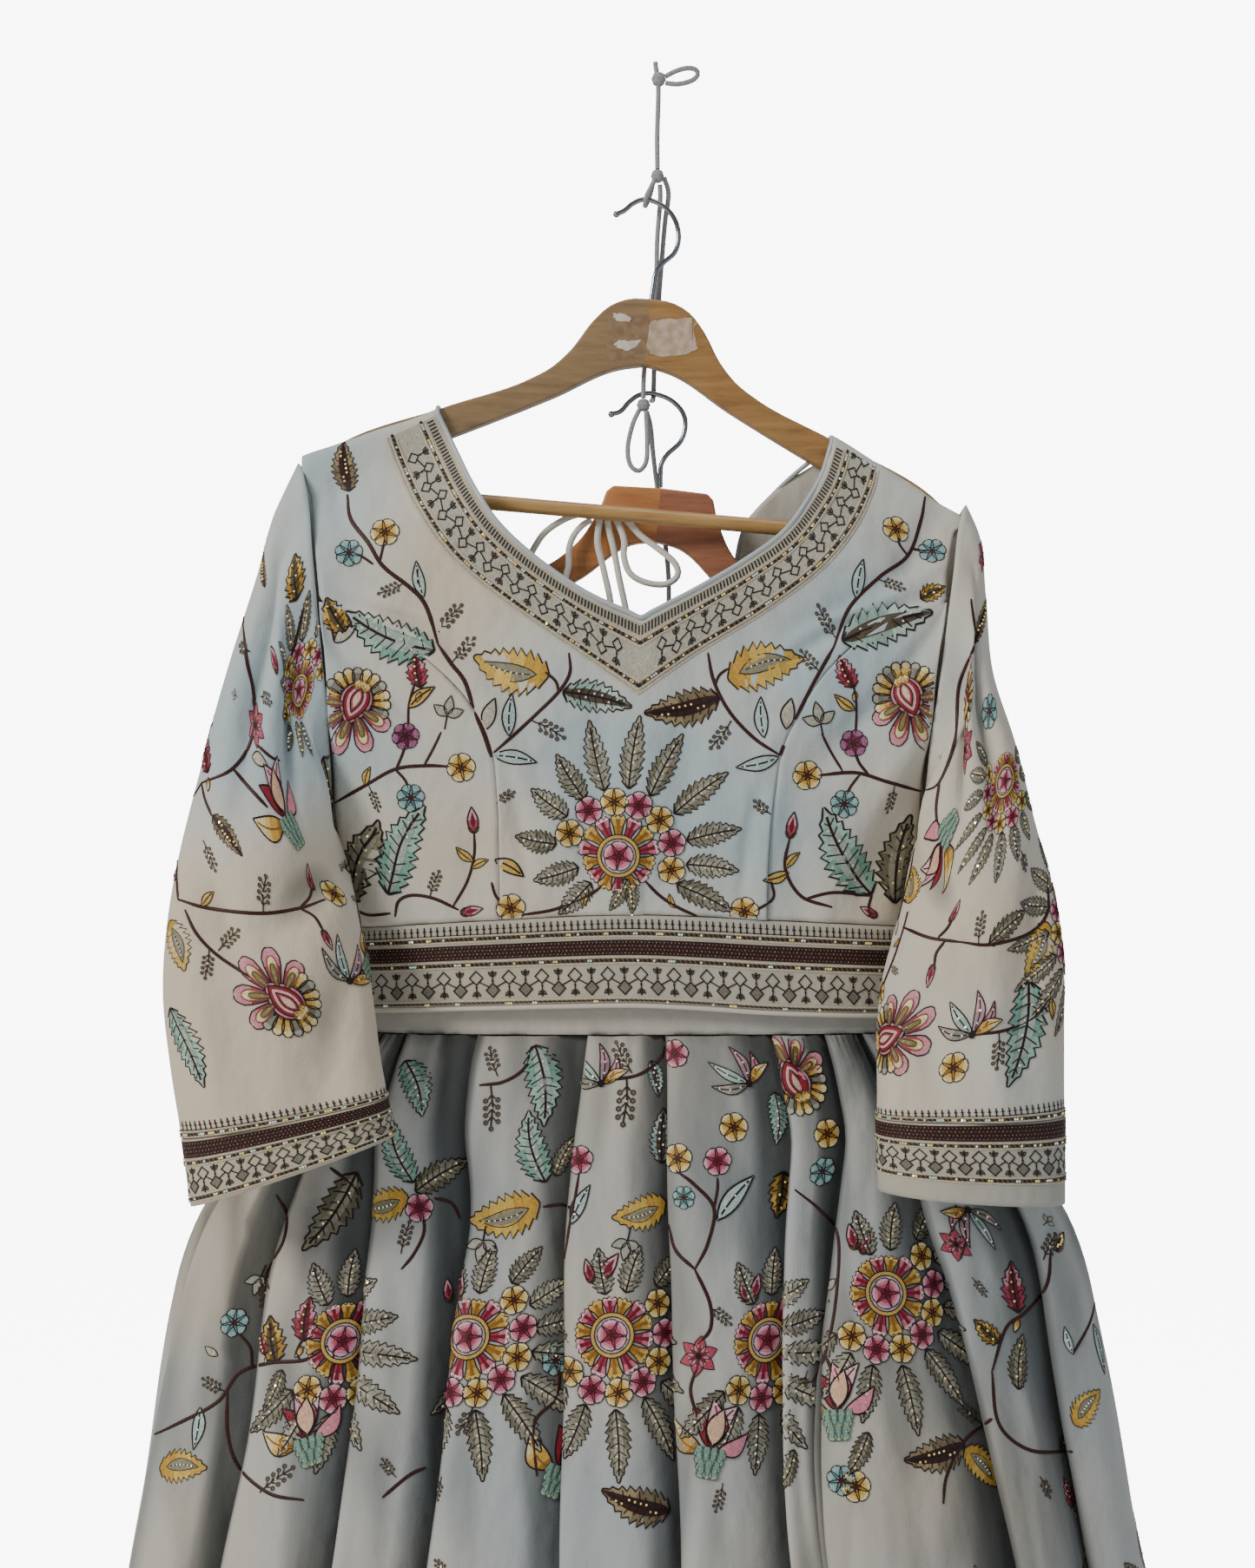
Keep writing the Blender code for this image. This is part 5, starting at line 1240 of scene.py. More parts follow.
def blouse_patches():
    """All the blouse's grids, rows from the top down and columns to the viewer's right."""
    found = {}
    both = [left + right for left, right in zip(front_rows("left")[::-1],
                                                turned(front_rows("right")[::-1]))]
    weights = np.zeros(len(both[0]))
    for column, weight in V_BEND.items():
        weights[column] = weight
    tall = refined(both, PANELS["front"].down, 0, corner=(len(both) - len(PRINCESS), weights), keep=True)
    middle = len(FRONT_SHARES)
    for side, columns in (("left", slice(0, middle)), ("right", slice(middle, None))):
        found["front_" + side] = panel("front", tall[:, columns], FRONT_CREASES[side])
    for side in ("left", "right"):
        right = side == "right"
        rows = turned(side_front_rows(side)[::-1], right)
        found["side_front_" + side] = panel("side_front", rows, SIDE_CREASES[side])
        rows = turned(back_rows(side)[::-1], not right)
        found["back_" + side] = panel("back", rows, BACK_CREASES[side])
        rings = turned([armhole_ring(side)] + [sleeve_ring(ring) for ring in SLEEVES[side]], right)
        creases = SLEEVE_CREASES[side]
        if right:
            creases = [crease._replace(across=1 - crease.across, across_end=1 - crease.across_end)
                       for crease in creases]
        found["sleeve_" + side] = panel("sleeve", [ring + ring[:1] for ring in rings], creases, True)
    weld_front(found["front_left"], found["front_right"])
    return found


def band_patch(rows, down, across, wrap=False):
    grid = refined(rows, down, across)
    return Patch(grid[:, :-1] if wrap else grid, wrap)


# Grids of the bands: points down and across
HEM_DOWN, HEM_FRONT, HEM_BACK, CUFF_ROUND = 18, 150, 80, 121
WAIST_DOWN, WAIST_ROUND = 12, 141


def hem_patches():
    found = {}
    shares = (0.0, 0.33, 0.67, 1.0)
    rows = [band_row("front", share, SEAM_GAP, HEM_ENDS) for share in shares]
    found["hem_band_front"] = band_patch(rows, HEM_DOWN, HEM_FRONT)
    for side, ends in (("left", (HEM_ENDS[0], -BACK_OPENING)), ("right", (BACK_OPENING, HEM_ENDS[1]))):
        rows = [band_row("back", share, SEAM_GAP, ends)[::-1] for share in shares]
        found["hem_band_back_" + side] = band_patch(rows, HEM_DOWN, HEM_BACK)
    for side in ("left", "right"):
        first, last = SLEEVES[side][-1], CUFFS[side]
        outer = math.hypot(first.outer_x - last.outer_x, first.outer_z - last.outer_z)
        inner = math.hypot(first.inner_x - last.inner_x, first.inner_z - last.inner_z)
        start = mixed_ring(first, last, CUFF_GAP / ((outer + inner) / 2.0))
        rings = turned([sleeve_ring(mixed_ring(start, last, share)) for share in shares], side == "right")
        rings = [ring + ring[:1] for ring in rings]
        found["cuff_band_" + side] = band_patch(rings, HEM_DOWN, CUFF_ROUND, True)
    rings = []
    for share in shares:
        ring = []
        for index in range(BAND_SIDES + 1):
            x, y = squared_circle(2.0 * math.pi * index / BAND_SIDES, BAND_SQUARENESS)
            ring.append(Vector((BAND_AT[0] + BAND_HALF_WIDTH * x, BAND_AT[1] + BAND_HALF_DEPTH * y,
                                mix(BAND_TOP, BAND_LOW, share))))
        rings.append(ring)
    found["waistband"] = band_patch(rings, WAIST_DOWN, WAIST_ROUND, True)
    return found


# Coarse levels of the skirt, closer at the waist, and its fine grid
SKIRT_LEVELS = 26
SKIRT_LEVEL_POWER = 1.25
SKIRT_DOWN = 98
FOLD_COLUMNS = 0.0085
# Points of a pleated row this close together count as beside each other
BESIDE = 0.032
SKIRT_TOP, SKIRT_HEM = SKIRT[0].z, SKIRT[-1].z


def skirt_section(z):
    return SkirtRow(z, *[read(SKIRT, z, name) for name in SkirtRow._fields[1:]])


def recess(grid):
    """How deep each point of a pleated grid lies behind the pleats beside it, 0 to 1, which the skirt's finish
    turns into painted shade in the pleats' valleys.
    """
    deep = np.zeros(grid.shape[:2])
    for index, row in enumerate(grid):
        section = skirt_section(row[0, 2])
        off = row[:, :2] - (section.centre_x, section.centre_y)
        shares = np.abs(off / (section.half_width, section.half_depth)) ** section.squareness
        far = shares.sum(axis=1) ** (1.0 / section.squareness)
        near = np.linalg.norm(off[:, None] - off[None], axis=2) < BESIDE
        envelope = np.where(near, far[None], 0.0).max(axis=1)
        deep[index] = (envelope - far) * np.linalg.norm(off, axis=1) / far / section.pleat
    return np.clip(deep, 0.0, 1.0)


# Long ripples of the skirt: length, start, lean on the way down and share
DRAPES = [(0.118, 1.0, 1.9, 0.50), (0.067, 2.7, -3.1, 0.22), (0.29, 1.3, 2.4, 0.55)]


def draped(grid, seed):
    """Gathers under the waistband and long soft ripples that grow down the skirt."""
    below = (SKIRT_TOP - grid[..., 2]) / (SKIRT_TOP - SKIRT_HEM)
    across = distances(grid[-1])[None, :]
    gathers = np.sin(across * 2 * np.pi / 0.026 + 4.0 * np.sin(across * 31.0 + seed))
    push = 0.0016 * np.exp(-below / 0.045) * gathers
    grow = 0.0012 + 0.0066 * below
    for long, start, lean, share in DRAPES:
        push += grow * np.sin(across * 2 * np.pi / long + start * seed + lean * below) * share
    push += 0.0007 * np.sin(grid[..., 2] * 41.0 + across * 23.0 + seed)
    return grid + grid_normals(grid) * push[..., None]


def skirt_patches():
    found = {}
    for turn, (name, face, first, last) in enumerate(SKIRT_GORES):
        rows = []
        for level in range(SKIRT_LEVELS + 1):
            part = (level / SKIRT_LEVELS) ** SKIRT_LEVEL_POWER
            section = skirt_section(mix(SKIRT_TOP, SKIRT_HEM, part))
            rows.append(lead_in(section, face, first) + skirt_row(section, face, first, last))
        grid = refined(rows, SKIRT_DOWN, 0, folds=FOLD_COLUMNS)
        found[name] = Patch(draped(grid, 1.7 * turn + 0.6))
        # how deep the pleats' valleys lie, for the painted shade in them
        found[name].deep = recess(grid)
    return found


RIBBON_DOWN, RIBBON_ACROSS = 90, 4


def ribbon_patch(middle_x):
    """A hanging ribbon loop from inside the waistband over an arm of the lower hanger."""
    half = RIBBON_WIDTH / 2.0
    share = (abs(middle_x - BAND_AT[0]) + half) / BAND_HALF_WIDTH
    walls = (BAND_WALL + RIBBON_WALL) / 2.0
    inside = BAND_HALF_DEPTH * fullness(share, BAND_SQUARENESS) - walls - RIBBON_CLEAR
    clear = (WOOD + RIBBON_WALL) / 2.0 + RIBBON_CLEAR
    columns = []
    for x in (middle_x - half, middle_x, middle_x + half):
        top = arm_top(x, LOWER_TOP, LOWER_AT)
        middle = arm_middle(x, LOWER_TOP, LOWER_AT)
        halfway = (BAND_TOP + top) / 2.0
        path = [
            (BAND_AT[1] - inside, BAND_TOP - RIBBON_TAIL), (BAND_AT[1] - inside, BAND_TOP),
            (middle - clear, halfway), (middle - clear, top - RIBBON_DROP),
            (middle - clear, top - RIBBON_RISE),
            (middle - clear * 0.55, top + 0.75 * RIBBON_RISE), (middle, top + RIBBON_RISE),
            (middle + clear * 0.55, top + 0.75 * RIBBON_RISE), (middle + clear, top - RIBBON_RISE),
            (middle + clear, top - RIBBON_DROP), (middle + clear, halfway),
            (BAND_AT[1] + inside, BAND_TOP), (BAND_AT[1] + inside, BAND_TOP - RIBBON_TAIL),
        ]
        columns.append([Vector((x, y, z)) for y, z in path])
    rows = [list(row) for row in zip(*columns)][::-1]
    return Patch(refined(rows, RIBBON_DOWN, RIBBON_ACROSS))


# Materials


def finish_of(name, values=()):
    """A new material with some of its shader's own sockets set."""
    finish = bpy.data.materials.new(name)
    finish.use_nodes = True
    shader = finish.node_tree.nodes["Principled BSDF"]
    for socket, value in dict(values).items():
        shader.inputs[socket].default_value = value
    return finish, finish.node_tree, shader


def add(tree, kind, links=(), **values):
    """Adds a node, sets its properties and its named inputs, and links its inputs."""
    node = tree.nodes.new(kind)
    for name, value in values.items():
        if name in node.inputs:
            node.inputs[name].default_value = value
        else:
            setattr(node, name, value)
    for name, source in links:
        tree.links.new(source, node.inputs[name])
    return node


def noise(tree, scale, detail=2.0, stretch=(1, 1, 1)):
    """A noise pattern on object coordinates, with its scale per metre."""
    place = add(tree, "ShaderNodeTexCoord")
    turn = add(tree, "ShaderNodeMapping", [("Vector", place.outputs["Object"])])
    turn.inputs["Scale"].default_value = stretch
    return add(tree, "ShaderNodeTexNoise", [("Vector", turn.outputs[0])], Scale=scale, Detail=detail)


def ramp(tree, source, stops):
    node = add(tree, "ShaderNodeValToRGB", [("Fac", source)])
    while len(node.color_ramp.elements) < len(stops):
        node.color_ramp.elements.new(0.5)
    for element, (place, shade) in zip(node.color_ramp.elements, stops):
        element.position = place
        element.color = rgba(shade)
    return node.outputs["Color"]


def multiplied(tree, first, second, share=1.0):
    """Two colours multiplied, the second by a share."""
    node = add(tree, "ShaderNodeMix", data_type="RGBA", blend_type="MULTIPLY")
    node.inputs[0].default_value = share
    tree.links.new(first, node.inputs[6])
    tree.links.new(second, node.inputs[7])
    return node.outputs[2]


def relief(tree, shader, source, distance, strength=0.5):
    node = add(tree, "ShaderNodeBump", [("Height", source)], Strength=strength, Distance=distance)
    tree.links.new(node.outputs[0], shader.inputs["Normal"])


# Painted shade in the troughs of pleats and creases, by how deep each point lies
VALLEY_PAINTED_SHADE = [(0.28, "#FFFFFF"), (0.52, "#C4C6C7"), (0.80, "#969A9C"), (1.0, "#7C8183")]


def georgette(name, stops, roughness, bars=None):
    """Crinkled crepe georgette: a matte, softly mottled cloth with a faint haze of nap."""
    finish, tree, shader = finish_of(name, {
        "Roughness": roughness, "Sheen Weight": 0.25, "Sheen Roughness": 0.5, "Specular IOR Level": 0.25})
    # the mottle's cool blue patches are partly painted light, a bluish cast on the cloth, and partly the cloth's
    # own uneven tone
    patchy = noise(tree, 5.0, 1.5)
    cloth = ramp(tree, patchy.outputs[0], stops)
    if bars:
        # the layers under a sheer skirt show through as upright darker bars
        layers = noise(tree, 27.0, 1.0, (1.0, 1.0, 0.02))
        cloth = multiplied(tree, cloth, ramp(tree, layers.outputs[0], bars))
    # painted shade: the cloth is darkened in the pleats' and creases' troughs, the more the deeper they lie
    valley = add(tree, "ShaderNodeAttribute", attribute_name="deep")
    cloth = multiplied(tree, cloth, ramp(tree, valley.outputs["Fac"], VALLEY_PAINTED_SHADE))
    tree.links.new(cloth, shader.inputs["Base Color"])
    crinkle = noise(tree, 900.0, 3.0, (1, 1, 0.55))
    wrinkles = noise(tree, 34.0, 2.5, (1.0, 1.0, 0.6))
    both = add(tree, "ShaderNodeMath", [("Value", crinkle.outputs[0])], operation="MULTIPLY")
    both.inputs[1].default_value = 0.05
    rough = add(tree, "ShaderNodeMath", operation="ADD")
    tree.links.new(both.outputs[0], rough.inputs[0])
    tree.links.new(wrinkles.outputs[0], rough.inputs[1])
    relief(tree, shader, rough.outputs[0], 0.011, 0.5)
    return finish


def satin(name, shade):
    """Satin binding: a smooth cloth with a soft long highlight."""
    finish, tree, shader = finish_of(name, {
        "Base Color": rgba(shade), "Roughness": 0.36, "Sheen Weight": 0.15})
    fine = noise(tree, 420.0)
    relief(tree, shader, fine.outputs[0], 0.0002, 0.25)
    return finish


def thread(name):
    """Rayon embroidery thread: dyed by the mesh's own colours, with a silky sheen."""
    finish, tree, shader = finish_of(name, {
        "Roughness": 0.55, "Sheen Weight": 0.03, "Specular IOR Level": 0.3})
    dye = add(tree, "ShaderNodeAttribute", attribute_name="dye")
    lay = noise(tree, 1500.0, 2.0, (1, 1, 0.35))
    strands = ramp(tree, lay.outputs[0], [(0.30, "#8C8A88"), (0.62, "#FFFFFF")])
    tree.links.new(multiplied(tree, dye.outputs["Color"], strands, 0.55), shader.inputs["Base Color"])
    relief(tree, shader, lay.outputs[0], 0.00025, 0.5)
    return finish


def glowing_sequin_finish(name):
    """Sequins: thin metallised discs, gold with some that flash pink or aqua, with painted glints: they glow in
    their own dye.
    """
    finish, tree, shader = finish_of(name, {"Metallic": 0.6, "Roughness": 0.25, "Emission Strength": 0.35})
    dye = add(tree, "ShaderNodeAttribute", attribute_name="dye")
    # painted glints: the dye drives the emission as well, so every sequin glows though it is no lamp
    for socket in ("Base Color", "Emission Color"):
        tree.links.new(dye.outputs["Color"], shader.inputs[socket])
    return finish


def timber(name, shades, lean):
    """Varnished beech: long fine grain along the arm, darker pores, a satin lacquer."""
    finish, tree, shader = finish_of(name, {"Roughness": 0.42, "Coat Weight": 0.25, "Coat Roughness": 0.3})
    place = add(tree, "ShaderNodeTexCoord")
    turn = add(tree, "ShaderNodeMapping", [("Vector", place.outputs["Object"])])
    turn.inputs["Rotation"].default_value = (0.0, lean, 0.0)
    turn.inputs["Scale"].default_value = (1.0, 5.0, 9.0)
    grain = add(tree, "ShaderNodeTexNoise", [("Vector", turn.outputs[0])],
                Scale=26.0, Detail=5.0, Roughness=0.62)
    stops = list(zip((0.30, 0.50, 0.72), shades))
    tree.links.new(ramp(tree, grain.outputs[0], stops), shader.inputs["Base Color"])
    pores = add(tree, "ShaderNodeTexNoise", [("Vector", turn.outputs[0])], Scale=130.0, Detail=2.0)
    relief(tree, shader, pores.outputs[0], 0.0002, 0.3)
    return finish


def cotton(name, stops):
    """Twisted cotton cord: matte fibres, with painted shade in the small dips between the strands."""
    finish, tree, shader = finish_of(name, {"Roughness": 0.9})
    strands = noise(tree, 1100.0, 3.0, (1, 1, 0.6))
    # painted shade: the same noise as the bumps darkens the colour where the strands dip
    tree.links.new(ramp(tree, strands.outputs[0], stops), shader.inputs["Base Color"])
    relief(tree, shader, strands.outputs[0], 0.0006, 0.7)
    return finish


def between(tree, source, low, high):
    """A value from 0 to 1 brought between two others."""
    return add(tree, "ShaderNodeMapRange", [("Value", source)], **{"To Min": low, "To Max": high}).outputs[0]


def chrome(name):
    """Polished chrome wire, its mirror a little dulled in patches."""
    finish, tree, shader = finish_of(name, {"Base Color": rgba("#8E949B"), "Metallic": 1.0})
    worn = noise(tree, 160.0)
    tree.links.new(between(tree, worn.outputs[0], 0.12, 0.24), shader.inputs["Roughness"])
    return finish


def paper(name, low, high):
    """What is left of torn paper: matte fibres, thin and thick in patches."""
    finish, tree, shader = finish_of(name, {"Roughness": 0.8})
    fibres = noise(tree, 160.0, 3.0)
    tree.links.new(ramp(tree, fibres.outputs[0], [(0.40, low), (0.60, high)]), shader.inputs["Base Color"])
    return finish


FINISHES = {
    "blouse": georgette("blouse georgette", [(0.34, "#A9B9BE"), (0.48, "#C3C2BA"), (0.62, "#C9BDA8")], 0.88),
    "skirt": georgette("skirt georgette", [(0.34, "#A6ADB0"), (0.50, "#B3B3AF"), (0.66, "#B9B3A7")], 0.92,
                       [(0.38, "#C6C8C8"), (0.46, "#E8E8E7"), (0.54, "#FFFFFF")]),
    "band": georgette("band cloth", [(0.38, "#A3A49D"), (0.50, "#AFAB9D"), (0.62, "#B5AC98")], 0.85),
    "plain": georgette("waistband cloth", [(0.36, "#A4A8A8"), (0.50, "#B3B1AB"), (0.64, "#BAB3A6")], 0.86),
    "satin": satin("satin binding", "#AEB6BA"),
    "piping": satin("cream piping", "#C4BEB0"),
    "thread": thread("embroidery thread"),
    "sequins": glowing_sequin_finish("sequins"),
    "upper_left": timber("upper hanger left", ("#776044", "#8A7150", "#957D5E"), 0.47),
    "upper_right": timber("upper hanger right", ("#7E5A30", "#96703F", "#A27C4A"), -0.47),
    "bar": timber("upper hanger bar", ("#9C7440", "#B08A52", "#BD9860"), 0.09),
    "lower_left": timber("lower hanger left", ("#A4683A", "#BA7C47", "#C68A54"), 0.5),
    "lower_right": timber("lower hanger right", ("#85523A", "#9A6246", "#A87052"), -0.5),
    "chrome": chrome("hook chrome"),
    "grey": cotton("grey cotton cord", [(0.30, "#7C7E7F"), (0.55, "#9A9C9C"), (0.75, "#ABADAC")]),
    "white": cotton("white tie cord", [(0.25, "#C9C6BE"), (0.50, "#DEDBD3"), (0.75, "#E8E5DE")]),
    "stain": paper("paste stain", "#7C6348", "#8C7458"),
    "paper": paper("torn paper", "#A58E78", "#B9A596"),
    "scrap": paper("paper scrap", "#BDB4A8", "#D0C8BE"),
}


# Hangers, hooks and cords


def smooth_outline(points, count):
    places = distances(points)
    fine = hermite(points[:, None, :], places, np.linspace(0.0, places[-1], count))
    return fine[:, 0]


# Points of the lower hanger's top with straight runs between
ANGULAR = 4


def straight_outline(points, count):
    places = distances(points)
    wanted = np.linspace(0.0, places[-1], count)
    return np.stack([np.interp(wanted, places, points[:, axis]) for axis in (0, 1)], axis=1)


# Torn paper left on the upper hanger's front, in the photo's pixels
RESIDUE = [
    ("stain", [(700, 364), (806, 368), (804, 376), (760, 380), (757, 408), (706, 416), (696, 410),
               (699, 388)]),
    ("paper", [(745, 371), (762, 368), (795, 366), (802, 362), (803, 372), (799, 377), (801, 394),
               (803, 402), (790, 408), (764, 411), (748, 408), (744, 396), (746, 384)]),
    ("scrap", [(705, 361), (716, 361), (727, 367), (724, 371), (709, 369)]),
    ("scrap", [(707, 396), (714, 391), (724, 393), (738, 391), (733, 399), (722, 404), (712, 401)]),
]


# How far the torn paper and its stain stand off the wood
STAIN_OFF, PAPER_OFF = 0.00012, 0.00030


def build_residue(halves):
    """Torn paper and its stain on the joint of the upper hanger, a little over the wood."""
    points, quads = [], []
    for half in halves:
        mesh = half.data
        quads.extend(tuple(len(points) + index for index in face.vertices) for face in mesh.polygons)
        points.extend(vert.co.copy() for vert in mesh.vertices)
    tree = BVHTree.FromPolygons(points, quads)
    for number, (kind, outline) in enumerate(RESIDUE):
        shape = bmesh.new()
        torn = []
        for (px, py), (next_px, next_py) in zip(outline, outline[1:] + outline[:1]):
            for step in range(4):
                share = step / 4.0
                jag = 0.9 * math.sin(px * 1.7 + py * 2.3 + step * 2.6) * (step > 0)
                torn.append((px + (next_px - px) * share + jag, py + (next_py - py) * share - jag))
        corners = []
        for px, py in torn:
            way = sight(px, py)
            spot = tree.ray_cast(EYE, way)[0]
            if spot is not None:
                corners.append(shape.verts.new(spot - way * (STAIN_OFF if kind == "stain" else PAPER_OFF)))
        shape.faces.new(corners)
        bmesh.ops.triangulate(shape, faces=shape.faces)
        bmesh.ops.subdivide_edges(shape, edges=shape.edges, cuts=1)
        bmesh.ops.recalc_face_normals(shape, faces=shape.faces)
        if sum((face.normal for face in shape.faces), Vector()).y > 0.0:
            bmesh.ops.reverse_faces(shape, faces=shape.faces)
        mesh = from_shape(kind, shape, False)
        show("residue_%d" % number, mesh, FINISHES[kind], (), "wood_upper")


# Rounding of a plank's rims, where the flat face of the middle joint ends, the distance
# at which two points are one, and the angle from which an edge is sharp
RIM = 0.0018
JOINT_FACE = 0.0019
SAME = 0.00001
SHARP_FROM = math.radians(38.0)


def hanger_half(name, side, top, low, at, finish, slot, angular=False):
    """Half of a wooden hanger: a smooth outline sawn from a plank, its rims rounded, swept forward."""
    outer = np.array([(point.x, point.z) for point in top])
    inner = np.array([(point.x, point.z) for point in low])
    arm = smooth_outline(outer, 46)
    if angular:
        # the lower hanger has a flat top with hardly rounded corners
        arm = np.concatenate([straight_outline(outer[:ANGULAR], 24),
                              smooth_outline(outer[ANGULAR - 1:], 40)[1:]])
    outline = np.concatenate([arm, smooth_outline(inner, 60)])
    board = bpy.data.curves.new(name, "CURVE")
    board.dimensions = "2D"
    board.fill_mode = "BOTH"
    board.extrude = WOOD / 2.0 - RIM
    board.bevel_depth = RIM
    board.bevel_resolution = 3
    board.offset = -RIM
    spline = board.splines.new("POLY")
    spline.points.add(len(outline) - 1)
    for point, (x, z) in zip(spline.points, outline):
        point.co = (x, z, 0.0, 1.0)
    spline.use_cyclic_u = True
    mesh = baked(linked(name + "_board", board))
    shape = bmesh.new()
    shape.from_mesh(mesh)
    bmesh.ops.remove_doubles(shape, verts=shape.verts, dist=SAME)
    sign = -1.0 if side == "left" else 1.0
    for vert in shape.verts:
        # the sawn face of the middle joint stays flat
        x = vert.co.x if vert.co.x > JOINT_FACE else 0.0
        z, y = vert.co.y, vert.co.z
        world_x, world_z = rolled(sign * (x - SEAM_GAP / 4.0), z, at)
        vert.co = (world_x, at[1] + y - SWEEP * x, world_z)
    bmesh.ops.remove_doubles(shape, verts=shape.verts, dist=SAME)
    bmesh.ops.recalc_face_normals(shape, faces=shape.faces)
    if shape.calc_volume(signed=True) < 0.0:
        bmesh.ops.reverse_faces(shape, faces=shape.faces)
    shape.to_mesh(mesh)
    shape.free()
    mesh.shade_smooth()
    mesh.set_sharp_from_angle(angle=SHARP_FROM)
    return show("shown_" + name, mesh, finish, [name], slot)


def tube(name, points, diameter, finish, nodes=(), slot=None, roundness=3):
    """A round cord, wire or piping through points, as a curve with its own thickness."""
    line = bpy.data.curves.new(name, "CURVE")
    line.dimensions = "3D"
    line.bevel_depth = diameter / 2.0
    line.bevel_resolution = roundness
    line.use_fill_caps = True
    line.twist_mode = "MINIMUM"
    spline = line.splines.new("POLY")
    spline.points.add(len(points) - 1)
    for point, place in zip(spline.points, points):
        point.co = (*place, 1.0)
    spline.use_smooth = True
    line.materials.append(finish)
    return show(name, line, None, nodes, slot)


def route_length(points):
    return sum((Vector(last) - Vector(first)).length for first, last in zip(points, points[1:]))


def knot(name, at, halves, finish, node, slot, turns=3):
    """A tied knot: a lump with the cord's own turns round it."""
    shape = bmesh.new()
    bmesh.ops.create_uvsphere(shape, u_segments=28, v_segments=18, radius=1.0)
    for vert in shape.verts:
        direction = vert.co.copy()
        angle = math.atan2(direction.y, direction.x)
        swell = 1.0 - 0.10 * (0.5 - 0.5 * math.cos(turns * math.pi * direction.z + math.sin(angle)))
        vert.co = Vector(at) + Vector([half * part * swell for half, part in zip(halves, direction)])
    return show(name, from_shape(name, shape), finish, [node], slot)


# Spacing of points along the hooks, the cords and the edges
HOOK_STEP, GREY_STEP, DORI_STEP, BINDING_STEP, PIPING_STEP = 0.0016, 0.0022, 0.0030, 0.0020, 0.0024
TIP_SWELL = 1.35


def build_hangers():
    halves = []
    for side in ("left", "right"):
        halves.append(hanger_half("hanger_upper_" + side, side, UPPER_TOP, UPPER_LOW, UPPER_AT,
                                  FINISHES["upper_" + side], "wood_upper"))
        hanger_half("hanger_lower_" + side, side, LOWER_TOP, LOWER_LOW, LOWER_AT,
                    FINISHES["lower_" + side], "wood_lower", True)
    build_residue(halves)
    ends = []
    for x in (-BAR_REACH, BAR_REACH):
        across, up = rolled(x, -BAR_BELOW, UPPER_AT)
        ends.append(Vector((across, UPPER_AT[1] - SWEEP * BAR_LOBE_X, up)))
    tube("shown_hanger_bar", ends, 2.0 * BAR_R, FINISHES["bar"], ["hanger_upper_bar"], "wood_upper", 8)
    for name, wire, at in (("hanger_upper_hook", UPPER_HOOK, UPPER_AT),
                           ("hanger_lower_hook", LOWER_HOOK, LOWER_AT)):
        route = smooth_route([(x, at[1], z) for x, z in wire], HOOK_STEP)
        tube("shown_" + name, route, 2.0 * HOOK_R, FINISHES["chrome"], [name], "steel", 6)
        tip = bmesh.new()
        bmesh.ops.create_uvsphere(tip, u_segments=16, v_segments=10, radius=HOOK_R * TIP_SWELL)
        bmesh.ops.translate(tip, verts=tip.verts, vec=route[0])
        ball = from_shape(name + "_tip", tip)
        show("shown_" + name + "_tip", ball, FINISHES["chrome"], (), "steel")


# Lengths of grey cord: the CAD nodes that each stands for, its knots and its far end
GreyCord = namedtuple("GreyCord", "name nodes knots end")
GREY_CORDS = table(GreyCord, [
    ("grey_cord_top", ["cord_tail_top", "cord_upper"], ["cord_knot_top", "cord_knot_second"], "knot"),
    ("grey_bow_top", ["cord_bow_top"], [], "object"),
    ("grey_hook_sling", ["cord_hook_sling"], [], "object"),
    ("grey_drop_left", ["cord_drop_left"], ["cord_knot_lower"], "knot"),
    ("grey_drop_right", ["cord_drop_right"], [], "object"),
    ("grey_bow_lower", ["cord_bow_lower"], [], "object"),
    ("grey_tail_lower", ["cord_tail_lower"], [], "bare"),
])
# A knot of the grey cord is shown a little larger than its solid, across and up
KNOT_SWELL = (1.12, 1.08)


def build_cords():
    for cord in GREY_CORDS:
        route = []
        for name in cord.nodes:
            part = GREY_ROUTES[name]
            route.extend(part[::-1] if name == "cord_tail_top" else part)
        points = smooth_route(route, GREY_STEP)
        piece = tube(cord.name, points, GREY_D, FINISHES["grey"], cord.nodes, "grey_cord", 4)
        with_pieces = []
        for tied in KNOTS:
            if tied.name in cord.knots:
                halves = (tied.half_width * KNOT_SWELL[0], tied.half_width,
                          tied.half_height * KNOT_SWELL[1])
                with_pieces.append(knot("shown_" + tied.name, (tied.x, tied.y, tied.z), halves,
                                        FINISHES["grey"], tied.name, "grey_cord"))
        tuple(points[0])
        route_length(points)
    ends = {"dori_end_left": "dori_end_knot_left", "dori_end_right": "dori_end_knot_right"}
    tied_knot = knot("shown_dori_knot", DORI_KNOT, DORI_KNOT_HALF, FINISHES["white"], "dori_knot",
                     "white_cord")
    for name, route in DORI_ROUTES.items():
        points = smooth_route(route, DORI_STEP)
        piece = tube("white_" + name, points, DORI_D, FINISHES["white"], [name], "white_cord", 4)
        with_pieces = [tied_knot] if name == "dori_loop" else []
        for tied in DORI_END_KNOTS:
            if tied.name == ends.get(name):
                with_pieces.append(knot("shown_" + tied.name, (tied.x, tied.y, tied.z),
                                        (tied.half_width, tied.half_width, tied.half_height),
                                        FINISHES["white"], tied.name, "white_cord"))
        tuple(points[0])
        route_length(points)


# Embroidery: motifs are drawn flat in millimetres, then laid on the cloth

DARK = "#1A090A"
# Vine thread: one maroon, painted lighter and darker for light and shade on its twisted stitches
ROPE_LIT_AND_SHADED = ("#431C18", "#290E0D")
GOLD, SILVER, AQUA = "#F0D48A", "#D9D9D2", "#BFE3E0"
dice = np.random.default_rng(6)


def ray(reach, turn, high=None):
    """A place at a distance and a direction in degrees, on a circle or an ellipse."""
    high = reach if high is None else high
    return reach * math.cos(math.radians(turn)), high * math.sin(math.radians(turn))


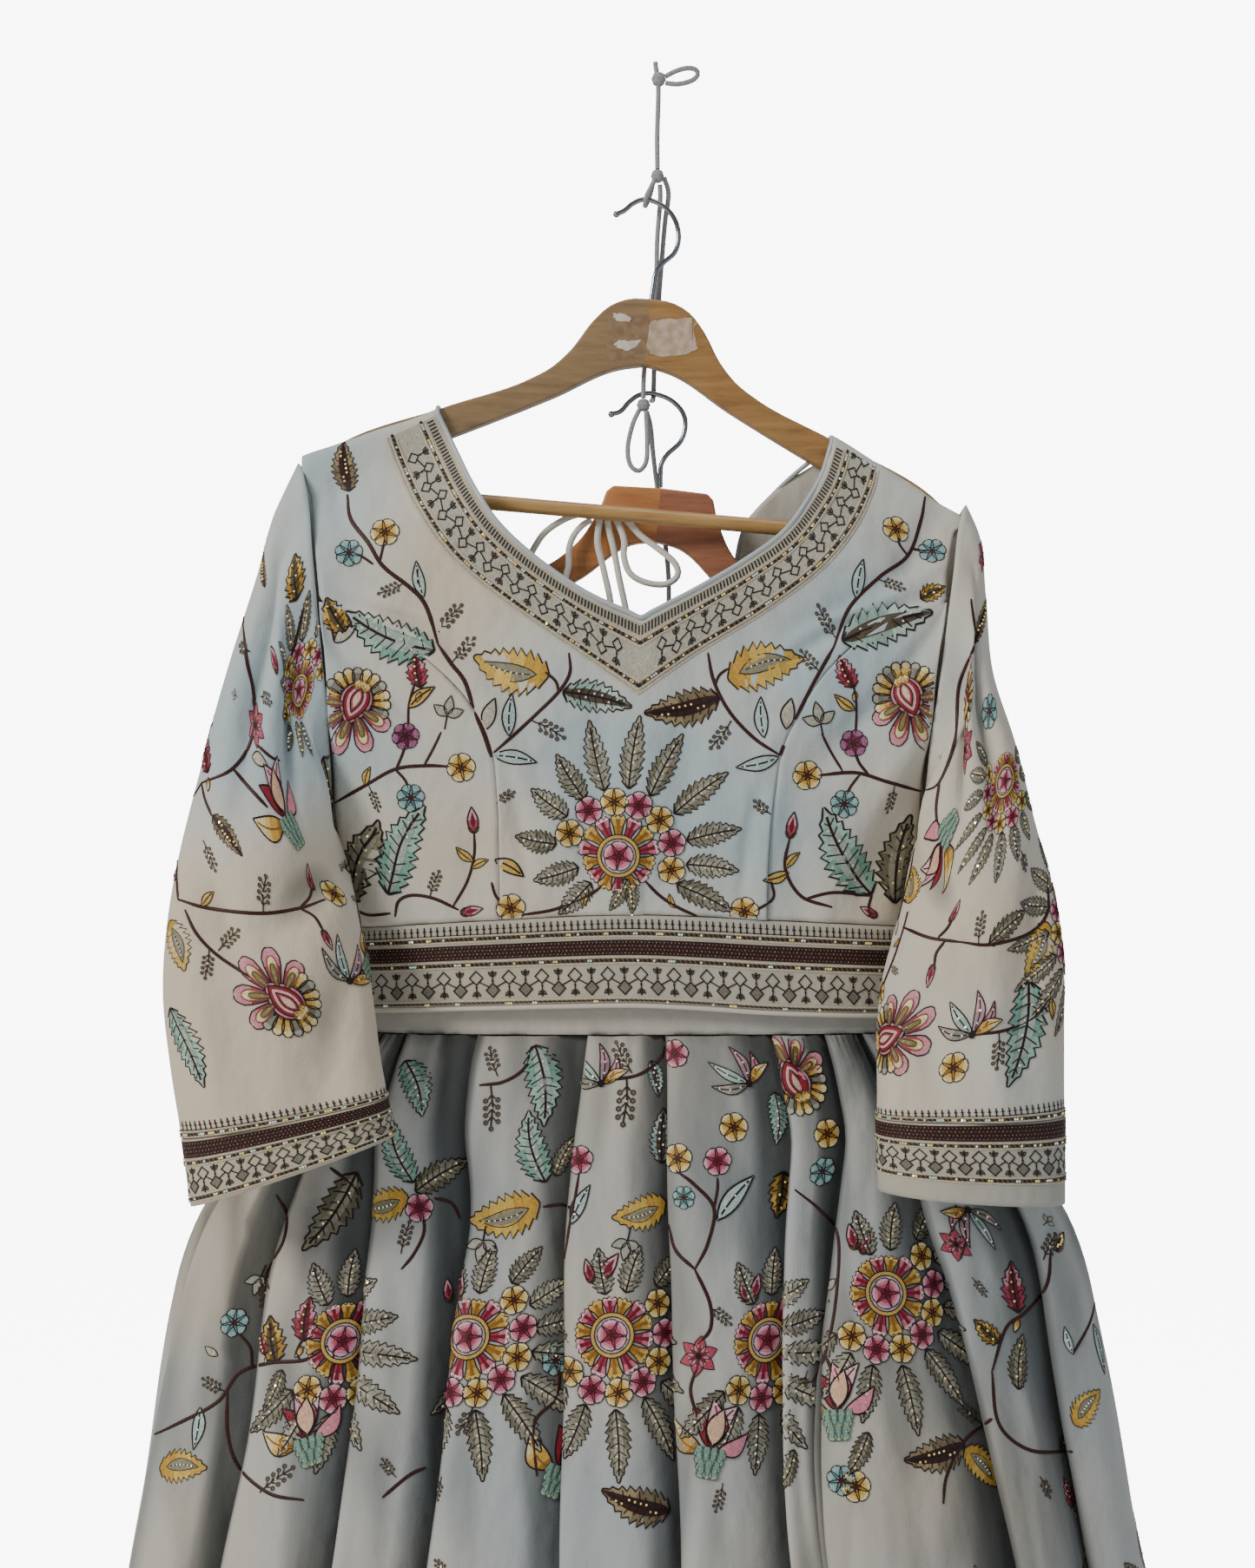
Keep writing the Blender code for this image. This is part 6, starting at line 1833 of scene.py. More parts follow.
class Motif:
    """A flat drawing in millimetres: strips of thread that rise over the cloth, and sequins."""

    def __init__(self):
        self.flat, self.rise, self.quads, self.dye, self.sequins = [], [], [], [], []
        self.count = 0

    def strip(self, first, last, dye, rise=0.25, crown=0.0, columns=1, streak=0.08):
        """Thread between two lines of points. dye is one colour, or a list from start to end."""
        share = np.linspace(0.0, 1.0, columns + 1)
        first, last = np.asarray(first, dtype=float), np.asarray(last, dtype=float)
        flat = first[:, None] * (1.0 - share[:, None]) + last[:, None] * share[:, None]
        self.flat.append(flat.reshape(-1, 2))
        self.rise.append(np.tile(rise + crown * 4.0 * share * (1.0 - share), len(first)))
        self.quads.append(grid_quads(len(first), columns + 1, self.count))
        self.count += len(first) * (columns + 1)
        rows = len(first) - 1
        dyes = [dye] if isinstance(dye, str) else dye
        picked = np.array([linear(each) for each in dyes])
        index = np.minimum((np.arange(rows) * len(dyes)) // max(rows, 1), len(dyes) - 1)
        lights = 1.0 + streak * dice.uniform(-1.0, 1.0, (rows, columns, 1))
        self.dye.append((picked[index][:, None] * lights).reshape(-1, 3))
        return self

    def line(self, points, width, dye=DARK, rise=0.45, crown=0.0, columns=1, closed=False, streak=0.08):
        points = np.asarray(points, dtype=float)
        if closed:
            points = np.concatenate([points, points[:1]])
            before, after = np.roll(points[:-1], 1, axis=0), np.roll(points[:-1], -1, axis=0)
            run = np.concatenate([after - before, (after - before)[:1]])
        else:
            run = np.gradient(points, axis=0)
        run = run / np.maximum(np.linalg.norm(run, axis=1, keepdims=True), 1e-9)
        side = np.stack([-run[:, 1], run[:, 0]], axis=1) * width / 2.0
        return self.strip(points - side, points + side, dye, rise, crown, columns, streak)

    def ring(self, inner, outer, dye, rise=0.25, steps=14, crown=0.0, columns=1, at=(0.0, 0.0)):
        turn = np.linspace(0.0, 2.0 * np.pi, steps + 1)
        edge = np.stack([np.cos(turn), np.sin(turn)], axis=1)
        return self.strip(at + edge * inner, at + edge * outer, dye, rise, crown, columns)

    def sequin(self, x, y, size=1.5, dye=GOLD):
        self.sequins.append((x, y, size, dye))
        return self

    def add(self, other, at=(0.0, 0.0), turn=0.0, size=1.0, lift=0.0):
        """Draws another motif here, turned by degrees."""
        cosine, sine = math.cos(math.radians(turn)), math.sin(math.radians(turn))
        spin = np.array([[cosine, sine], [-sine, cosine]]) * size
        for flat, rise, quads, dye in zip(other.flat, other.rise, other.quads, other.dye):
            self.flat.append(flat @ spin + np.asarray(at))
            self.rise.append(rise + lift)
            self.dye.append(dye)
        self.quads.extend(quads + self.count for quads in other.quads)
        self.count += other.count
        for x, y, wide, dye in other.sequins:
            spot = np.array([x, y]) @ spin + np.asarray(at)
            self.sequins.append((spot[0], spot[1], wide * min(size, 1.15), dye))
        return self

    def drawing(self):
        return (np.concatenate(self.flat), np.concatenate(self.rise), np.concatenate(self.quads),
                np.concatenate(self.dye), self.sequins)


def petal(length, width, dye, tip=0.25, foot=0.30, outline=DARK, heart=None, line=0.8, start=0.0):
    """A rounded petal from its foot at 0, 0 out along +x, with a darker heart."""
    along_x = start + (length - start) * np.array([0.0, 0.26, 0.52, 0.74, 0.92, 1.0])
    half = width / 2.0 * np.array([foot, 0.68, 0.92, 1.0, 0.72, tip])
    left, right = np.stack([along_x, half], axis=1), np.stack([along_x, -half], axis=1)
    drawn = Motif().strip(left, right, dye, 0.25, 0.30, 2)
    if heart:
        drawn.strip(left[:2] * (1.0, 0.30), right[:2] * (1.0, 0.30), heart, 0.60)
    return drawn.line(np.concatenate([left, right[::-1]]), line, outline, 0.50)


def lens(length, width, dye, outline=DARK, rib=DARK, bend=0.0, line=0.75, sequins=0, rib_dye=None, steps=8,
         shine=GOLD, full=1.0):
    """A smooth pointed leaf or petal, bent to one side."""
    part = np.linspace(0.0, 1.0, steps + 1)
    middle = np.stack([part * length, bend * length * np.sin(np.pi * part)], axis=1)
    half = np.stack([np.zeros_like(part), width / 2.0 * np.sin(np.pi * part ** 0.85) ** full], axis=1)
    drawn = Motif()
    if dye:
        drawn.strip(middle + half, middle - half, dye, 0.22, 0.25, 2)
    if outline:
        drawn.line(np.concatenate([middle + half, (middle - half)[::-1]]), line, outline, 0.45)
    if rib:
        drawn.line(middle[1:-1], line, rib_dye or rib, 0.62)
    for share in np.linspace(0.25, 0.8, sequins) if sequins else ():
        drawn.sequin(share * length, bend * length * math.sin(math.pi * share), 1.4, shine)
    return drawn


def leaf(length, width, body, core=None, teeth=8, bend=0.05, outline=DARK, sequins=5, shine=GOLD,
         rib=DARK, core_share=0.40, line=0.85):
    """A serrated leaf: outlined teeth, a stitched margin, and a core with a rib and sequins."""
    places, reach = [0.0], [0.0]
    for tooth in range(teeth):
        valley, peak = (tooth + 0.08) / teeth, (tooth + 0.80 + 0.12 * (tooth % 2)) / teeth
        places += [valley, peak]
        reach += [0.70 + 0.05 * (tooth % 2), 1.08]
    places, reach = np.array(places + [1.0]), np.array(reach + [0.0])
    swell = width / 2.0 * np.sin(np.pi * np.clip(places, 0.0, 1.0) ** 0.74) ** 0.75
    middle = np.stack([places * length, bend * length * np.sin(np.pi * places)], axis=1)
    edge = np.stack([np.zeros_like(places), swell * np.maximum(reach, 0.0)], axis=1)
    inner = np.stack([np.zeros_like(places), swell * core_share], axis=1)
    inner[[0, -1]] = 0.0
    drawn = Motif()
    for side in (1.0, -1.0):
        if body:
            drawn.strip(middle + side * inner, middle + side * edge, body, 0.25, 0.0, 1, 0.12)
        drawn.line(middle + side * edge, line, outline, 0.42)
    if core:
        drawn.strip((middle + inner)[1:-1], (middle - inner)[1:-1], core, 0.42, 0.15, 2, 0.16)
    if rib:
        drawn.line(middle[1:-1:2], line * 1.3, rib, 0.62)
        for step in range(1, teeth):
            spot = middle[2 * step - 1]
            for side in (1.0, -1.0):
                reach_out = edge[2 * step] * side * (0.72 if (step + int(side > 0)) % 2 else 0.5)
                drawn.line([spot, middle[2 * step] * 0.8 + spot * 0.2 + reach_out], line * 0.62, rib, 0.58)
    for share in np.linspace(0.22, 0.78, sequins) if sequins else ():
        wobble = width * 0.08 * (1.0 if int(share * 97) % 2 else -1.0)
        drawn.sequin(share * length, bend * length * math.sin(math.pi * share) + wobble, 1.6, shine)
    return drawn


def daisy(radius, dye, petals=8, heart=DARK):
    drawn = Motif()
    for index in range(petals):
        drawn.add(petal(radius, radius * 1.80 * math.sin(math.pi / petals), dye, 0.28, 0.50, DARK,
                        heart, 0.66, radius * 0.16), turn=360.0 * index / petals + 11.0)
    return drawn.ring(0.1, radius * 0.20, heart, 0.7, 8)


def star_flower(radius, dyes, petals=6, heart="#6A2A33"):
    drawn = Motif()
    for index in range(petals):
        turn = 360.0 * index / petals + 20.0
        drawn.add(lens(radius, radius * 0.62, dyes, DARK, None, 0.0, 0.55), turn=turn)
        drawn.add(lens(radius * 0.55, radius * 0.2, heart, None, None), turn=turn, lift=0.3)
    return drawn.ring(0.1, radius * 0.16, DARK, 0.8, 8)


def tulip(length, width, dyes, heart):
    """A short blunt petal with three points."""
    left = np.array([(0.0, 0.40), (0.45, 0.66), (0.76, 1.0), (0.94, 0.72), (0.84, 0.34), (1.0, 0.0)])
    left = left * (length, width / 2.0)
    right = left * (1.0, -1.0)
    drawn = Motif().strip(left, right, dyes, 0.25, 0.25, 2)
    drawn.strip(left[:3] * (1.0, 0.28), right[:3] * (1.0, 0.28), heart, 0.6)
    return drawn.line(np.concatenate([left, right[::-1]]), 0.75)


PINKS = ["#861E3A", "#B8506C", "#CF8096", "#E2B0BC", "#E2B0BC"]
CRIMSONS = ["#A32C46", "#CE7486", "#F0C8CE", "#F0C8CE", "#F0C8CE"]
YELLOWS = ["#A9782A", "#CDA24A", "#DDBE70", "#E9DAA2", "#E9DAA2"]


# Long leaves of the big flower: direction, where they start and where they end
BURST_LEAVES = [
    (81, 45, 94), (102, 44, 92), (62, 45, 91), (121, 44, 79), (142, 43, 73), (169, 42, 70), (196, 28, 59),
    (224, 26, 56), (37, 46, 91), (12, 46, 83), (-8, 45, 80), (-27, 43, 84),
]
BURST_DAISIES = [155, 123, 94, 68, 41, 13, -16]


def starburst():
    """The big flower: a ringed centre, tulip petals, an arc of daisies and long grey leaves."""
    drawn = Motif()
    for index, (turn, start, end) in enumerate(BURST_LEAVES):
        body = (["#858272", "#9B998B"], ["#989686", "#ADAC9F"], ["#757260", "#8E8B79"])[index % 3]
        drawn.add(leaf(end - start, 15.5, body, ["#A09F92", "#8A8878"][index % 2], 9, 0.02, sequins=5,
                       shine=(GOLD, SILVER)[index % 2]), ray(start, turn), turn)
    for index in range(14):
        turn = 360.0 * (index + 0.5) / 14
        long = 14.5 if turn < 190.0 else 11.0
        dyes, heart = ((CRIMSONS, "#6E1428"), (YELLOWS, "#8A6420"))[index % 2]
        drawn.add(tulip(long, 10.4, dyes, heart), ray(13.6, turn), turn)
    for index, turn in enumerate(BURST_DAISIES):
        dyes, heart = ((YELLOWS, "#3A1C0C"), (PINKS, "#4A0A1A"))[index % 2]
        drawn.add(daisy(9.2, dyes, 6, heart), ray(36.0, turn), 25.0 * index, lift=0.35)
    drawn.ring(11.6, 14.4, "#C9A654", 0.6, 26, 0.4, 2)
    drawn.ring(11.2, 11.9, DARK, 0.9, 26).ring(14.0, 14.6, DARK, 0.9, 26)
    drawn.ring(8.0, 11.4, "#D3C6CE", 0.35, 22)
    return drawn.add(daisy(9.8, PINKS, 5, "#4E0A1C"), lift=0.3)


def medallion():
    """An almond centre in crimson and pink rings, small petals behind and large ones in front."""
    drawn = Motif()
    for index in range(5):
        turn = -78.0 + 39.0 * index
        long = 19.0 + 6.0 * math.cos(math.radians(turn))
        at = ray(9.0, turn, 7.0)
        drawn.add(petal(long, 12.0, ["#A83E58", "#CF8C98", "#D9A0AC"], 0.40, 0.4, DARK), at, turn)
        drawn.add(petal(long * 0.78, 6.8, YELLOWS, 0.35, 0.4, "#8A4550"), at, turn, lift=0.3)
        heart = petal(long * 0.58, 3.6, "#8A7A50", 0.35, 0.4, "#5A4A30")
        drawn.add(heart.sequin(5.0, 0.0).sequin(8.0, 0.0), at, turn, lift=0.55)
    for index in range(11):
        turn = 88.0 + 184.0 * index / 10.0
        x, y = ray(9.5, turn, 9.0)
        dye = YELLOWS if index % 3 else ["#7E7C70", "#A9A89A"]
        drawn.add(petal(14.0, 7.4, dye, 0.4, 0.5, DARK, "#7A5A24" if index % 3 else DARK), (x - 2.0, y), turn)
    drawn.add(lens(31.0, 21.0, "#D390A0", DARK, None, steps=10, full=0.8), (-17.0, 0.0), lift=0.5)
    drawn.add(lens(27.0, 16.5, "#8C1F33", DARK, None, steps=10, full=0.8), (-15.5, 0.0), lift=0.9)
    drawn.add(lens(22.0, 11.6, "#DBAAA8", None, None, steps=10, full=0.8), (-13.5, 0.0), lift=1.1)
    drawn.add(lens(17.0, 7.4, "#A03A50", DARK, None), (-11.5, 0.0), lift=1.25)
    drawn.add(lens(12.0, 4.2, "#DBC2A8", None, None), (-9.5, 0.0), lift=1.4)
    for turn in (-26.0, 0.0, 26.0):
        drawn.add(petal(8.5, 6.0, YELLOWS, 0.35, 0.4, "#8A6420"), (-8.5, 0.0), 180.0 + turn, lift=1.0)
    return drawn


def lotus():
    """A half-open flower: flame petals over a scaled cup, one petal laid out to a side."""
    drawn = Motif()
    drawn.add(lens(22.0, 11.0, YELLOWS, DARK, "#8A5A24", 0.16), (-3.0, -2.0), 148.0)
    drawn.add(lens(20.0, 8.0, "#8C1F33", DARK, None, -0.10), (0.0, 0.0), 118.0)
    drawn.add(lens(24.0, 10.0, CRIMSONS, DARK, "#6E1428", 0.10), (0.0, 1.0), 60.0, lift=0.25)
    drawn.add(lens(23.0, 11.0, PINKS, DARK, "#8C1F33", -0.12), (1.0, 0.0), 96.0, lift=0.4)
    drawn.add(lens(18.0, 9.0, "#E0B79A", DARK, None, 0.06), (1.5, 1.5), 80.0, lift=0.7)
    drawn.add(lens(19.0, 8.0, "#D98A9B", DARK, None, -0.15), (4.0, -1.0), 35.0, lift=0.5)
    for row in range(4):
        wide = 15.0 - 2.0 * row
        y = -1.0 - 3.2 * row
        for index in range(4 - row // 2):
            x = -wide / 2.0 + wide * (index + 0.5) / (4 - row // 2) + 1.0
            drawn.add(petal(5.0, 4.6, ["#7E9C8E", "#A8B89C"], 0.5, 0.6, "#3C5A50", None, 0.4),
                      (x, y + 1.5), -90.0, lift=0.6 + 0.1 * row)
    return drawn


def lily():
    """Three or four long pointed petals and a yellow one, on a dark cup."""
    drawn = Motif()
    for turn, long, dye, bend in (
            (58.0, 27.0, ["#A88A96", "#D2A3AC"], -0.12), (95.0, 30.0, ["#A9C4BF", "#C7D9D3"], 0.05),
            (128.0, 26.0, ["#8E8C80", "#B6A9A4"], 0.12), (25.0, 22.0, ["#D2A3AC", "#C98394"], -0.2)):
        drawn.add(lens(long, 7.0, dye, DARK, DARK, bend, sequins=3, shine=SILVER), (0.0, 0.0), turn, lift=0.1)
    drawn.add(lens(19.0, 7.5, YELLOWS, DARK, "#8A5A24", 0.1), (1.0, -1.0), -12.0, lift=0.3)
    drawn.ring(0.1, 2.6, DARK, 0.9, 8)
    return drawn


def sprig(long=16.0, pairs=4, wide=5.5):
    """A thin stem with pairs of tiny leaves."""
    drawn = Motif().line([(0.0, 0.0), (long * 0.5, 0.8), (long, 0.0)], 0.7, "#33261C")
    for index in range(pairs):
        x = long * (0.24 + 0.72 * index / pairs)
        for side in (1.0, -1.0):
            drawn.line([(x - 0.4, 0.4), (x + 1.3, 0.4 + side * wide * 0.26)], 0.55, "#33261C")
            drawn.ring(0.35, 1.15, "#4A3E32", 0.45, 6, at=(x + 1.9, 0.4 + side * wide * 0.44))
    return drawn.ring(0.35, 1.15, "#4A3E32", 0.45, 6, at=(long + 1.0, 0.0)).sequin(long * 0.55, 0.5, 1.3)


def four_leaf(long=11.0):
    drawn = Motif().line([(0.0, 0.0), (long * 0.6, 0.0)], 0.7)
    for turn, size in ((0.0, 1.0), (62.0, 0.85), (-62.0, 0.85)):
        drawn.add(lens(long * 0.8 * size, 4.2, "#A8A89C", DARK, None, 0.0, 0.5), (long * 0.55, 0.0), turn)
    return drawn


def bud(long=13.0, dyes=("#8C1F33", "#C98394")):
    """A closed bud in two shades, with small leaves at its foot."""
    drawn = Motif().add(lens(long, 6.0, list(dyes), DARK, None, 0.0))
    drawn.add(lens(long * 0.6, 2.4, "#6E1428", None, None), (long * 0.2, 0.0), lift=0.4)
    for turn in (38.0, -38.0):
        drawn.add(lens(5.0, 2.0, "#6E5B3A", DARK, None, 0.0, 0.4, steps=4), (0.0, 0.0), turn)
    return drawn


def plume(long=26.0):
    """A pink leaf with flame teeth and a dark heart."""
    drawn = leaf(long, 15.0, ["#A03A50", "#D290A0"], ["#6E1428"], 6, 0.06, shine=GOLD, sequins=4)
    return drawn.add(lens(long * 0.3, 4.0, YELLOWS, DARK, None), (-3.0, 0.0), 150.0)


def mustard_leaf():
    """A gold satin leaf with an outlined olive almond in its middle."""
    drawn = leaf(42.0, 24.5, ["#C39A40", "#DAB75C", "#CCA84E"], None, 9, 0.06, sequins=0, rib=None,
                 core_share=0.0)
    almond = lens(29.0, 9.4, "#8F8B74", DARK, DARK, 0.08, 0.5, sequins=6, shine=SILVER)
    return drawn.add(almond, (6.5, 1.2))


MOTIFS = {
    "mustard_leaf": mustard_leaf,
    "small_gold": lambda: leaf(20.0, 13.0, ["#A9822E", "#CFA94E"], ["#5A4A26"], 6, 0.04, sequins=3),
    "teal_leaf": lambda: leaf(42.0, 18.0, ["#7BA799", "#9CC0B3"], ["#A2B2A8"], 10, 0.07, sequins=5,
                              shine=SILVER),
    "aqua_leaf": lambda: leaf(36.0, 16.0, ["#98B4AC", "#B9CEC6"], ["#4E4436"], 9, 0.04, sequins=6,
                              shine=SILVER),
    "grey_leaf": lambda: leaf(36.0, 15.0, ["#6A6652", "#86836E"], ["#8E8C7C"], 9, 0.05, sequins=5),
    "dark_leaf": lambda: leaf(38.0, 18.0, ["#7A6C52", "#988868"], ["#331410"], 9, 0.05, sequins=8),
    "pale_leaf": lambda: lens(22.0, 7.0, "#B4CDCB", DARK, DARK, 0.04, sequins=3, shine=SILVER),
    "cream_leaf": lambda: lens(15.0, 6.5, "#B9B6A6", DARK, None, 0.04, sequins=1),
    "yellow_leaf": lambda: lens(15.0, 6.0, "#CFAE58", DARK, DARK, 0.06),
    "yellow_daisy": lambda: daisy(9.6, YELLOWS, 6, "#3A1C0C"),
    "aqua_daisy": lambda: daisy(9.2, ["#6E9C9E", "#8DB6B6", "#B4D0D0"], 7, "#3A1016"),
    "pink_daisy": lambda: daisy(9.3, PINKS, 6, "#4E0A1C"),
    "lilac_daisy": lambda: daisy(8.9, ["#7A2E4E", "#9A5C84", "#B68CAE"], 6, "#36101F"),
    "star": lambda: star_flower(13.0, ["#C98394", "#B04A5E"]),
    "starburst": starburst,
    "medallion": medallion,
    "lotus": lambda: Motif().add(lotus(), size=1.3),
    "lily": lily,
    "sprig": sprig,
    "small_sprig": lambda: sprig(11.0, 3, 4.6),
    "four_leaf": four_leaf,
    "bud": bud,
    "pink_bud": lambda: bud(15.0, ("#B04A5E", "#D9A0AD")),
    "plume": plume,
}
# Length of a motif along its own x axis, for those that are drawn to a tip
LONG = {
    "medallion": 52.0, "mustard_leaf": 42.0, "small_gold": 20.0, "teal_leaf": 42.0, "aqua_leaf": 36.0,
    "grey_leaf": 36.0, "dark_leaf": 38.0, "pale_leaf": 22.0, "cream_leaf": 15.0, "yellow_leaf": 15.0,
    "sprig": 18.0, "small_sprig": 13.0, "four_leaf": 14.0, "bud": 13.0, "pink_bud": 15.0, "plume": 26.0,
}
drawn_motifs = {}


def motif(name):
    if name not in drawn_motifs:
        drawn_motifs[name] = MOTIFS[name]().drawing()
    return drawn_motifs[name]


class Sewing:
    """All the thread and sequins on one piece of cloth."""

    def __init__(self):
        self.points, self.quads, self.dye, self.count = [], [], [], 0
        self.sequins = []

    def sew(self, drawing, lay, stretch=2.2):
        """Lays a flat drawing. lay turns flat millimetres into points, normals and what is inside."""
        flat, rise, quads, dye, sequins = drawing
        spots, normals, inside = lay(flat)
        points = spots + normals * rise[:, None] * MM
        keep = inside[quads].all(axis=1)
        for first, last in ((0, 2), (1, 3)):
            far = np.linalg.norm(points[quads[:, first]] - points[quads[:, last]], axis=1)
            flat_far = np.linalg.norm(flat[quads[:, first]] - flat[quads[:, last]], axis=1) * MM
            keep &= far < flat_far * stretch + 0.0012
        self.take(points, normals, quads[keep], dye[keep])
        if sequins:
            spots, normals, inside = lay(np.array([(x, y) for x, y, _, _ in sequins]))
            for spot, normal, fits, (_, _, size, shade) in zip(spots, normals, inside, sequins):
                if fits:
                    self.sequins.append((spot + normal * 0.0009, normal, size, shade))

    def take(self, points, normals, quads, dye):
        """Keeps quads of thread, turned so that they face away from the cloth."""
        corners = points[quads]
        facing = np.cross(corners[:, 2] - corners[:, 0], corners[:, 3] - corners[:, 1])
        wrong = np.einsum("ij,ij->i", facing, normals[quads[:, 0]]) < 0.0
        quads = np.where(wrong[:, None], quads[:, ::-1], quads)
        self.points.append(points)
        self.quads.append(quads + self.count)
        self.dye.append(dye)
        self.count += len(points)

    def piece(self, name, slot):
        """The thread as one mesh with its dyes."""
        points, quads = np.concatenate(self.points), np.concatenate(self.quads)
        used = np.unique(quads)
        place = np.zeros(len(points), dtype=int)
        place[used] = np.arange(len(used))
        mesh = new_mesh(name, points[used], place[quads])
        dyes = mesh.attributes.new("dye", "FLOAT_COLOR", "CORNER")
        colours = np.concatenate([np.concatenate(self.dye), np.ones((len(quads), 1))], axis=1)
        dyes.data.foreach_set("color", np.repeat(colours, 4, axis=0).astype(np.float32).ravel())
        return show(name, mesh, FINISHES["thread"], (), slot)


def on_patch(patch, row, column, turn, size=1.0):
    """Lays flat drawings along a patch's own cloth from a place on it."""
    cosine, sine = math.cos(turn), math.sin(turn)

    def lay(flat):
        x = (flat[:, 0] * cosine - flat[:, 1] * sine) * size * MM
        y = (flat[:, 0] * sine + flat[:, 1] * cosine) * size * MM
        return patch.place(row, column, x, -y)
    return lay


def on_plane(region, spot, normal, right, size=1.0):
    """Lays flat drawings straight back on to the cloth from the plane that touches it at a spot."""
    normal = normal.normalized()
    right = (right - normal * right.dot(normal)).normalized()
    up = normal.cross(right)

    def lay(flat):
        start = np.array(spot + normal * 0.02)
        points = start + (flat[:, :1] * np.array(right) + flat[:, 1:] * np.array(up)) * size * MM
        return region.drop(points, -normal)
    return lay


def pixel_on_plane(px, py, spot, normal):
    """Where the plane that touches the cloth at a spot shows a pixel of the photo."""
    way = sight(px, py)
    return EYE + way * ((spot - EYE).dot(normal) / way.dot(normal))


def sew_seen(sewing, region, name, px, py, tip=None, size=1.0, follow=False):
    """Sews a motif where the photo shows it. tip is the pixel that its +x axis reaches."""
    hit = region.seen(px, py)
    if hit is None:
        return
    spot, normal, face = hit
    smooth = region.smooth(face).normalized()
    if smooth.dot(normal) > 0.3:
        normal = smooth
    if tip is None:
        tip = (px + 40.0, py)
    elif isinstance(tip, (int, float)):
        tip = (px + 40.0 * math.cos(math.radians(tip)), py - 40.0 * math.sin(math.radians(tip)))
    else:
        length = math.hypot(tip[0] - px, tip[1] - py) * PIXEL / MM
        size *= length / LONG.get(name, length)
    run = pixel_on_plane(*tip, spot, normal) - spot
    if not follow:
        sewing.sew(motif(name), on_plane(region, spot, normal, run, size))
        return
    patch, row, column = region.locate(face, spot)
    base = int(min(column, patch.points.shape[1] - 2))
    level = int(min(row, patch.points.shape[0] - 1))
    right = Vector(patch.points[level, base + 1] - patch.points[level, base])
    right = (right - normal * right.dot(normal)).normalized()
    turn = math.atan2(run.dot(normal.cross(right)), run.dot(right))
    sewing.sew(motif(name), on_patch(patch, row, column, turn, size))


def rope(points, normals, width=2.4):
    """Rows of a vine of padded satin stitch through points on the cloth."""
    run = np.gradient(points, axis=0)
    run /= np.maximum(np.linalg.norm(run, axis=1, keepdims=True), 1e-9)
    side = np.cross(normals, run) * width * MM / 2.0
    taper = np.minimum(1.0, np.linspace(0.0, 3.0, len(points)) + 0.55)[:, None]
    taper = np.minimum(taper, taper[::-1])
    side = side * taper
    rows = [points - side + normals * 0.00020, points + normals * 0.00075, points + side + normals * 0.00020]
    return np.stack(rows, axis=1)


def sew_rope(sewing, points, normals, width=2.4):
    grid = rope(points, normals, width)
    # every other half stitch takes the darker maroon: painted shade between the rope's twists
    dye = np.array([linear(ROPE_LIT_AND_SHADED[(row + column) % 2])
                    for row in range(len(points) - 1) for column in range(2)])
    sewing.take(grid.reshape(-1, 3), np.repeat(normals, 3, axis=0), grid_quads(len(points), 3), dye)


def sew_vine(sewing, region, pixels, width=2.4, step=1.5):
    """Sews a vine along a line of the photo's pixels."""
    route = smooth_route([(px, 0.0, py) for px, py in pixels], step / (PIXEL / MM))
    hits = [region.seen(point.x, point.z) for point in route]
    run = []
    for hit in hits + [None]:
        if hit is not None and (not run or (hit[0] - run[-1][0]).length < 0.011):
            run.append((hit[0], region.smooth(hit[2]).normalized()))
            continue
        if len(run) > 2:
            points, normals = (np.array(each) for each in zip(*run))
            sew_rope(sewing, points, normals, width)
        run = [(hit[0], region.smooth(hit[2]).normalized())] if hit else []


# Borders: x runs along the band, y down from its edge is negative

CREAM, CLOTH_GREY = "#C9BFA8", "#7A766A"


def ticks(drawn, length, top, low, pitch):
    """A row of stitches across the band, each with two barbs and a knot."""
    for index in range(int(length / pitch)):
        x = (index + 0.5) * pitch + 0.12 * math.sin(index * 2.3)
        drawn.line([(x, -top), (x, -low)], 0.85)
        middle = (top + low) / 2.0
        if low - top > 5.2:
            drawn.line([(x - 1.25, -middle), (x + 1.25, -middle)], 0.7)
            drawn.strip([(x - 0.6, -low + 0.2), (x - 0.5, -low - 0.8)],
                        [(x + 0.6, -low + 0.2), (x + 0.5, -low - 0.8)], DARK, 0.5)
    drawn.line([(x, -low - 0.4) for x in np.arange(0.0, length, 6.0)], 0.5)
    return drawn


def chain(drawn, length, y, sequins=15.0, pale=1.9):
    """A chain-stitch line between two cream cords, with sequins here and there."""
    places = np.arange(0.0, length, 1.6)
    for side in (-1.0, 1.0):
        drawn.line([(x, -y + side * pale) for x in np.arange(0.0, length, 5.0)], 1.3, CREAM, 0.25, 0.75, 2)
    links = [(x, -y + 0.18 * (-1) ** index) for index, x in enumerate(places)]
    drawn.line(links, 1.9, [("#1E0F0C", "#5A4A34")[index % 2] for index in range(len(places))], 0.42, 0.35, 2)
    count = int(length / sequins)
    for index in range(count):
        x = (index + dice.uniform(0.1, 0.9)) * sequins
        run = 1 + int(dice.uniform(0.0, 2.4))
        for step in range(run):
            drawn.sequin(x + 1.7 * step, -y, 1.7, (GOLD, SILVER, GOLD, AQUA)[index % 4])
    return drawn


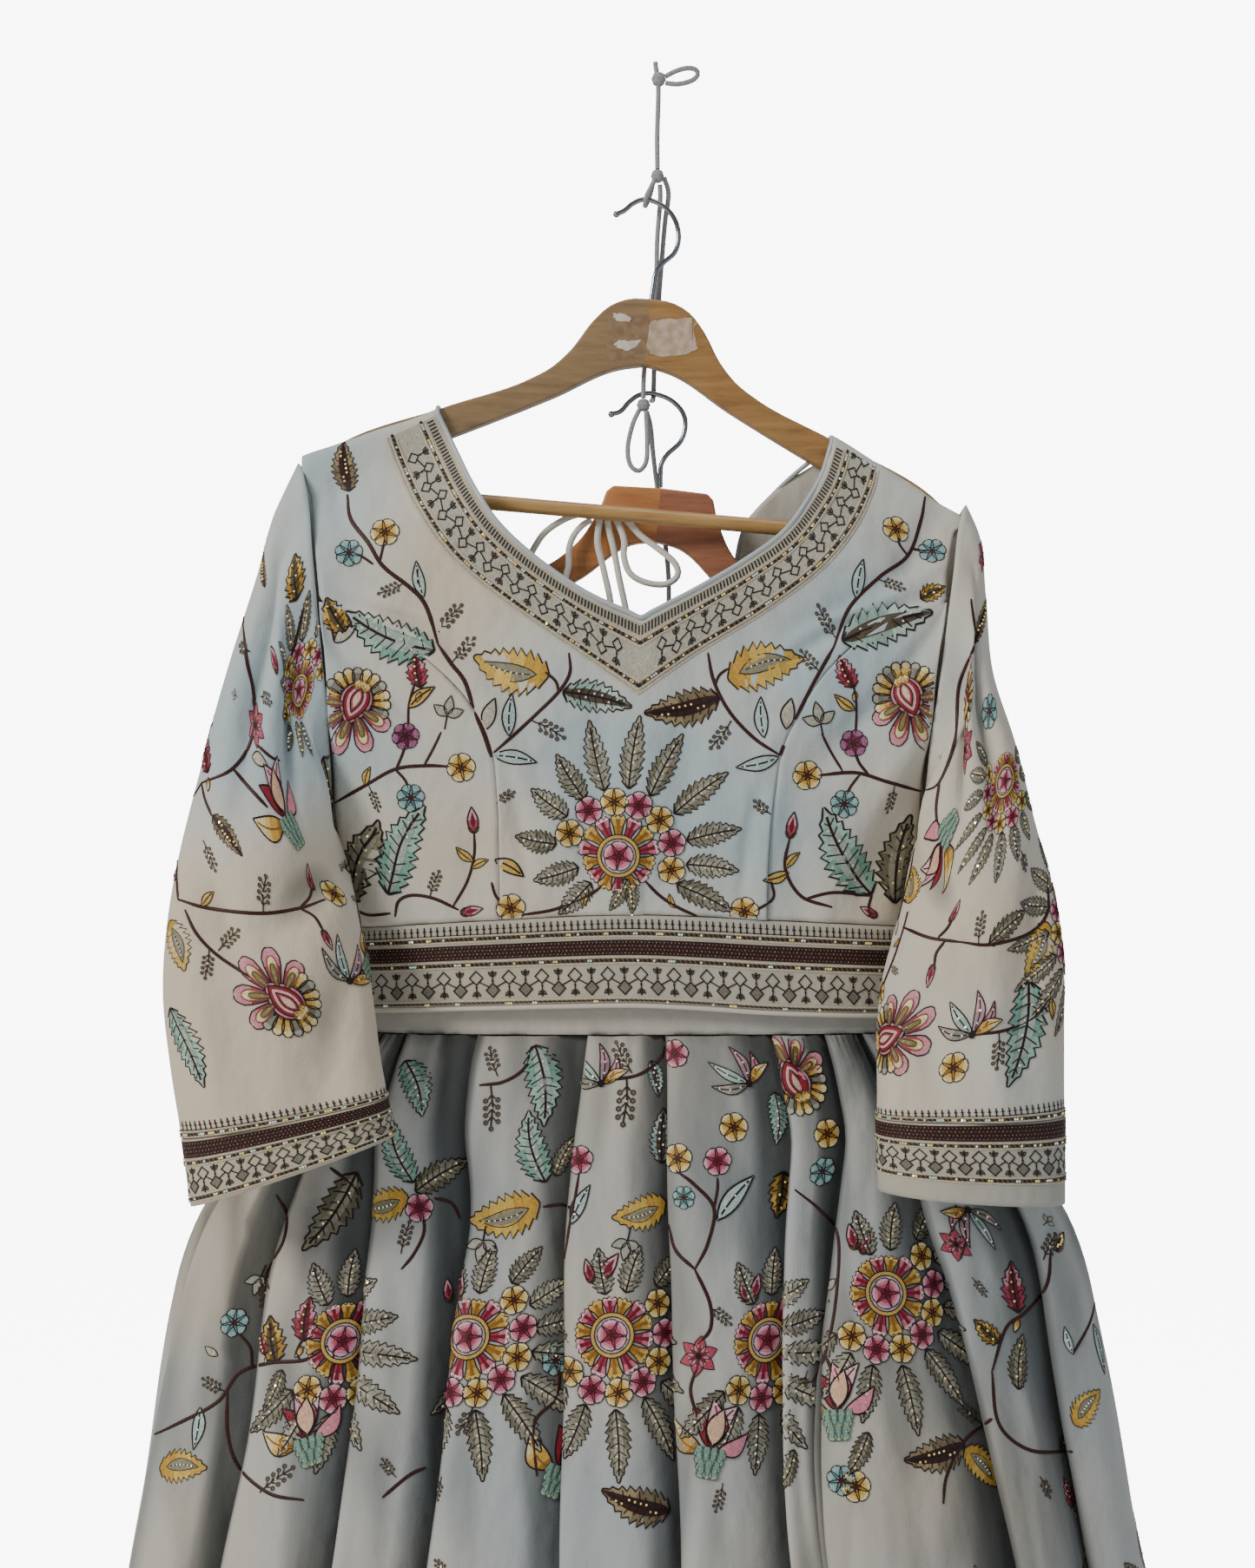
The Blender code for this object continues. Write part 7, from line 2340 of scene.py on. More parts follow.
def trellis(drawn, length, top, low):
    """The maroon band: a close lattice of thread."""
    columns, pitch = 8, 1.25
    rows = int(length / pitch)
    for column in range(columns):
        upper = top + (low - top) * column / columns
        under = top + (low - top) * (column + 1) / columns
        shift = 0.5 * pitch * (column % 2)
        places = [index * pitch + shift for index in range(rows + 1)]
        dyes = [("#1E0A0A", "#38160F", "#180707", "#431E16")[(row + column * 2) % 4] for row in range(rows)]
        drawn.strip([(x, -upper) for x in places], [(x + 0.4 * pitch, -under) for x in places],
                    dyes, 0.30, 0.0, 1, 0.1)
    for row in range(0, rows, 2):
        for level in range(4):
            x = (row + (level % 2)) * pitch + 0.3
            y = top + (low - top) * (level + 0.6) / 4.2
            drawn.strip([(x - 0.35, -y), (x + 0.35, -y + 0.35)], [(x - 0.35, -y - 0.1), (x + 0.35, -y - 0.4)],
                        ("#C9B6A4", "#A08070")[(row // 2 + level) % 2], 0.42)
    return drawn


def diamond(drawn, x, y, half, fill=None):
    corners = [(x - half, y), (x, y + half), (x + half, y), (x, y - half)]
    if fill:
        drawn.strip([corners[0], corners[1]], [corners[3], corners[2]], fill, 0.25)
    return drawn.line(corners, 1.15, DARK, 0.45, closed=True)


def pin(drawn, x, y, way, long=6.0):
    """A short stem with three leaves at its end."""
    drawn.line([(x, y), (x, y + way * long)], 0.8)
    for side in (-1.0, 0.0, 1.0):
        turn = 90.0 * way + side * 42.0
        drawn.add(lens(4.0, 1.8, "#6E6654", DARK, None, 0.0, 0.55, steps=3), (x, y + way * long * 0.55), turn)
    drawn.ring(0.1, 0.8, DARK, 0.5, 6, at=(x, y + way * 0.4))
    return drawn


def diamonds(drawn, length, top, low, period=22.0, fill=None, start=0.0):
    """A zigzag of upper and lower diamonds with a pin opposite each."""
    half = (low - top) * 0.265
    upper, under = -top - half, -low + half
    count = int((length - start) / period)
    for index in range(count):
        x = start + (index + 0.5) * period
        middle = x + period / 2.0
        diamond(drawn, x, upper, half)
        diamond(drawn, middle, under, half, fill)
        drawn.line([(x + half * 0.5, upper - half * 0.6), (middle - half * 0.6, under + half * 0.5)], 0.8)
        if index < count - 1:
            drawn.line([(middle + half * 0.6, under + half * 0.5),
                        (x + period - half * 0.5, upper - half * 0.6)], 0.8)
        pin(drawn, x, upper - half * 1.2, -1.0, (low - top) * 0.36)
        pin(drawn, middle, under + half * 1.2, 1.0, (low - top) * 0.36)
    return drawn


def hem_border(length):
    drawn = ticks(Motif(), length, 2.0, 7.6, 4.5)
    chain(drawn, length, 10.8)
    trellis(drawn, length, 14.8, 24.2)
    chain(drawn, length, 27.4)
    diamonds(drawn, length, 31.6, 48.6, 22.0, CLOTH_GREY)
    return chain(drawn, length, 52.6, 26.0)


def cuff_border(length):
    drawn = trellis(Motif(), length, 1.2, 12.0)
    chain(drawn, length, 15.2, 9.0)
    diamonds(drawn, length, 18.6, 35.0, 18.5, CLOTH_GREY)
    return chain(drawn, length, 38.4, 12.0)


def sleeve_end_border(length):
    return chain(ticks(Motif(), length, 0.6, 6.2, 4.2), length, 9.6, 8.0)


# Outer edge of the neck border, from under the V up to each shoulder, as the photo shows it
NECK_BORDER = {
    "left": [(-0.0135, -0.4310), (-0.0570, -0.4003), (-0.1033, -0.3684), (-0.1381, -0.3394),
             (-0.1613, -0.3075), (-0.1759, -0.2785), (-0.1857, -0.2535)],
    "right": [(-0.0135, -0.4310), (0.0242, -0.4043), (0.0707, -0.3759), (0.1113, -0.3452),
              (0.1345, -0.3162), (0.1472, -0.2901), (0.1507, -0.2744)],
}
NECK_WIDE = 38.0


def neck_lay(region, side):
    """Lays a flat border along the neck edge, from the V up, and how long it is."""
    steps = 40
    inner = np.array([along(FRONT_NECK, index / steps, side) for index in range(steps + 1)])
    outer = np.array([(point.x, point.z) for point in smooth_route(
        [(x, 0.0, z) for x, z in NECK_BORDER[side]], 0.002)])
    inner_at, outer_at = distances(inner), distances(outer)
    length = (inner_at[-1] + outer_at[-1]) / 2.0 / MM

    def lay(flat):
        share, across = flat[:, 0] / length, -flat[:, 1] / NECK_WIDE
        near, far = (np.stack([np.interp(share * at[-1], at, edge[:, axis]) for axis in (0, 1)], axis=1)
                     for at, edge in ((inner_at, inner), (outer_at, outer)))
        place = near * (1.0 - across[:, None]) + far * across[:, None]
        points = np.stack([place[:, 0], np.full(len(flat), -0.25), place[:, 1]], axis=1)
        spots, normals, inside = region.drop(points, (0.0, 1.0, 0.0))
        return spots, normals, inside & (share >= -0.001) & (share <= 1.02)
    return lay, length


def neck_border(length):
    drawn = Motif()
    places = np.arange(0.0, length, 3.0)
    drawn.strip([(x, -3.4) for x in places], [(x, -37.0) for x in places], "#B4B2A4", 0.10, 0.0, 8, 0.03)
    drawn.line([(x, -3.6) for x in np.arange(0.0, length, 4.0)], 0.7, CREAM, 0.45, 0.2, 2)
    for index in range(int(length / 2.7)):
        x = (index + 0.5) * 2.7
        drawn.line([(x, -4.3), (x, -8.8)], 1.25, "#33261A")
    drawn.line([(x, -9.6) for x in np.arange(0.0, length, 4.0)], 0.7, CREAM, 0.45, 0.2, 2)
    chain(drawn, length, 12.4, 8.0, 1.8)
    diamonds(drawn, length, 15.8, 29.4, 22.5, None, 6.0)
    chain(drawn, length, 33.0, 8.0, 1.9)
    return drawn.line([(x, -37.0) for x in np.arange(0.0, length, 4.0)], 0.9, CREAM, 0.45, 0.3, 2)


def sew_borders(bands, blouse, region, sewings):
    for side in ("left", "right"):
        lay, length = neck_lay(region, side)
        sewings["blouse_front"].sew(neck_border(length).drawing(), lay)
        cuff = bands["cuff_band_" + side]
        lay = on_patch(cuff, 0.0, 0.0, 0.0)
        sewings["cuff_" + side].sew(cuff_border(cuff.across[9, -1] / MM - 1.0).drawing(), lay)
        sleeve = blouse["sleeve_" + side]
        row = len(sleeve.grid) - 1.0
        length = sleeve.across[-1, -1] / MM - 1.0
        lay = on_patch(sleeve, row, 0.0, 0.0)
        drawn = Motif().add(sleeve_end_border(length), (0.0, 12.0)).drawing()
        sewings["sleeve_" + side].sew(drawn, lay)
    for name in ("hem_band_front", "hem_band_back_left", "hem_band_back_right"):
        band = bands[name]
        length = band.across[9, -1] / MM
        sewings["hem"].sew(hem_border(length - 0.5).drawing(), on_patch(band, 0.0, 0.0, 0.0))


# Layout of the flowers. Places are pixels of the photo. A tip is the pixel that the
# motif's far end reaches, or a direction in degrees.
Vine = namedtuple("Vine", "width pixels")
BLOUSE_VINES = table(Vine, [
    (2.9, [(400, 570), (404, 598), (424, 625), (441, 652), (470, 675), (487, 692), (497, 716), (504, 742)]),
    (2.9, [(504, 742), (520, 765), (535, 785), (546, 818), (557, 845), (566, 872)]),
    (1.9, [(437, 648), (441, 630), (443, 620)]), (1.9, [(430, 650), (417, 641), (408, 637)]),
    (1.6, [(481, 672), (481, 655)]), (1.7, [(385, 740), (382, 725), (376, 712)]),
    (1.9, [(378, 842), (380, 856)]), (1.9, [(478, 785), (471, 812), (470, 838)]),
    (2.0, [(467, 858), (462, 872), (456, 886)]), (1.8, [(508, 843), (500, 860), (488, 882)]),
    (2.4, [(382, 927), (420, 905), (455, 886), (490, 882), (518, 883)]),
    (1.8, [(455, 886), (466, 898), (470, 908)]),
    (2.3, [(455, 1056), (459, 1038), (475, 1031), (500, 1035), (528, 1048)]),
    (2.0, [(521, 1045), (538, 1015), (546, 985), (546, 958)]),
    (2.0, [(409, 1048), (425, 1054), (450, 1052)]),
    (2.4, [(655, 752), (656, 775), (643, 797), (618, 822), (590, 848), (567, 868)]),
    (2.0, [(643, 797), (640, 785), (628, 774)]),
    (2.2, [(600, 1054), (640, 1047), (680, 1030), (697, 1016)]),
    (2.2, [(742, 1014), (760, 1032), (782, 1046), (805, 1056)]),
    (2.0, [(566, 1016), (570, 1030), (577, 1040)]),
    (2.4, [(815, 752), (822, 785), (840, 820), (868, 850), (898, 870)]),
    (2.0, [(823, 790), (828, 778), (838, 770)]),
    (2.6, [(1065, 572), (1060, 600), (1045, 640), (1012, 665), (978, 700), (960, 745)]),
    (2.6, [(960, 745), (935, 790), (910, 840), (898, 870)]),
    (1.9, [(1045, 640), (1036, 628), (1033, 618)]), (1.9, [(1050, 632), (1060, 634), (1068, 634)]),
    (1.8, [(983, 790), (986, 815), (985, 846)]), (2.0, [(984, 866), (990, 880), (1000, 892)]),
    (1.8, [(946, 845), (956, 865), (970, 888)]),
    (2.4, [(1062, 912), (1020, 900), (985, 890), (942, 893)]),
    (1.8, [(990, 892), (980, 905), (975, 915)]),
    (2.3, [(909, 965), (904, 1000), (922, 1032), (958, 1045)]),
    (2.2, [(925, 1036), (960, 1028), (1004, 1032)]), (2.0, [(888, 1015), (890, 1035), (868, 1050)]),
    (2.0, [(1004, 1030), (1000, 1045), (1002, 1056)]),
])
Seen = namedtuple("Seen", "name px py tip size", defaults=(None, 1.0))
BLOUSE_SEEN = table(Seen, [
    ("dark_leaf", 402, 566, (399, 508)), ("yellow_daisy", 443, 613), ("aqua_daisy", 402, 637),
    ("pale_leaf", 488, 688, (479, 648)), ("sprig", 466, 671, (436, 684)),
    ("sprig", 505, 728, (529, 699)), ("sprig", 521, 762, (547, 738)),
    ("teal_leaf", 500, 750, (402, 706)), ("small_gold", 397, 728, (376, 690)),
    ("four_leaf", 375, 745, 160.0), ("cream_leaf", 385, 740, (410, 722)),
    ("medallion", 408, 812, 248.0), ("plume", 484, 792, (480, 752)), ("lilac_daisy", 467, 848),
    ("yellow_leaf", 471, 815, (498, 792)), ("four_leaf", 512, 840, (518, 805)),
    ("sprig", 425, 905, (436, 935)), ("yellow_leaf", 421, 905, (424, 882)),
    ("yellow_daisy", 531, 884), ("aqua_daisy", 473, 919), ("grey_leaf", 406, 1040, (412, 938)),
    ("teal_leaf", 447, 1030, (492, 930)), ("sprig", 495, 1033, (506, 1002)),
    ("pink_bud", 546, 960, (543, 930)), ("yellow_leaf", 545, 992, (526, 976)),
    ("yellow_leaf", 543, 1000, (563, 990)), ("pink_bud", 530, 1052, (556, 1046)),
    ("mustard_leaf", 632, 778, (548, 756)), ("aqua_leaf", 648, 797, (724, 814)),
    ("pale_leaf", 586, 848, (590, 800)), ("cream_leaf", 560, 840, (568, 806)),
    ("pale_leaf", 568, 870, (616, 878)), ("sprig", 612, 830, (650, 850)),
    ("small_sprig", 572, 925, (592, 912)), ("starburst", 712, 986),
    ("yellow_leaf", 570, 990, (600, 1010)), ("yellow_daisy", 588, 1046),
    ("yellow_daisy", 857, 1050), ("grey_leaf", 722, 1012, (700, 1052), 0.9),
    ("grey_leaf", 724, 1012, (728, 1056), 0.9), ("yellow_leaf", 671, 1044, (678, 1024), 0.9),
    ("yellow_leaf", 776, 1046, (770, 1028), 0.9), ("mustard_leaf", 838, 782, (922, 758)),
    ("dark_leaf", 828, 803, (746, 822)), ("pale_leaf", 880, 850, (876, 804)),
    ("cream_leaf", 905, 840, (912, 806)), ("pale_leaf", 897, 872, (850, 884)),
    ("sprig", 842, 830, (818, 862)), ("small_sprig", 888, 938, (868, 922)),
    ("yellow_daisy", 1031, 610), ("aqua_daisy", 1073, 635), ("pale_leaf", 986, 690, (993, 646)),
    ("sprig", 1012, 668, (1040, 680)), ("sprig", 962, 735, (942, 706)),
    ("sprig", 945, 775, (922, 748)), ("aqua_leaf", 970, 738, (1070, 706)),
    ("small_gold", 1060, 690, (1090, 675)), ("plume", 983, 792, (968, 756)),
    ("lilac_daisy", 983, 856), ("yellow_leaf", 984, 818, (962, 800)),
    ("four_leaf", 948, 850, (941, 812)), ("yellow_daisy", 929, 893), ("aqua_daisy", 972, 926),
    ("sprig", 1030, 905, (1022, 938)), ("medallion", 1046, 805, 292.0),
    ("teal_leaf", 1003, 1030, (944, 934)), ("grey_leaf", 1030, 1040, (1044, 940)),
    ("pink_bud", 909, 966, (914, 936)), ("yellow_leaf", 908, 1005, (878, 1014)),
    ("yellow_leaf", 904, 1000, (920, 982)), ("pink_bud", 1010, 1056, (990, 1044)),
    ("cream_leaf", 1085, 745, (1080, 778)), ("star", 1100, 700, None, 0.8),
])
SLEEVE_VINES = {
    "left": table(Vine, [
        (2.5, [(280, 720), (284, 760), (292, 800), (290, 850), (268, 885), (232, 902)]),
        (2.3, [(268, 885), (285, 905), (308, 930)]), (2.0, [(296, 858), (312, 872), (322, 876)]),
        (2.0, [(232, 902), (236, 920), (244, 940)]),
        (2.2, [(232, 902), (212, 940), (204, 1000), (205, 1036)]),
        (2.4, [(205, 1036), (240, 1046), (300, 1052), (345, 1046), (374, 1036)]),
        (1.9, [(345, 1046), (356, 1034), (359, 1022)]),
        (1.9, [(345, 1046), (362, 1056), (372, 1072)]),
        (2.1, [(213, 1048), (226, 1075), (250, 1100), (292, 1128)]),
        (2.2, [(308, 610), (296, 650), (284, 690), (280, 720)]),
        (2.0, [(350, 700), (340, 740), (334, 765)]),
    ]),
    "right": table(Vine, [
        (2.4, [(1118, 690), (1122, 740), (1104, 790), (1100, 850), (1082, 900), (1062, 912)]),
        (2.3, [(1082, 900), (1078, 930), (1080, 955)]),
        (2.2, [(1205, 1010), (1206, 1050), (1185, 1075), (1140, 1088), (1105, 1085)]),
        (2.2, [(1105, 1085), (1070, 1080), (1040, 1068)]),
        (1.9, [(1088, 1084), (1078, 1098), (1076, 1112)]),
        (1.9, [(1080, 1080), (1090, 1070), (1096, 1060)]),
        (2.0, [(1208, 1150), (1190, 1172), (1160, 1186), (1125, 1192)]),
        (2.1, [(1150, 760), (1165, 800), (1170, 840)]),
    ]),
}
SLEEVE_SEEN = {
    "left": table(Seen, [
        ("star", 294, 832), ("lotus", 326, 938, 6.0), ("small_gold", 342, 690, (340, 640)),
        ("starburst", 345, 792, 20.0, 0.62), ("plume", 240, 886, (243, 838)),
        ("dark_leaf", 244, 938, (264, 985)), ("cream_leaf", 290, 868, (318, 882)),
        ("four_leaf", 272, 800, (262, 792), 0.9), ("sprig", 300, 800, (330, 815)),
        ("yellow_daisy", 383, 1029), ("pink_bud", 360, 1024, (356, 1000)),
        ("pink_bud", 370, 1070, (376, 1092)), ("medallion", 325, 1150, 138.0),
        ("sprig", 250, 1095, (280, 1072)), ("sprig", 240, 1092, (230, 1125)),
        ("mustard_leaf", 196, 1060, (200, 1135), 0.8), ("teal_leaf", 196, 1160, (212, 1250)),
        ("lily", 402, 1130, 10.0), ("yellow_leaf", 232, 1043, (250, 1028)),
        ("sprig", 302, 1050, (318, 1012)), ("pink_bud", 320, 770, (312, 738)),
        ("sprig", 232, 965, (236, 1000)), ("grey_leaf", 372, 870, (382, 950)),
        ("dark_leaf", 306, 672, (318, 630), 0.8), ("small_sprig", 290, 745, (268, 730)),
        ("star", 322, 572, None, 0.7),
    ]),
    "right": table(Seen, [
        ("star", 1112, 864), ("lotus", 1086, 972, 160.0), ("starburst", 1158, 900, 196.0, 0.66),
        ("mustard_leaf", 1205, 1062, (1196, 1128), 0.9), ("teal_leaf", 1185, 1130, (1202, 1240)),
        ("lily", 1120, 1192, 40.0), ("yellow_daisy", 1098, 1230),
        ("pink_bud", 1095, 1064, (1100, 1042)), ("pink_bud", 1076, 1112, (1078, 1136)),
        ("sprig", 1150, 1190, (1158, 1228)), ("grey_leaf", 1140, 1088, (1186, 1050), 0.9),
        ("sprig", 1128, 1088, (1120, 1056)), ("dark_leaf", 1124, 740, (1122, 690), 0.9),
        ("star", 1132, 640, None, 0.8), ("small_gold", 1150, 760, (1144, 730)),
        ("medallion", 1024, 1195, 30.0), ("yellow_leaf", 1210, 1150, (1218, 1172)),
        ("aqua_daisy", 1140, 820), ("small_sprig", 1176, 980, (1190, 1000)),
        ("lilac_daisy", 1188, 830),
    ]),
}
SKIRT_VINES = table(Vine, [
    (2.3, [(318, 1376), (330, 1400), (326, 1430), (310, 1458)]),
    (2.2, [(310, 1458), (306, 1470), (310, 1485)]), (2.3, [(380, 1345), (400, 1360), (412, 1372)]),
    (2.3, [(500, 1380), (520, 1386), (530, 1404)]),
    (2.2, [(487, 1396), (488, 1420), (476, 1445), (462, 1462)]),
    (2.3, [(552, 1250), (580, 1246), (604, 1230), (612, 1205)]),
    (2.2, [(625, 1390), (650, 1388), (668, 1402)]),
    (2.0, [(667, 1350), (662, 1380), (656, 1410), (650, 1450)]),
    (2.3, [(700, 1244), (735, 1238), (760, 1220), (765, 1205)]),
    (2.4, [(778, 1348), (800, 1365), (822, 1392), (815, 1432), (800, 1462)]),
    (2.4, [(800, 1462), (778, 1440), (770, 1410)]),
    (2.4, [(800, 1462), (817, 1500), (818, 1530), (804, 1548)]),
    (2.0, [(822, 1392), (826, 1370), (826, 1356)]),
    (2.2, [(915, 1370), (945, 1395), (965, 1425), (962, 1500), (950, 1560), (935, 1592)]),
    (2.2, [(1100, 1388), (1112, 1420), (1106, 1450)]),
    (2.4, [(1210, 1440), (1205, 1480), (1180, 1512), (1158, 1530), (1142, 1580)]),
    (2.4, [(1142, 1580), (1150, 1640), (1185, 1670), (1235, 1672)]),
    (2.4, [(1142, 1634), (1110, 1660), (1090, 1700), (1086, 1732)]),
    (2.2, [(1262, 1440), (1262, 1480), (1256, 1520), (1235, 1560)]),
    (2.5, [(160, 1660), (200, 1642), (250, 1615), (275, 1582), (310, 1570), (352, 1566), (380, 1548)]),
    (2.4, [(262, 1600), (262, 1650), (275, 1690), (310, 1720), (350, 1728)]),
    (2.0, [(274, 1535), (288, 1552), (290, 1576)]), (2.0, [(350, 1540), (342, 1556), (345, 1566)]),
    (2.3, [(490, 1690), (470, 1700), (440, 1725)]),
    (2.3, [(645, 1570), (640, 1610), (615, 1640), (618, 1700)]),
    (2.2, [(804, 1572), (795, 1600), (802, 1630)]), (2.2, [(385, 1550), (382, 1590), (378, 1620)]),
    (2.2, [(950, 1560), (962, 1590), (965, 1605)]),
])
SKIRT_SEEN = table(Seen, [
    ("teal_leaf", 470, 1224, (498, 1292)), ("teal_leaf", 476, 1362, (452, 1292)),
    ("grey_leaf", 478, 1372, (540, 1340)), ("mustard_leaf", 470, 1378, (400, 1396), 0.85),
    ("pink_daisy", 483, 1391), ("teal_leaf", 618, 1205, (640, 1296)),
    ("teal_leaf", 628, 1362, (602, 1284)), ("grey_leaf", 640, 1355, (660, 1310)),
    ("mustard_leaf", 622, 1386, (545, 1410)), ("four_leaf", 560, 1412, (556, 1450)),
    ("pink_daisy", 667, 1336), ("mustard_leaf", 767, 1385, (706, 1405)),
    ("four_leaf", 726, 1414, (720, 1448)), ("sprig", 566, 1252, (570, 1302)),
    ("sprig", 575, 1240, (560, 1206)), ("sprig", 722, 1240, (722, 1296)),
    ("sprig", 728, 1236, (706, 1200)), ("lily", 692, 1248, 40.0), ("lily", 862, 1248, 60.0),
    ("yellow_daisy", 844, 1298), ("pink_daisy", 777, 1213), ("yellow_daisy", 780, 1334),
    ("pink_daisy", 826, 1338), ("aqua_leaf", 762, 1340, (760, 1280)),
    ("pale_leaf", 826, 1406, (862, 1362), 1.1), ("small_gold", 904, 1350, (902, 1400)),
    ("medallion", 912, 1240, 110.0), ("yellow_daisy", 953, 1306), ("aqua_daisy", 950, 1350),
    ("pale_leaf", 657, 1410, (676, 1372), 1.1), ("starburst", 395, 1545, -105.0),
    ("starburst", 538, 1540, -120.0), ("starburst", 705, 1538, -122.0),
    ("starburst", 884, 1545, -100.0), ("starburst", 1020, 1490, -112.0),
    ("starburst", 150, 1440, -75.0), ("pink_bud", 682, 1478, (674, 1452)),
    ("pink_bud", 690, 1475, (710, 1446)), ("pink_bud", 985, 1440, (976, 1412)),
    ("pink_bud", 992, 1445, (1000, 1420)), ("pink_bud", 862, 1500, (852, 1478)),
    ("pink_bud", 868, 1498, (872, 1470)), ("lotus", 816, 1668, -10.0), ("lotus", 352, 1657, 20.0),
    ("lotus", 645, 1690, -20.0), ("lotus", 962, 1625, 0.0), ("plume", 350, 1545, (354, 1498)),
    ("plume", 1172, 1512, (1168, 1456)), ("plume", 306, 1560, (300, 1535), 0.9),
    ("small_gold", 318, 1570, (310, 1520), 1.0), ("grey_leaf", 325, 1578, (306, 1628), 0.9),
    ("aqua_daisy", 271, 1524), ("cream_leaf", 252, 1562, (236, 1552)),
    ("sprig", 262, 1604, (232, 1590)), ("pale_leaf", 232, 1622, (230, 1668)),
    ("mustard_leaf", 184, 1692, (245, 1700)), ("sprig", 300, 1720, (335, 1690)),
    ("four_leaf", 310, 1458, (304, 1490)), ("sprig", 306, 1470, (316, 1510)),
    ("grey_leaf", 412, 1352, (370, 1430), 1.1), ("star", 804, 1562),
    ("sprig", 816, 1505, (842, 1525)), ("dark_leaf", 772, 1740, (700, 1726), 1.1),
    ("aqua_daisy", 640, 1568), ("sprig", 508, 1700, (498, 1728)),
    ("four_leaf", 955, 1500, (946, 1470)), ("sprig", 930, 1580, (925, 1610)),
    ("dark_leaf", 1110, 1662, (1038, 1690), 1.0), ("mustard_leaf", 1110, 1668, (1150, 1720), 0.9),
    ("sprig", 1130, 1640, (1100, 1610)), ("grey_leaf", 1172, 1600, (1180, 1540), 1.0),
    ("small_gold", 1150, 1545, (1125, 1520), 1.0), ("plume", 1236, 1735, (1224, 1700)),
    ("mustard_leaf", 1236, 1640, (1276, 1605), 1.0), ("aqua_daisy", 1246, 1440),
    ("sprig", 1200, 1450, (1225, 1420)), ("four_leaf", 1200, 1410, (1215, 1400)),
    ("dark_leaf", 1215, 1440, (1235, 1410), 0.8), ("star", 1098, 1430, None, 0.9),
    ("pale_leaf", 1258, 1525, (1270, 1580)), ("pale_leaf", 1235, 1560, (1228, 1530)),
    ("sprig", 1218, 1672, (1235, 1640)), ("lily", 1110, 1392, 200.0), ("aqua_daisy", 968, 1705),
    ("yellow_daisy", 985, 1712), ("grey_leaf", 915, 1670, (900, 1720), 0.9),
    ("grey_leaf", 1000, 1650, (975, 1700), 0.9), ("small_sprig", 1196, 1700, (1206, 1725)),
    ("small_sprig", 545, 1620, (530, 1650)), ("aqua_daisy", 787, 1379, None, 0.8),
    ("aqua_leaf", 750, 1222, (762, 1266), 0.9), ("teal_leaf", 891, 1258, (893, 1330), 0.8),
    ("pink_bud", 520, 1500, (512, 1474)), ("pink_bud", 527, 1498, (533, 1470)),
    ("sprig", 462, 1444, (468, 1408)), ("sprig", 1118, 1470, (1134, 1498), 0.8),
    ("sprig", 456, 1702, (438, 1682)), ("small_sprig", 654, 1546, (644, 1526)),
    ("sprig", 832, 1708, (824, 1738)),
])
HIDDEN = ["starburst", "mustard_leaf", "teal_leaf", "lotus", "dark_leaf", "plume", "medallion", "grey_leaf", "lily",
          "aqua_leaf", "star"]
SMALL = ["yellow_daisy", "sprig", "pink_daisy", "pale_leaf", "four_leaf", "aqua_daisy", "sprig", "yellow_leaf",
         "pink_bud", "small_sprig", "lilac_daisy", "cream_leaf"]


def in_photo(spot, normal, pleated):
    """Whether the photo shows a place on the cloth. Walls of pleats face sideways, so pleated
    cloth goes by how far forward it lies."""
    deep = 1.0 + spot[1] / -EYE.y
    high = (EYE.z - spot[2]) / (PIXEL * deep) + MID_PY < PHOTO_CUT
    forward = pleated and spot[1] < -0.25 * (0.03 + 0.2 * max(-0.6 - spot[2], 0.0))
    return high and (normal[1] < -0.30 or forward)


def sew_hidden(sewing, patch, first, last, pitch, shift, size=1.0, small=0.8, pleated=False):
    """Fills cloth that the photo doesn't show with vines and the same flowers, row by row.

    The rows go from one height to another, in millimetres from the patch's upper edge."""
    rows = len(patch.grid)
    depth = np.linalg.norm(np.diff(patch.points, axis=0), axis=2).mean(axis=1).cumsum() / MM
    level, turn = first, shift
    while level < last:
        row = float(np.interp(level, np.concatenate([[0.0], depth]), np.arange(rows)))
        index = min(int(row), rows - 1)
        width = patch.across[index, -1] / MM
        count = max(1, round(width / pitch))
        for step in range(count + 1):
            across = (step + 0.5 * (turn % 2)) * width / count
            if across > width:
                continue
            column = float(np.interp(across * MM, patch.across[index], np.arange(patch.across.shape[1])))
            base = min(int(column), patch.points.shape[1] - 1)
            if in_photo(patch.points[index, base], patch.facing[index, base], pleated):
                continue
            angle = math.radians((47.0 * step + 83.0 * turn) % 360.0)
            name = HIDDEN[(step * 4 + turn * 3 + shift) % len(HIDDEN)]
            sewing.sew(motif(name), on_patch(patch, row, column, angle, size))
            for near in range(3):
                way = angle + math.radians(110.0 * near + 60.0)
                far = 30.0 * size if name != "starburst" else 66.0 * size
                lay = on_patch(patch, row, column, way)
                # an arched stem with a leaf, a sprig and a small flower at its tip
                bow = 1.0 if (step + near) % 2 else -1.0
                stem = [(far * 0.3 + 4.6 * k, bow * 0.30 * k ** 1.75) for k in range(13)]
                tips, facing, on_cloth = lay(np.array([stem[-1], stem[7]]))
                if any(on_cloth[k] and in_photo(tips[k], facing[k], pleated) for k in (0, 1)):
                    continue
                drawn = Motif().line(stem, 2.3, ROPE_LIT_AND_SHADED, 0.3, 0.4, 2)
                for place, side, kind in ((4, bow, "yellow_leaf"), (8, -bow, "sprig")):
                    drawn.add(MOTIFS[kind](), stem[place], 62.0 * side, small)
                kind = SMALL[(step + near + turn * 2) % len(SMALL)]
                drawn.add(MOTIFS[kind](), stem[-1], 60.0 * bow, small * 1.15)
                sewing.sew(drawn.drawing(), lay)
        level += pitch * 0.82
        turn += 1


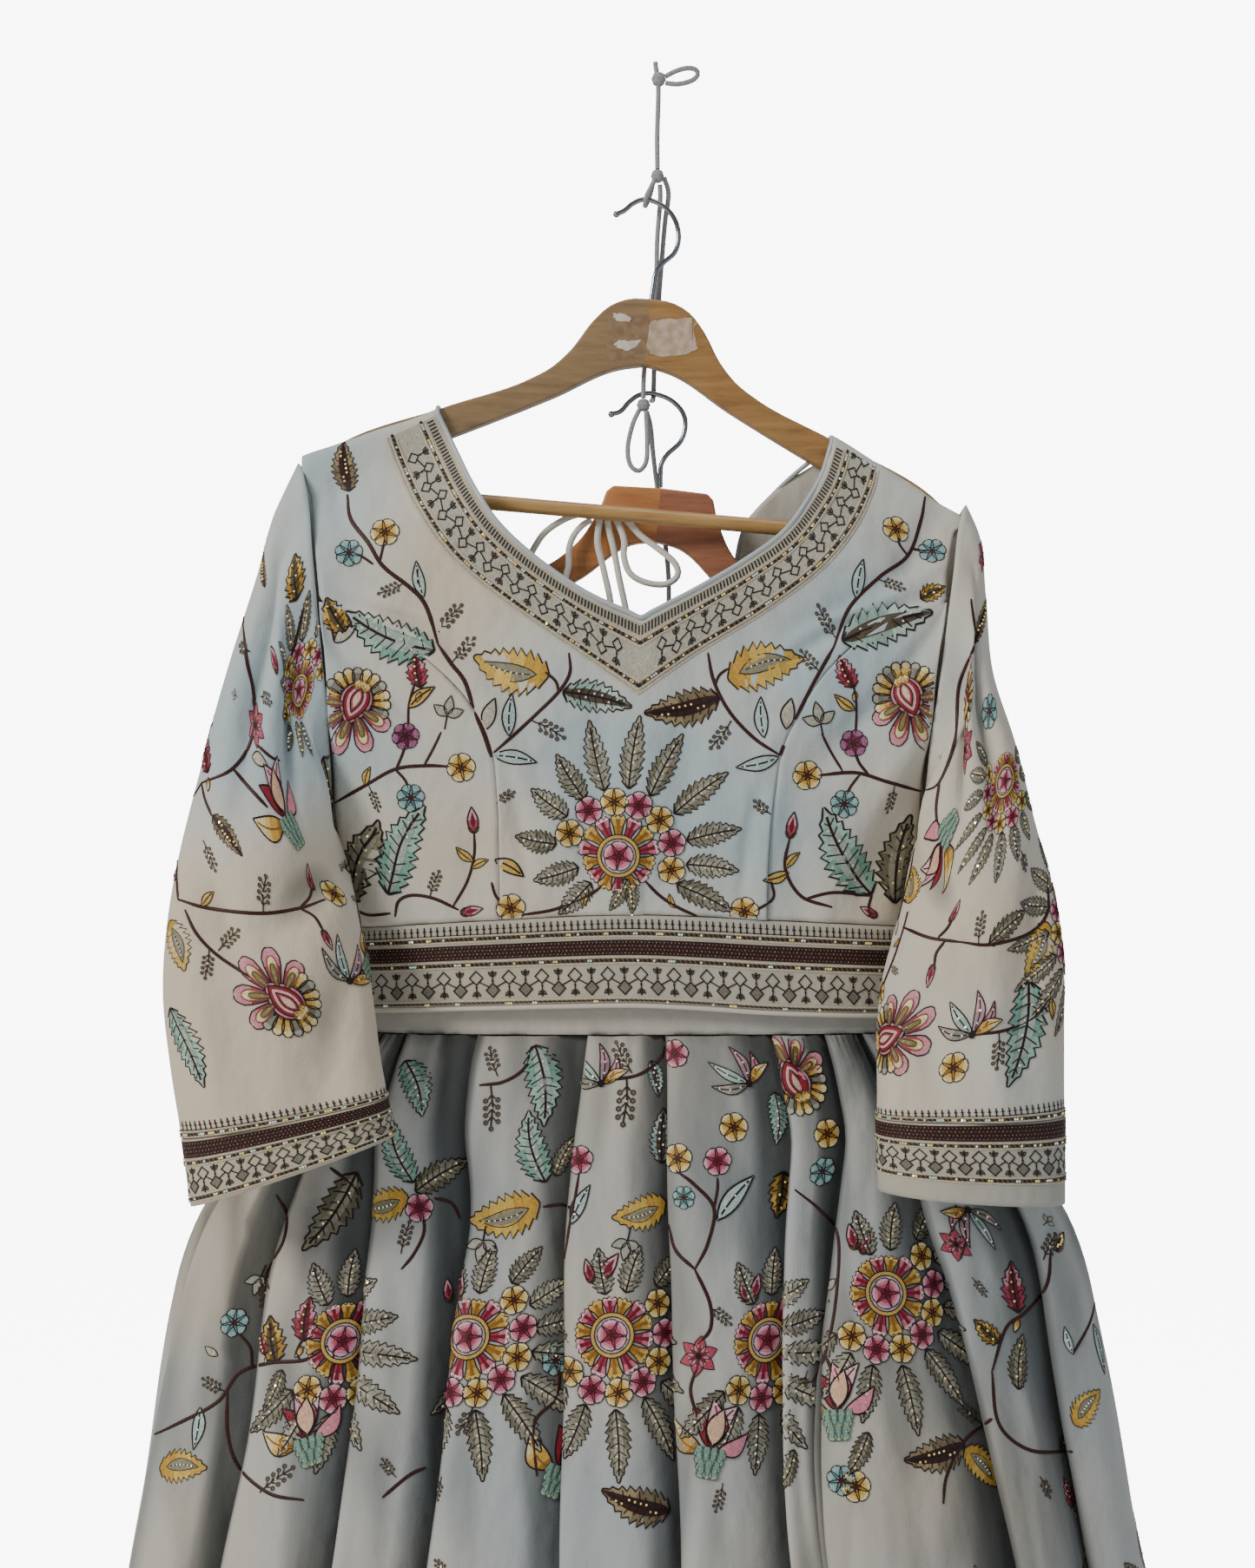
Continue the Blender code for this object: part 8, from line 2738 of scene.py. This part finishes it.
def sequin_tree():
    """Geometry Nodes: a small faceted disc on each point, turned to face off the cloth."""
    tree = bpy.data.node_groups.new("sequins", "GeometryNodeTree")
    tree.interface.new_socket("Geometry", in_out="INPUT", socket_type="NodeSocketGeometry")
    tree.interface.new_socket("Finish", in_out="INPUT", socket_type="NodeSocketMaterial")
    tree.interface.new_socket("Geometry", in_out="OUTPUT", socket_type="NodeSocketGeometry")
    given = tree.nodes.new("NodeGroupInput")
    disc = add(tree, "GeometryNodeMeshCircle", Vertices=7, Radius=0.5, fill_type="NGON")
    facing = add(tree, "GeometryNodeInputNamedAttribute", data_type="FLOAT_VECTOR", Name="facing")
    wide = add(tree, "GeometryNodeInputNamedAttribute", data_type="FLOAT", Name="wide")
    spin = add(tree, "FunctionNodeAlignRotationToVector", [("Vector", facing.outputs["Attribute"])], axis="Z")
    placed = add(tree, "GeometryNodeInstanceOnPoints", [
        ("Points", given.outputs["Geometry"]), ("Instance", disc.outputs["Mesh"]),
        ("Rotation", spin.outputs["Rotation"]), ("Scale", wide.outputs["Attribute"])])
    whole = add(tree, "GeometryNodeRealizeInstances", [("Geometry", placed.outputs["Instances"])])
    finish = add(tree, "GeometryNodeSetMaterial", [
        ("Geometry", whole.outputs["Geometry"]), ("Material", given.outputs["Finish"])])
    out = tree.nodes.new("NodeGroupOutput")
    tree.links.new(finish.outputs["Geometry"], out.inputs["Geometry"])
    return tree


def sequin_piece(name, sequins, slot):
    """Sewn sequins as one mesh. Each is a place, a facing, a size in millimetres and a shade."""
    mesh = bpy.data.meshes.new(name)
    mesh.vertices.add(len(sequins))
    mesh.vertices.foreach_set("co", np.array([spot for spot, *_ in sequins], dtype=np.float32).ravel())
    tilt = dice.uniform(-0.28, 0.28, (len(sequins), 3))
    facing = np.array([normal for _, normal, *_ in sequins]) + tilt
    mesh.attributes.new("facing", "FLOAT_VECTOR", "POINT").data.foreach_set(
        "vector", facing.astype(np.float32).ravel())
    mesh.attributes.new("wide", "FLOAT", "POINT").data.foreach_set(
        "value", np.array([size * MM for _, _, size, _ in sequins], dtype=np.float32))
    shades = np.array([rgba(shade) for *_, shade in sequins], dtype=np.float32)
    mesh.attributes.new("dye", "FLOAT_COLOR", "POINT").data.foreach_set("color", shades.ravel())
    holder = linked(name, mesh)
    tree = sequin_tree()
    nodes = holder.modifiers.new("sequins", "NODES")
    nodes.node_group = tree
    for socket in tree.interface.items_tree:
        if socket.name == "Finish":
            nodes[socket.identifier] = FINISHES["sequins"]
    return show(name, baked(holder), None, (), slot)


def sew_layout(sewing, region, vines, items, follow):
    """Sews what the photo shows on one region of cloth."""
    for vine in vines:
        sew_vine(sewing, region, vine.pixels, vine.width)
    for item in items:
        sew_seen(sewing, region, item.name, item.px, item.py, item.tip, item.size, follow)


def embroider(blouse, bands, skirt):
    """All the thread and sequins, by the cloth that they are sewn on."""
    names = ["blouse_front", "blouse_back", "sleeve_left", "sleeve_right", "cuff_left", "cuff_right", "hem",
             "skirt_front", *skirt]
    sewings = {name: Sewing() for name in names}
    front = Region([blouse["front_left"], blouse["front_right"], blouse["side_front_left"],
                    blouse["side_front_right"]])
    sew_borders(bands, blouse, front, sewings)
    sew_layout(sewings["blouse_front"], front, BLOUSE_VINES, BLOUSE_SEEN, False)
    for side in ("left", "right"):
        sleeve = Region([blouse["sleeve_" + side]])
        sew_layout(sewings["sleeve_" + side], sleeve, SLEEVE_VINES[side], SLEEVE_SEEN[side], True)
    gores = Region([patch for name, patch in skirt.items() if "front" in name])
    sew_layout(sewings["skirt_front"], gores, SKIRT_VINES, SKIRT_SEEN, True)
    for turn, (name, patch) in enumerate(skirt.items()):
        sew_hidden(sewings[name], patch, first=70.0 + 12.0 * turn, last=940.0, pitch=138.0,
                   shift=turn * 2, pleated=True)
    for turn, side in enumerate(("left", "right")):
        sew_hidden(sewings["sleeve_" + side], blouse["sleeve_" + side], first=50.0, last=300.0,
                   pitch=105.0, shift=turn * 3 + 1, size=0.8, small=0.7)
        sew_hidden(sewings["blouse_back"], blouse["back_" + side], first=60.0, last=300.0,
                   pitch=120.0, shift=turn * 5, size=0.85, small=0.7)
    return sewings


# The scene

# Pieces of cloth, by their finish, slot, wall and how they are held
Cloth = namedtuple("Cloth", "finish slot wall held names")
CLOTHS = table(Cloth, [
    ("blouse", "blouse_cloth", BLOUSE_WALL, "hung", [
        "blouse_front_centre", "blouse_side_front_left", "blouse_side_front_right", "blouse_back_left",
        "blouse_back_right", "sleeve_left", "sleeve_right"]),
    ("band", "trim", BAND_WALL, "hung", [
        "cuff_band_left", "cuff_band_right", "hem_band_front", "hem_band_back_left",
        "hem_band_back_right"]),
    ("plain", "trim", BAND_WALL, "hung", ["waistband"]),
    ("skirt", "skirt_cloth", SKIRT_WALL, "gathered", [gore[0] for gore in SKIRT_GORES]),
    ("satin", "satin", RIBBON_WALL, "hung", ["hanging_ribbon_left", "hanging_ribbon_right"]),
])


def flat_size(patches):
    """Measured width, length and area of some grids that are one piece."""
    area, width, length = 0.0, 0.0, 0.0
    for patch in patches:
        grid = patch.points
        down, right = np.diff(grid, axis=0)[:, :-1], np.diff(grid, axis=1)[:-1]
        area += np.linalg.norm(np.cross(down, right), axis=2).sum()
        width += patch.across[:, -1].max()
        length = max(length, np.linalg.norm(np.diff(grid, axis=0), axis=2).sum(axis=0).max())
    return width, length, area


BINDING_STEPS = 24
BINDING_WIDE = 0.0034


def build_edges():
    """The binding of the neck and the piping under the front hem band."""
    for face, neck in (("front", FRONT_NECK), ("back", BACK_NECK)):
        name = "neck_binding_" + face
        path = []
        for side in ("left", "right"):
            half = []
            for step in range(BINDING_STEPS + 1):
                x, z = along(neck, step / BINDING_STEPS, side)
                half.append((x, body_depth(x, z, face), z))
            for angle in RIDGE_ANGLES:
                point = ridge_point(along(neck, 1.0, side)[0], angle, face)
                if point.z > half[-1][2]:
                    half.append(tuple(point))
            path = half[::-1] if side == "left" else path + half[1:]
        points = smooth_route(path, BINDING_STEP)
        tube("shown_" + name, points, BINDING_WIDE, FINISHES["satin"], [name], "satin", 3)
    path = band_row("front", 1.0, BINDING_R * 0.3, PIPING_ENDS)
    for point in path:
        point.z -= PIPING_BELOW + PIPING_R
    tube("shown_hem_piping_front", smooth_route(path, PIPING_STEP), 2.0 * PIPING_R, FINISHES["piping"],
         ["hem_piping_front"], "satin", 3)


def light(name, kind, at, aim, energy, size, shade="#FFFFFF"):
    lamp = bpy.data.lights.new(name, kind)
    lamp.energy = energy
    lamp.color = tuple(linear(shade))
    lamp.size = size
    holder = linked(name, lamp)
    holder.location = at
    holder.rotation_euler = (Vector(aim) - Vector(at)).to_track_quat("-Z", "Y").to_euler()


def camera_glow(tree, socket, thrown, shown):
    """Makes a backdrop brighter to the camera than the light that it throws."""
    path = add(tree, "ShaderNodeLightPath")
    tree.links.new(between(tree, path.outputs["Is Camera Ray"], thrown, shown), socket)


FLOOR_Z = -1.72
FLOOR = [(-6, -6, FLOOR_Z), (6, -6, FLOOR_Z), (6, 8, FLOOR_Z), (-6, 8, FLOOR_Z)]


def build_stage():
    """A white floor and backdrop, soft lights and the photo's camera."""
    floor, tree, shader = finish_of("studio floor", {
        "Base Color": rgba("#F4F4F2"), "Roughness": 0.9, "Emission Color": rgba("#FAFAFA")})
    camera_glow(tree, shader.inputs["Emission Strength"], 0.25, 8.4)
    mesh = new_mesh("floor", FLOOR, [(0, 1, 2, 3)], False)
    mesh.materials.append(floor)
    linked("floor", mesh)
    middle = (-0.02, -0.1, -0.75)
    light("key", "AREA", (-2.5, -1.9, 1.0), middle, 92.0, 1.0, "#FFF8EE")
    light("fill", "AREA", (2.4, -2.0, 0.0), middle, 9.0, 2.4, "#E4F0FF")
    light("top", "AREA", (0.2, -0.5, 1.7), middle, 14.0, 1.2)
    light("back", "AREA", (0.4, 2.6, 0.6), middle, 16.0, 2.4)
    world = bpy.data.worlds.new("studio")
    bpy.context.scene.world = world
    world.use_nodes = True
    tree, backdrop = world.node_tree, world.node_tree.nodes["Background"]
    backdrop.inputs["Color"].default_value = rgba("#FAFAFA")
    camera_glow(tree, backdrop.inputs["Strength"], 0.26, 9.0)
    optics = bpy.data.cameras.new("camera")
    optics.sensor_fit = "VERTICAL"
    optics.sensor_height = 36.0
    optics.lens = 36.0 * -EYE.y / PIXEL / PHOTO_HIGH
    optics.dof.use_dof = False
    camera = linked("camera", optics)
    camera.location = EYE
    camera.rotation_euler = (math.radians(90.0), 0.0, 0.0)
    bpy.context.scene.camera = camera


blouse = blouse_patches()
bands = hem_patches()
skirt = skirt_patches()
pieces = {"blouse_front_centre": [blouse["front_left"], blouse["front_right"]]}
for side in ("left", "right"):
    pieces["blouse_side_front_" + side] = [blouse["side_front_" + side]]
    pieces["blouse_back_" + side] = [blouse["back_" + side]]
    pieces["sleeve_" + side] = [blouse["sleeve_" + side]]
    pieces["hanging_ribbon_" + side] = [ribbon_patch(RIBBON_X[side == "right"])]
for name, patch in (bands | skirt).items():
    pieces[name] = [patch]
for cloth in CLOTHS:
    for name in cloth.names:
        cloth_piece(name, pieces[name], cloth)
build_edges()
THREAD_SLOTS = {"blouse": "blouse_cloth", "sleeve": "blouse_cloth", "cuff": "trim", "hem": "trim",
                "skirt": "skirt_cloth"}
for name, sewing in embroider(blouse, bands, skirt).items():
    slot = THREAD_SLOTS[name.split("_")[0]]
    sewing.piece("thread_" + name, slot)
    if sewing.sequins:
        sequin_piece("sequins_" + name, sewing.sequins, slot)
build_hangers()
build_cords()
build_stage()
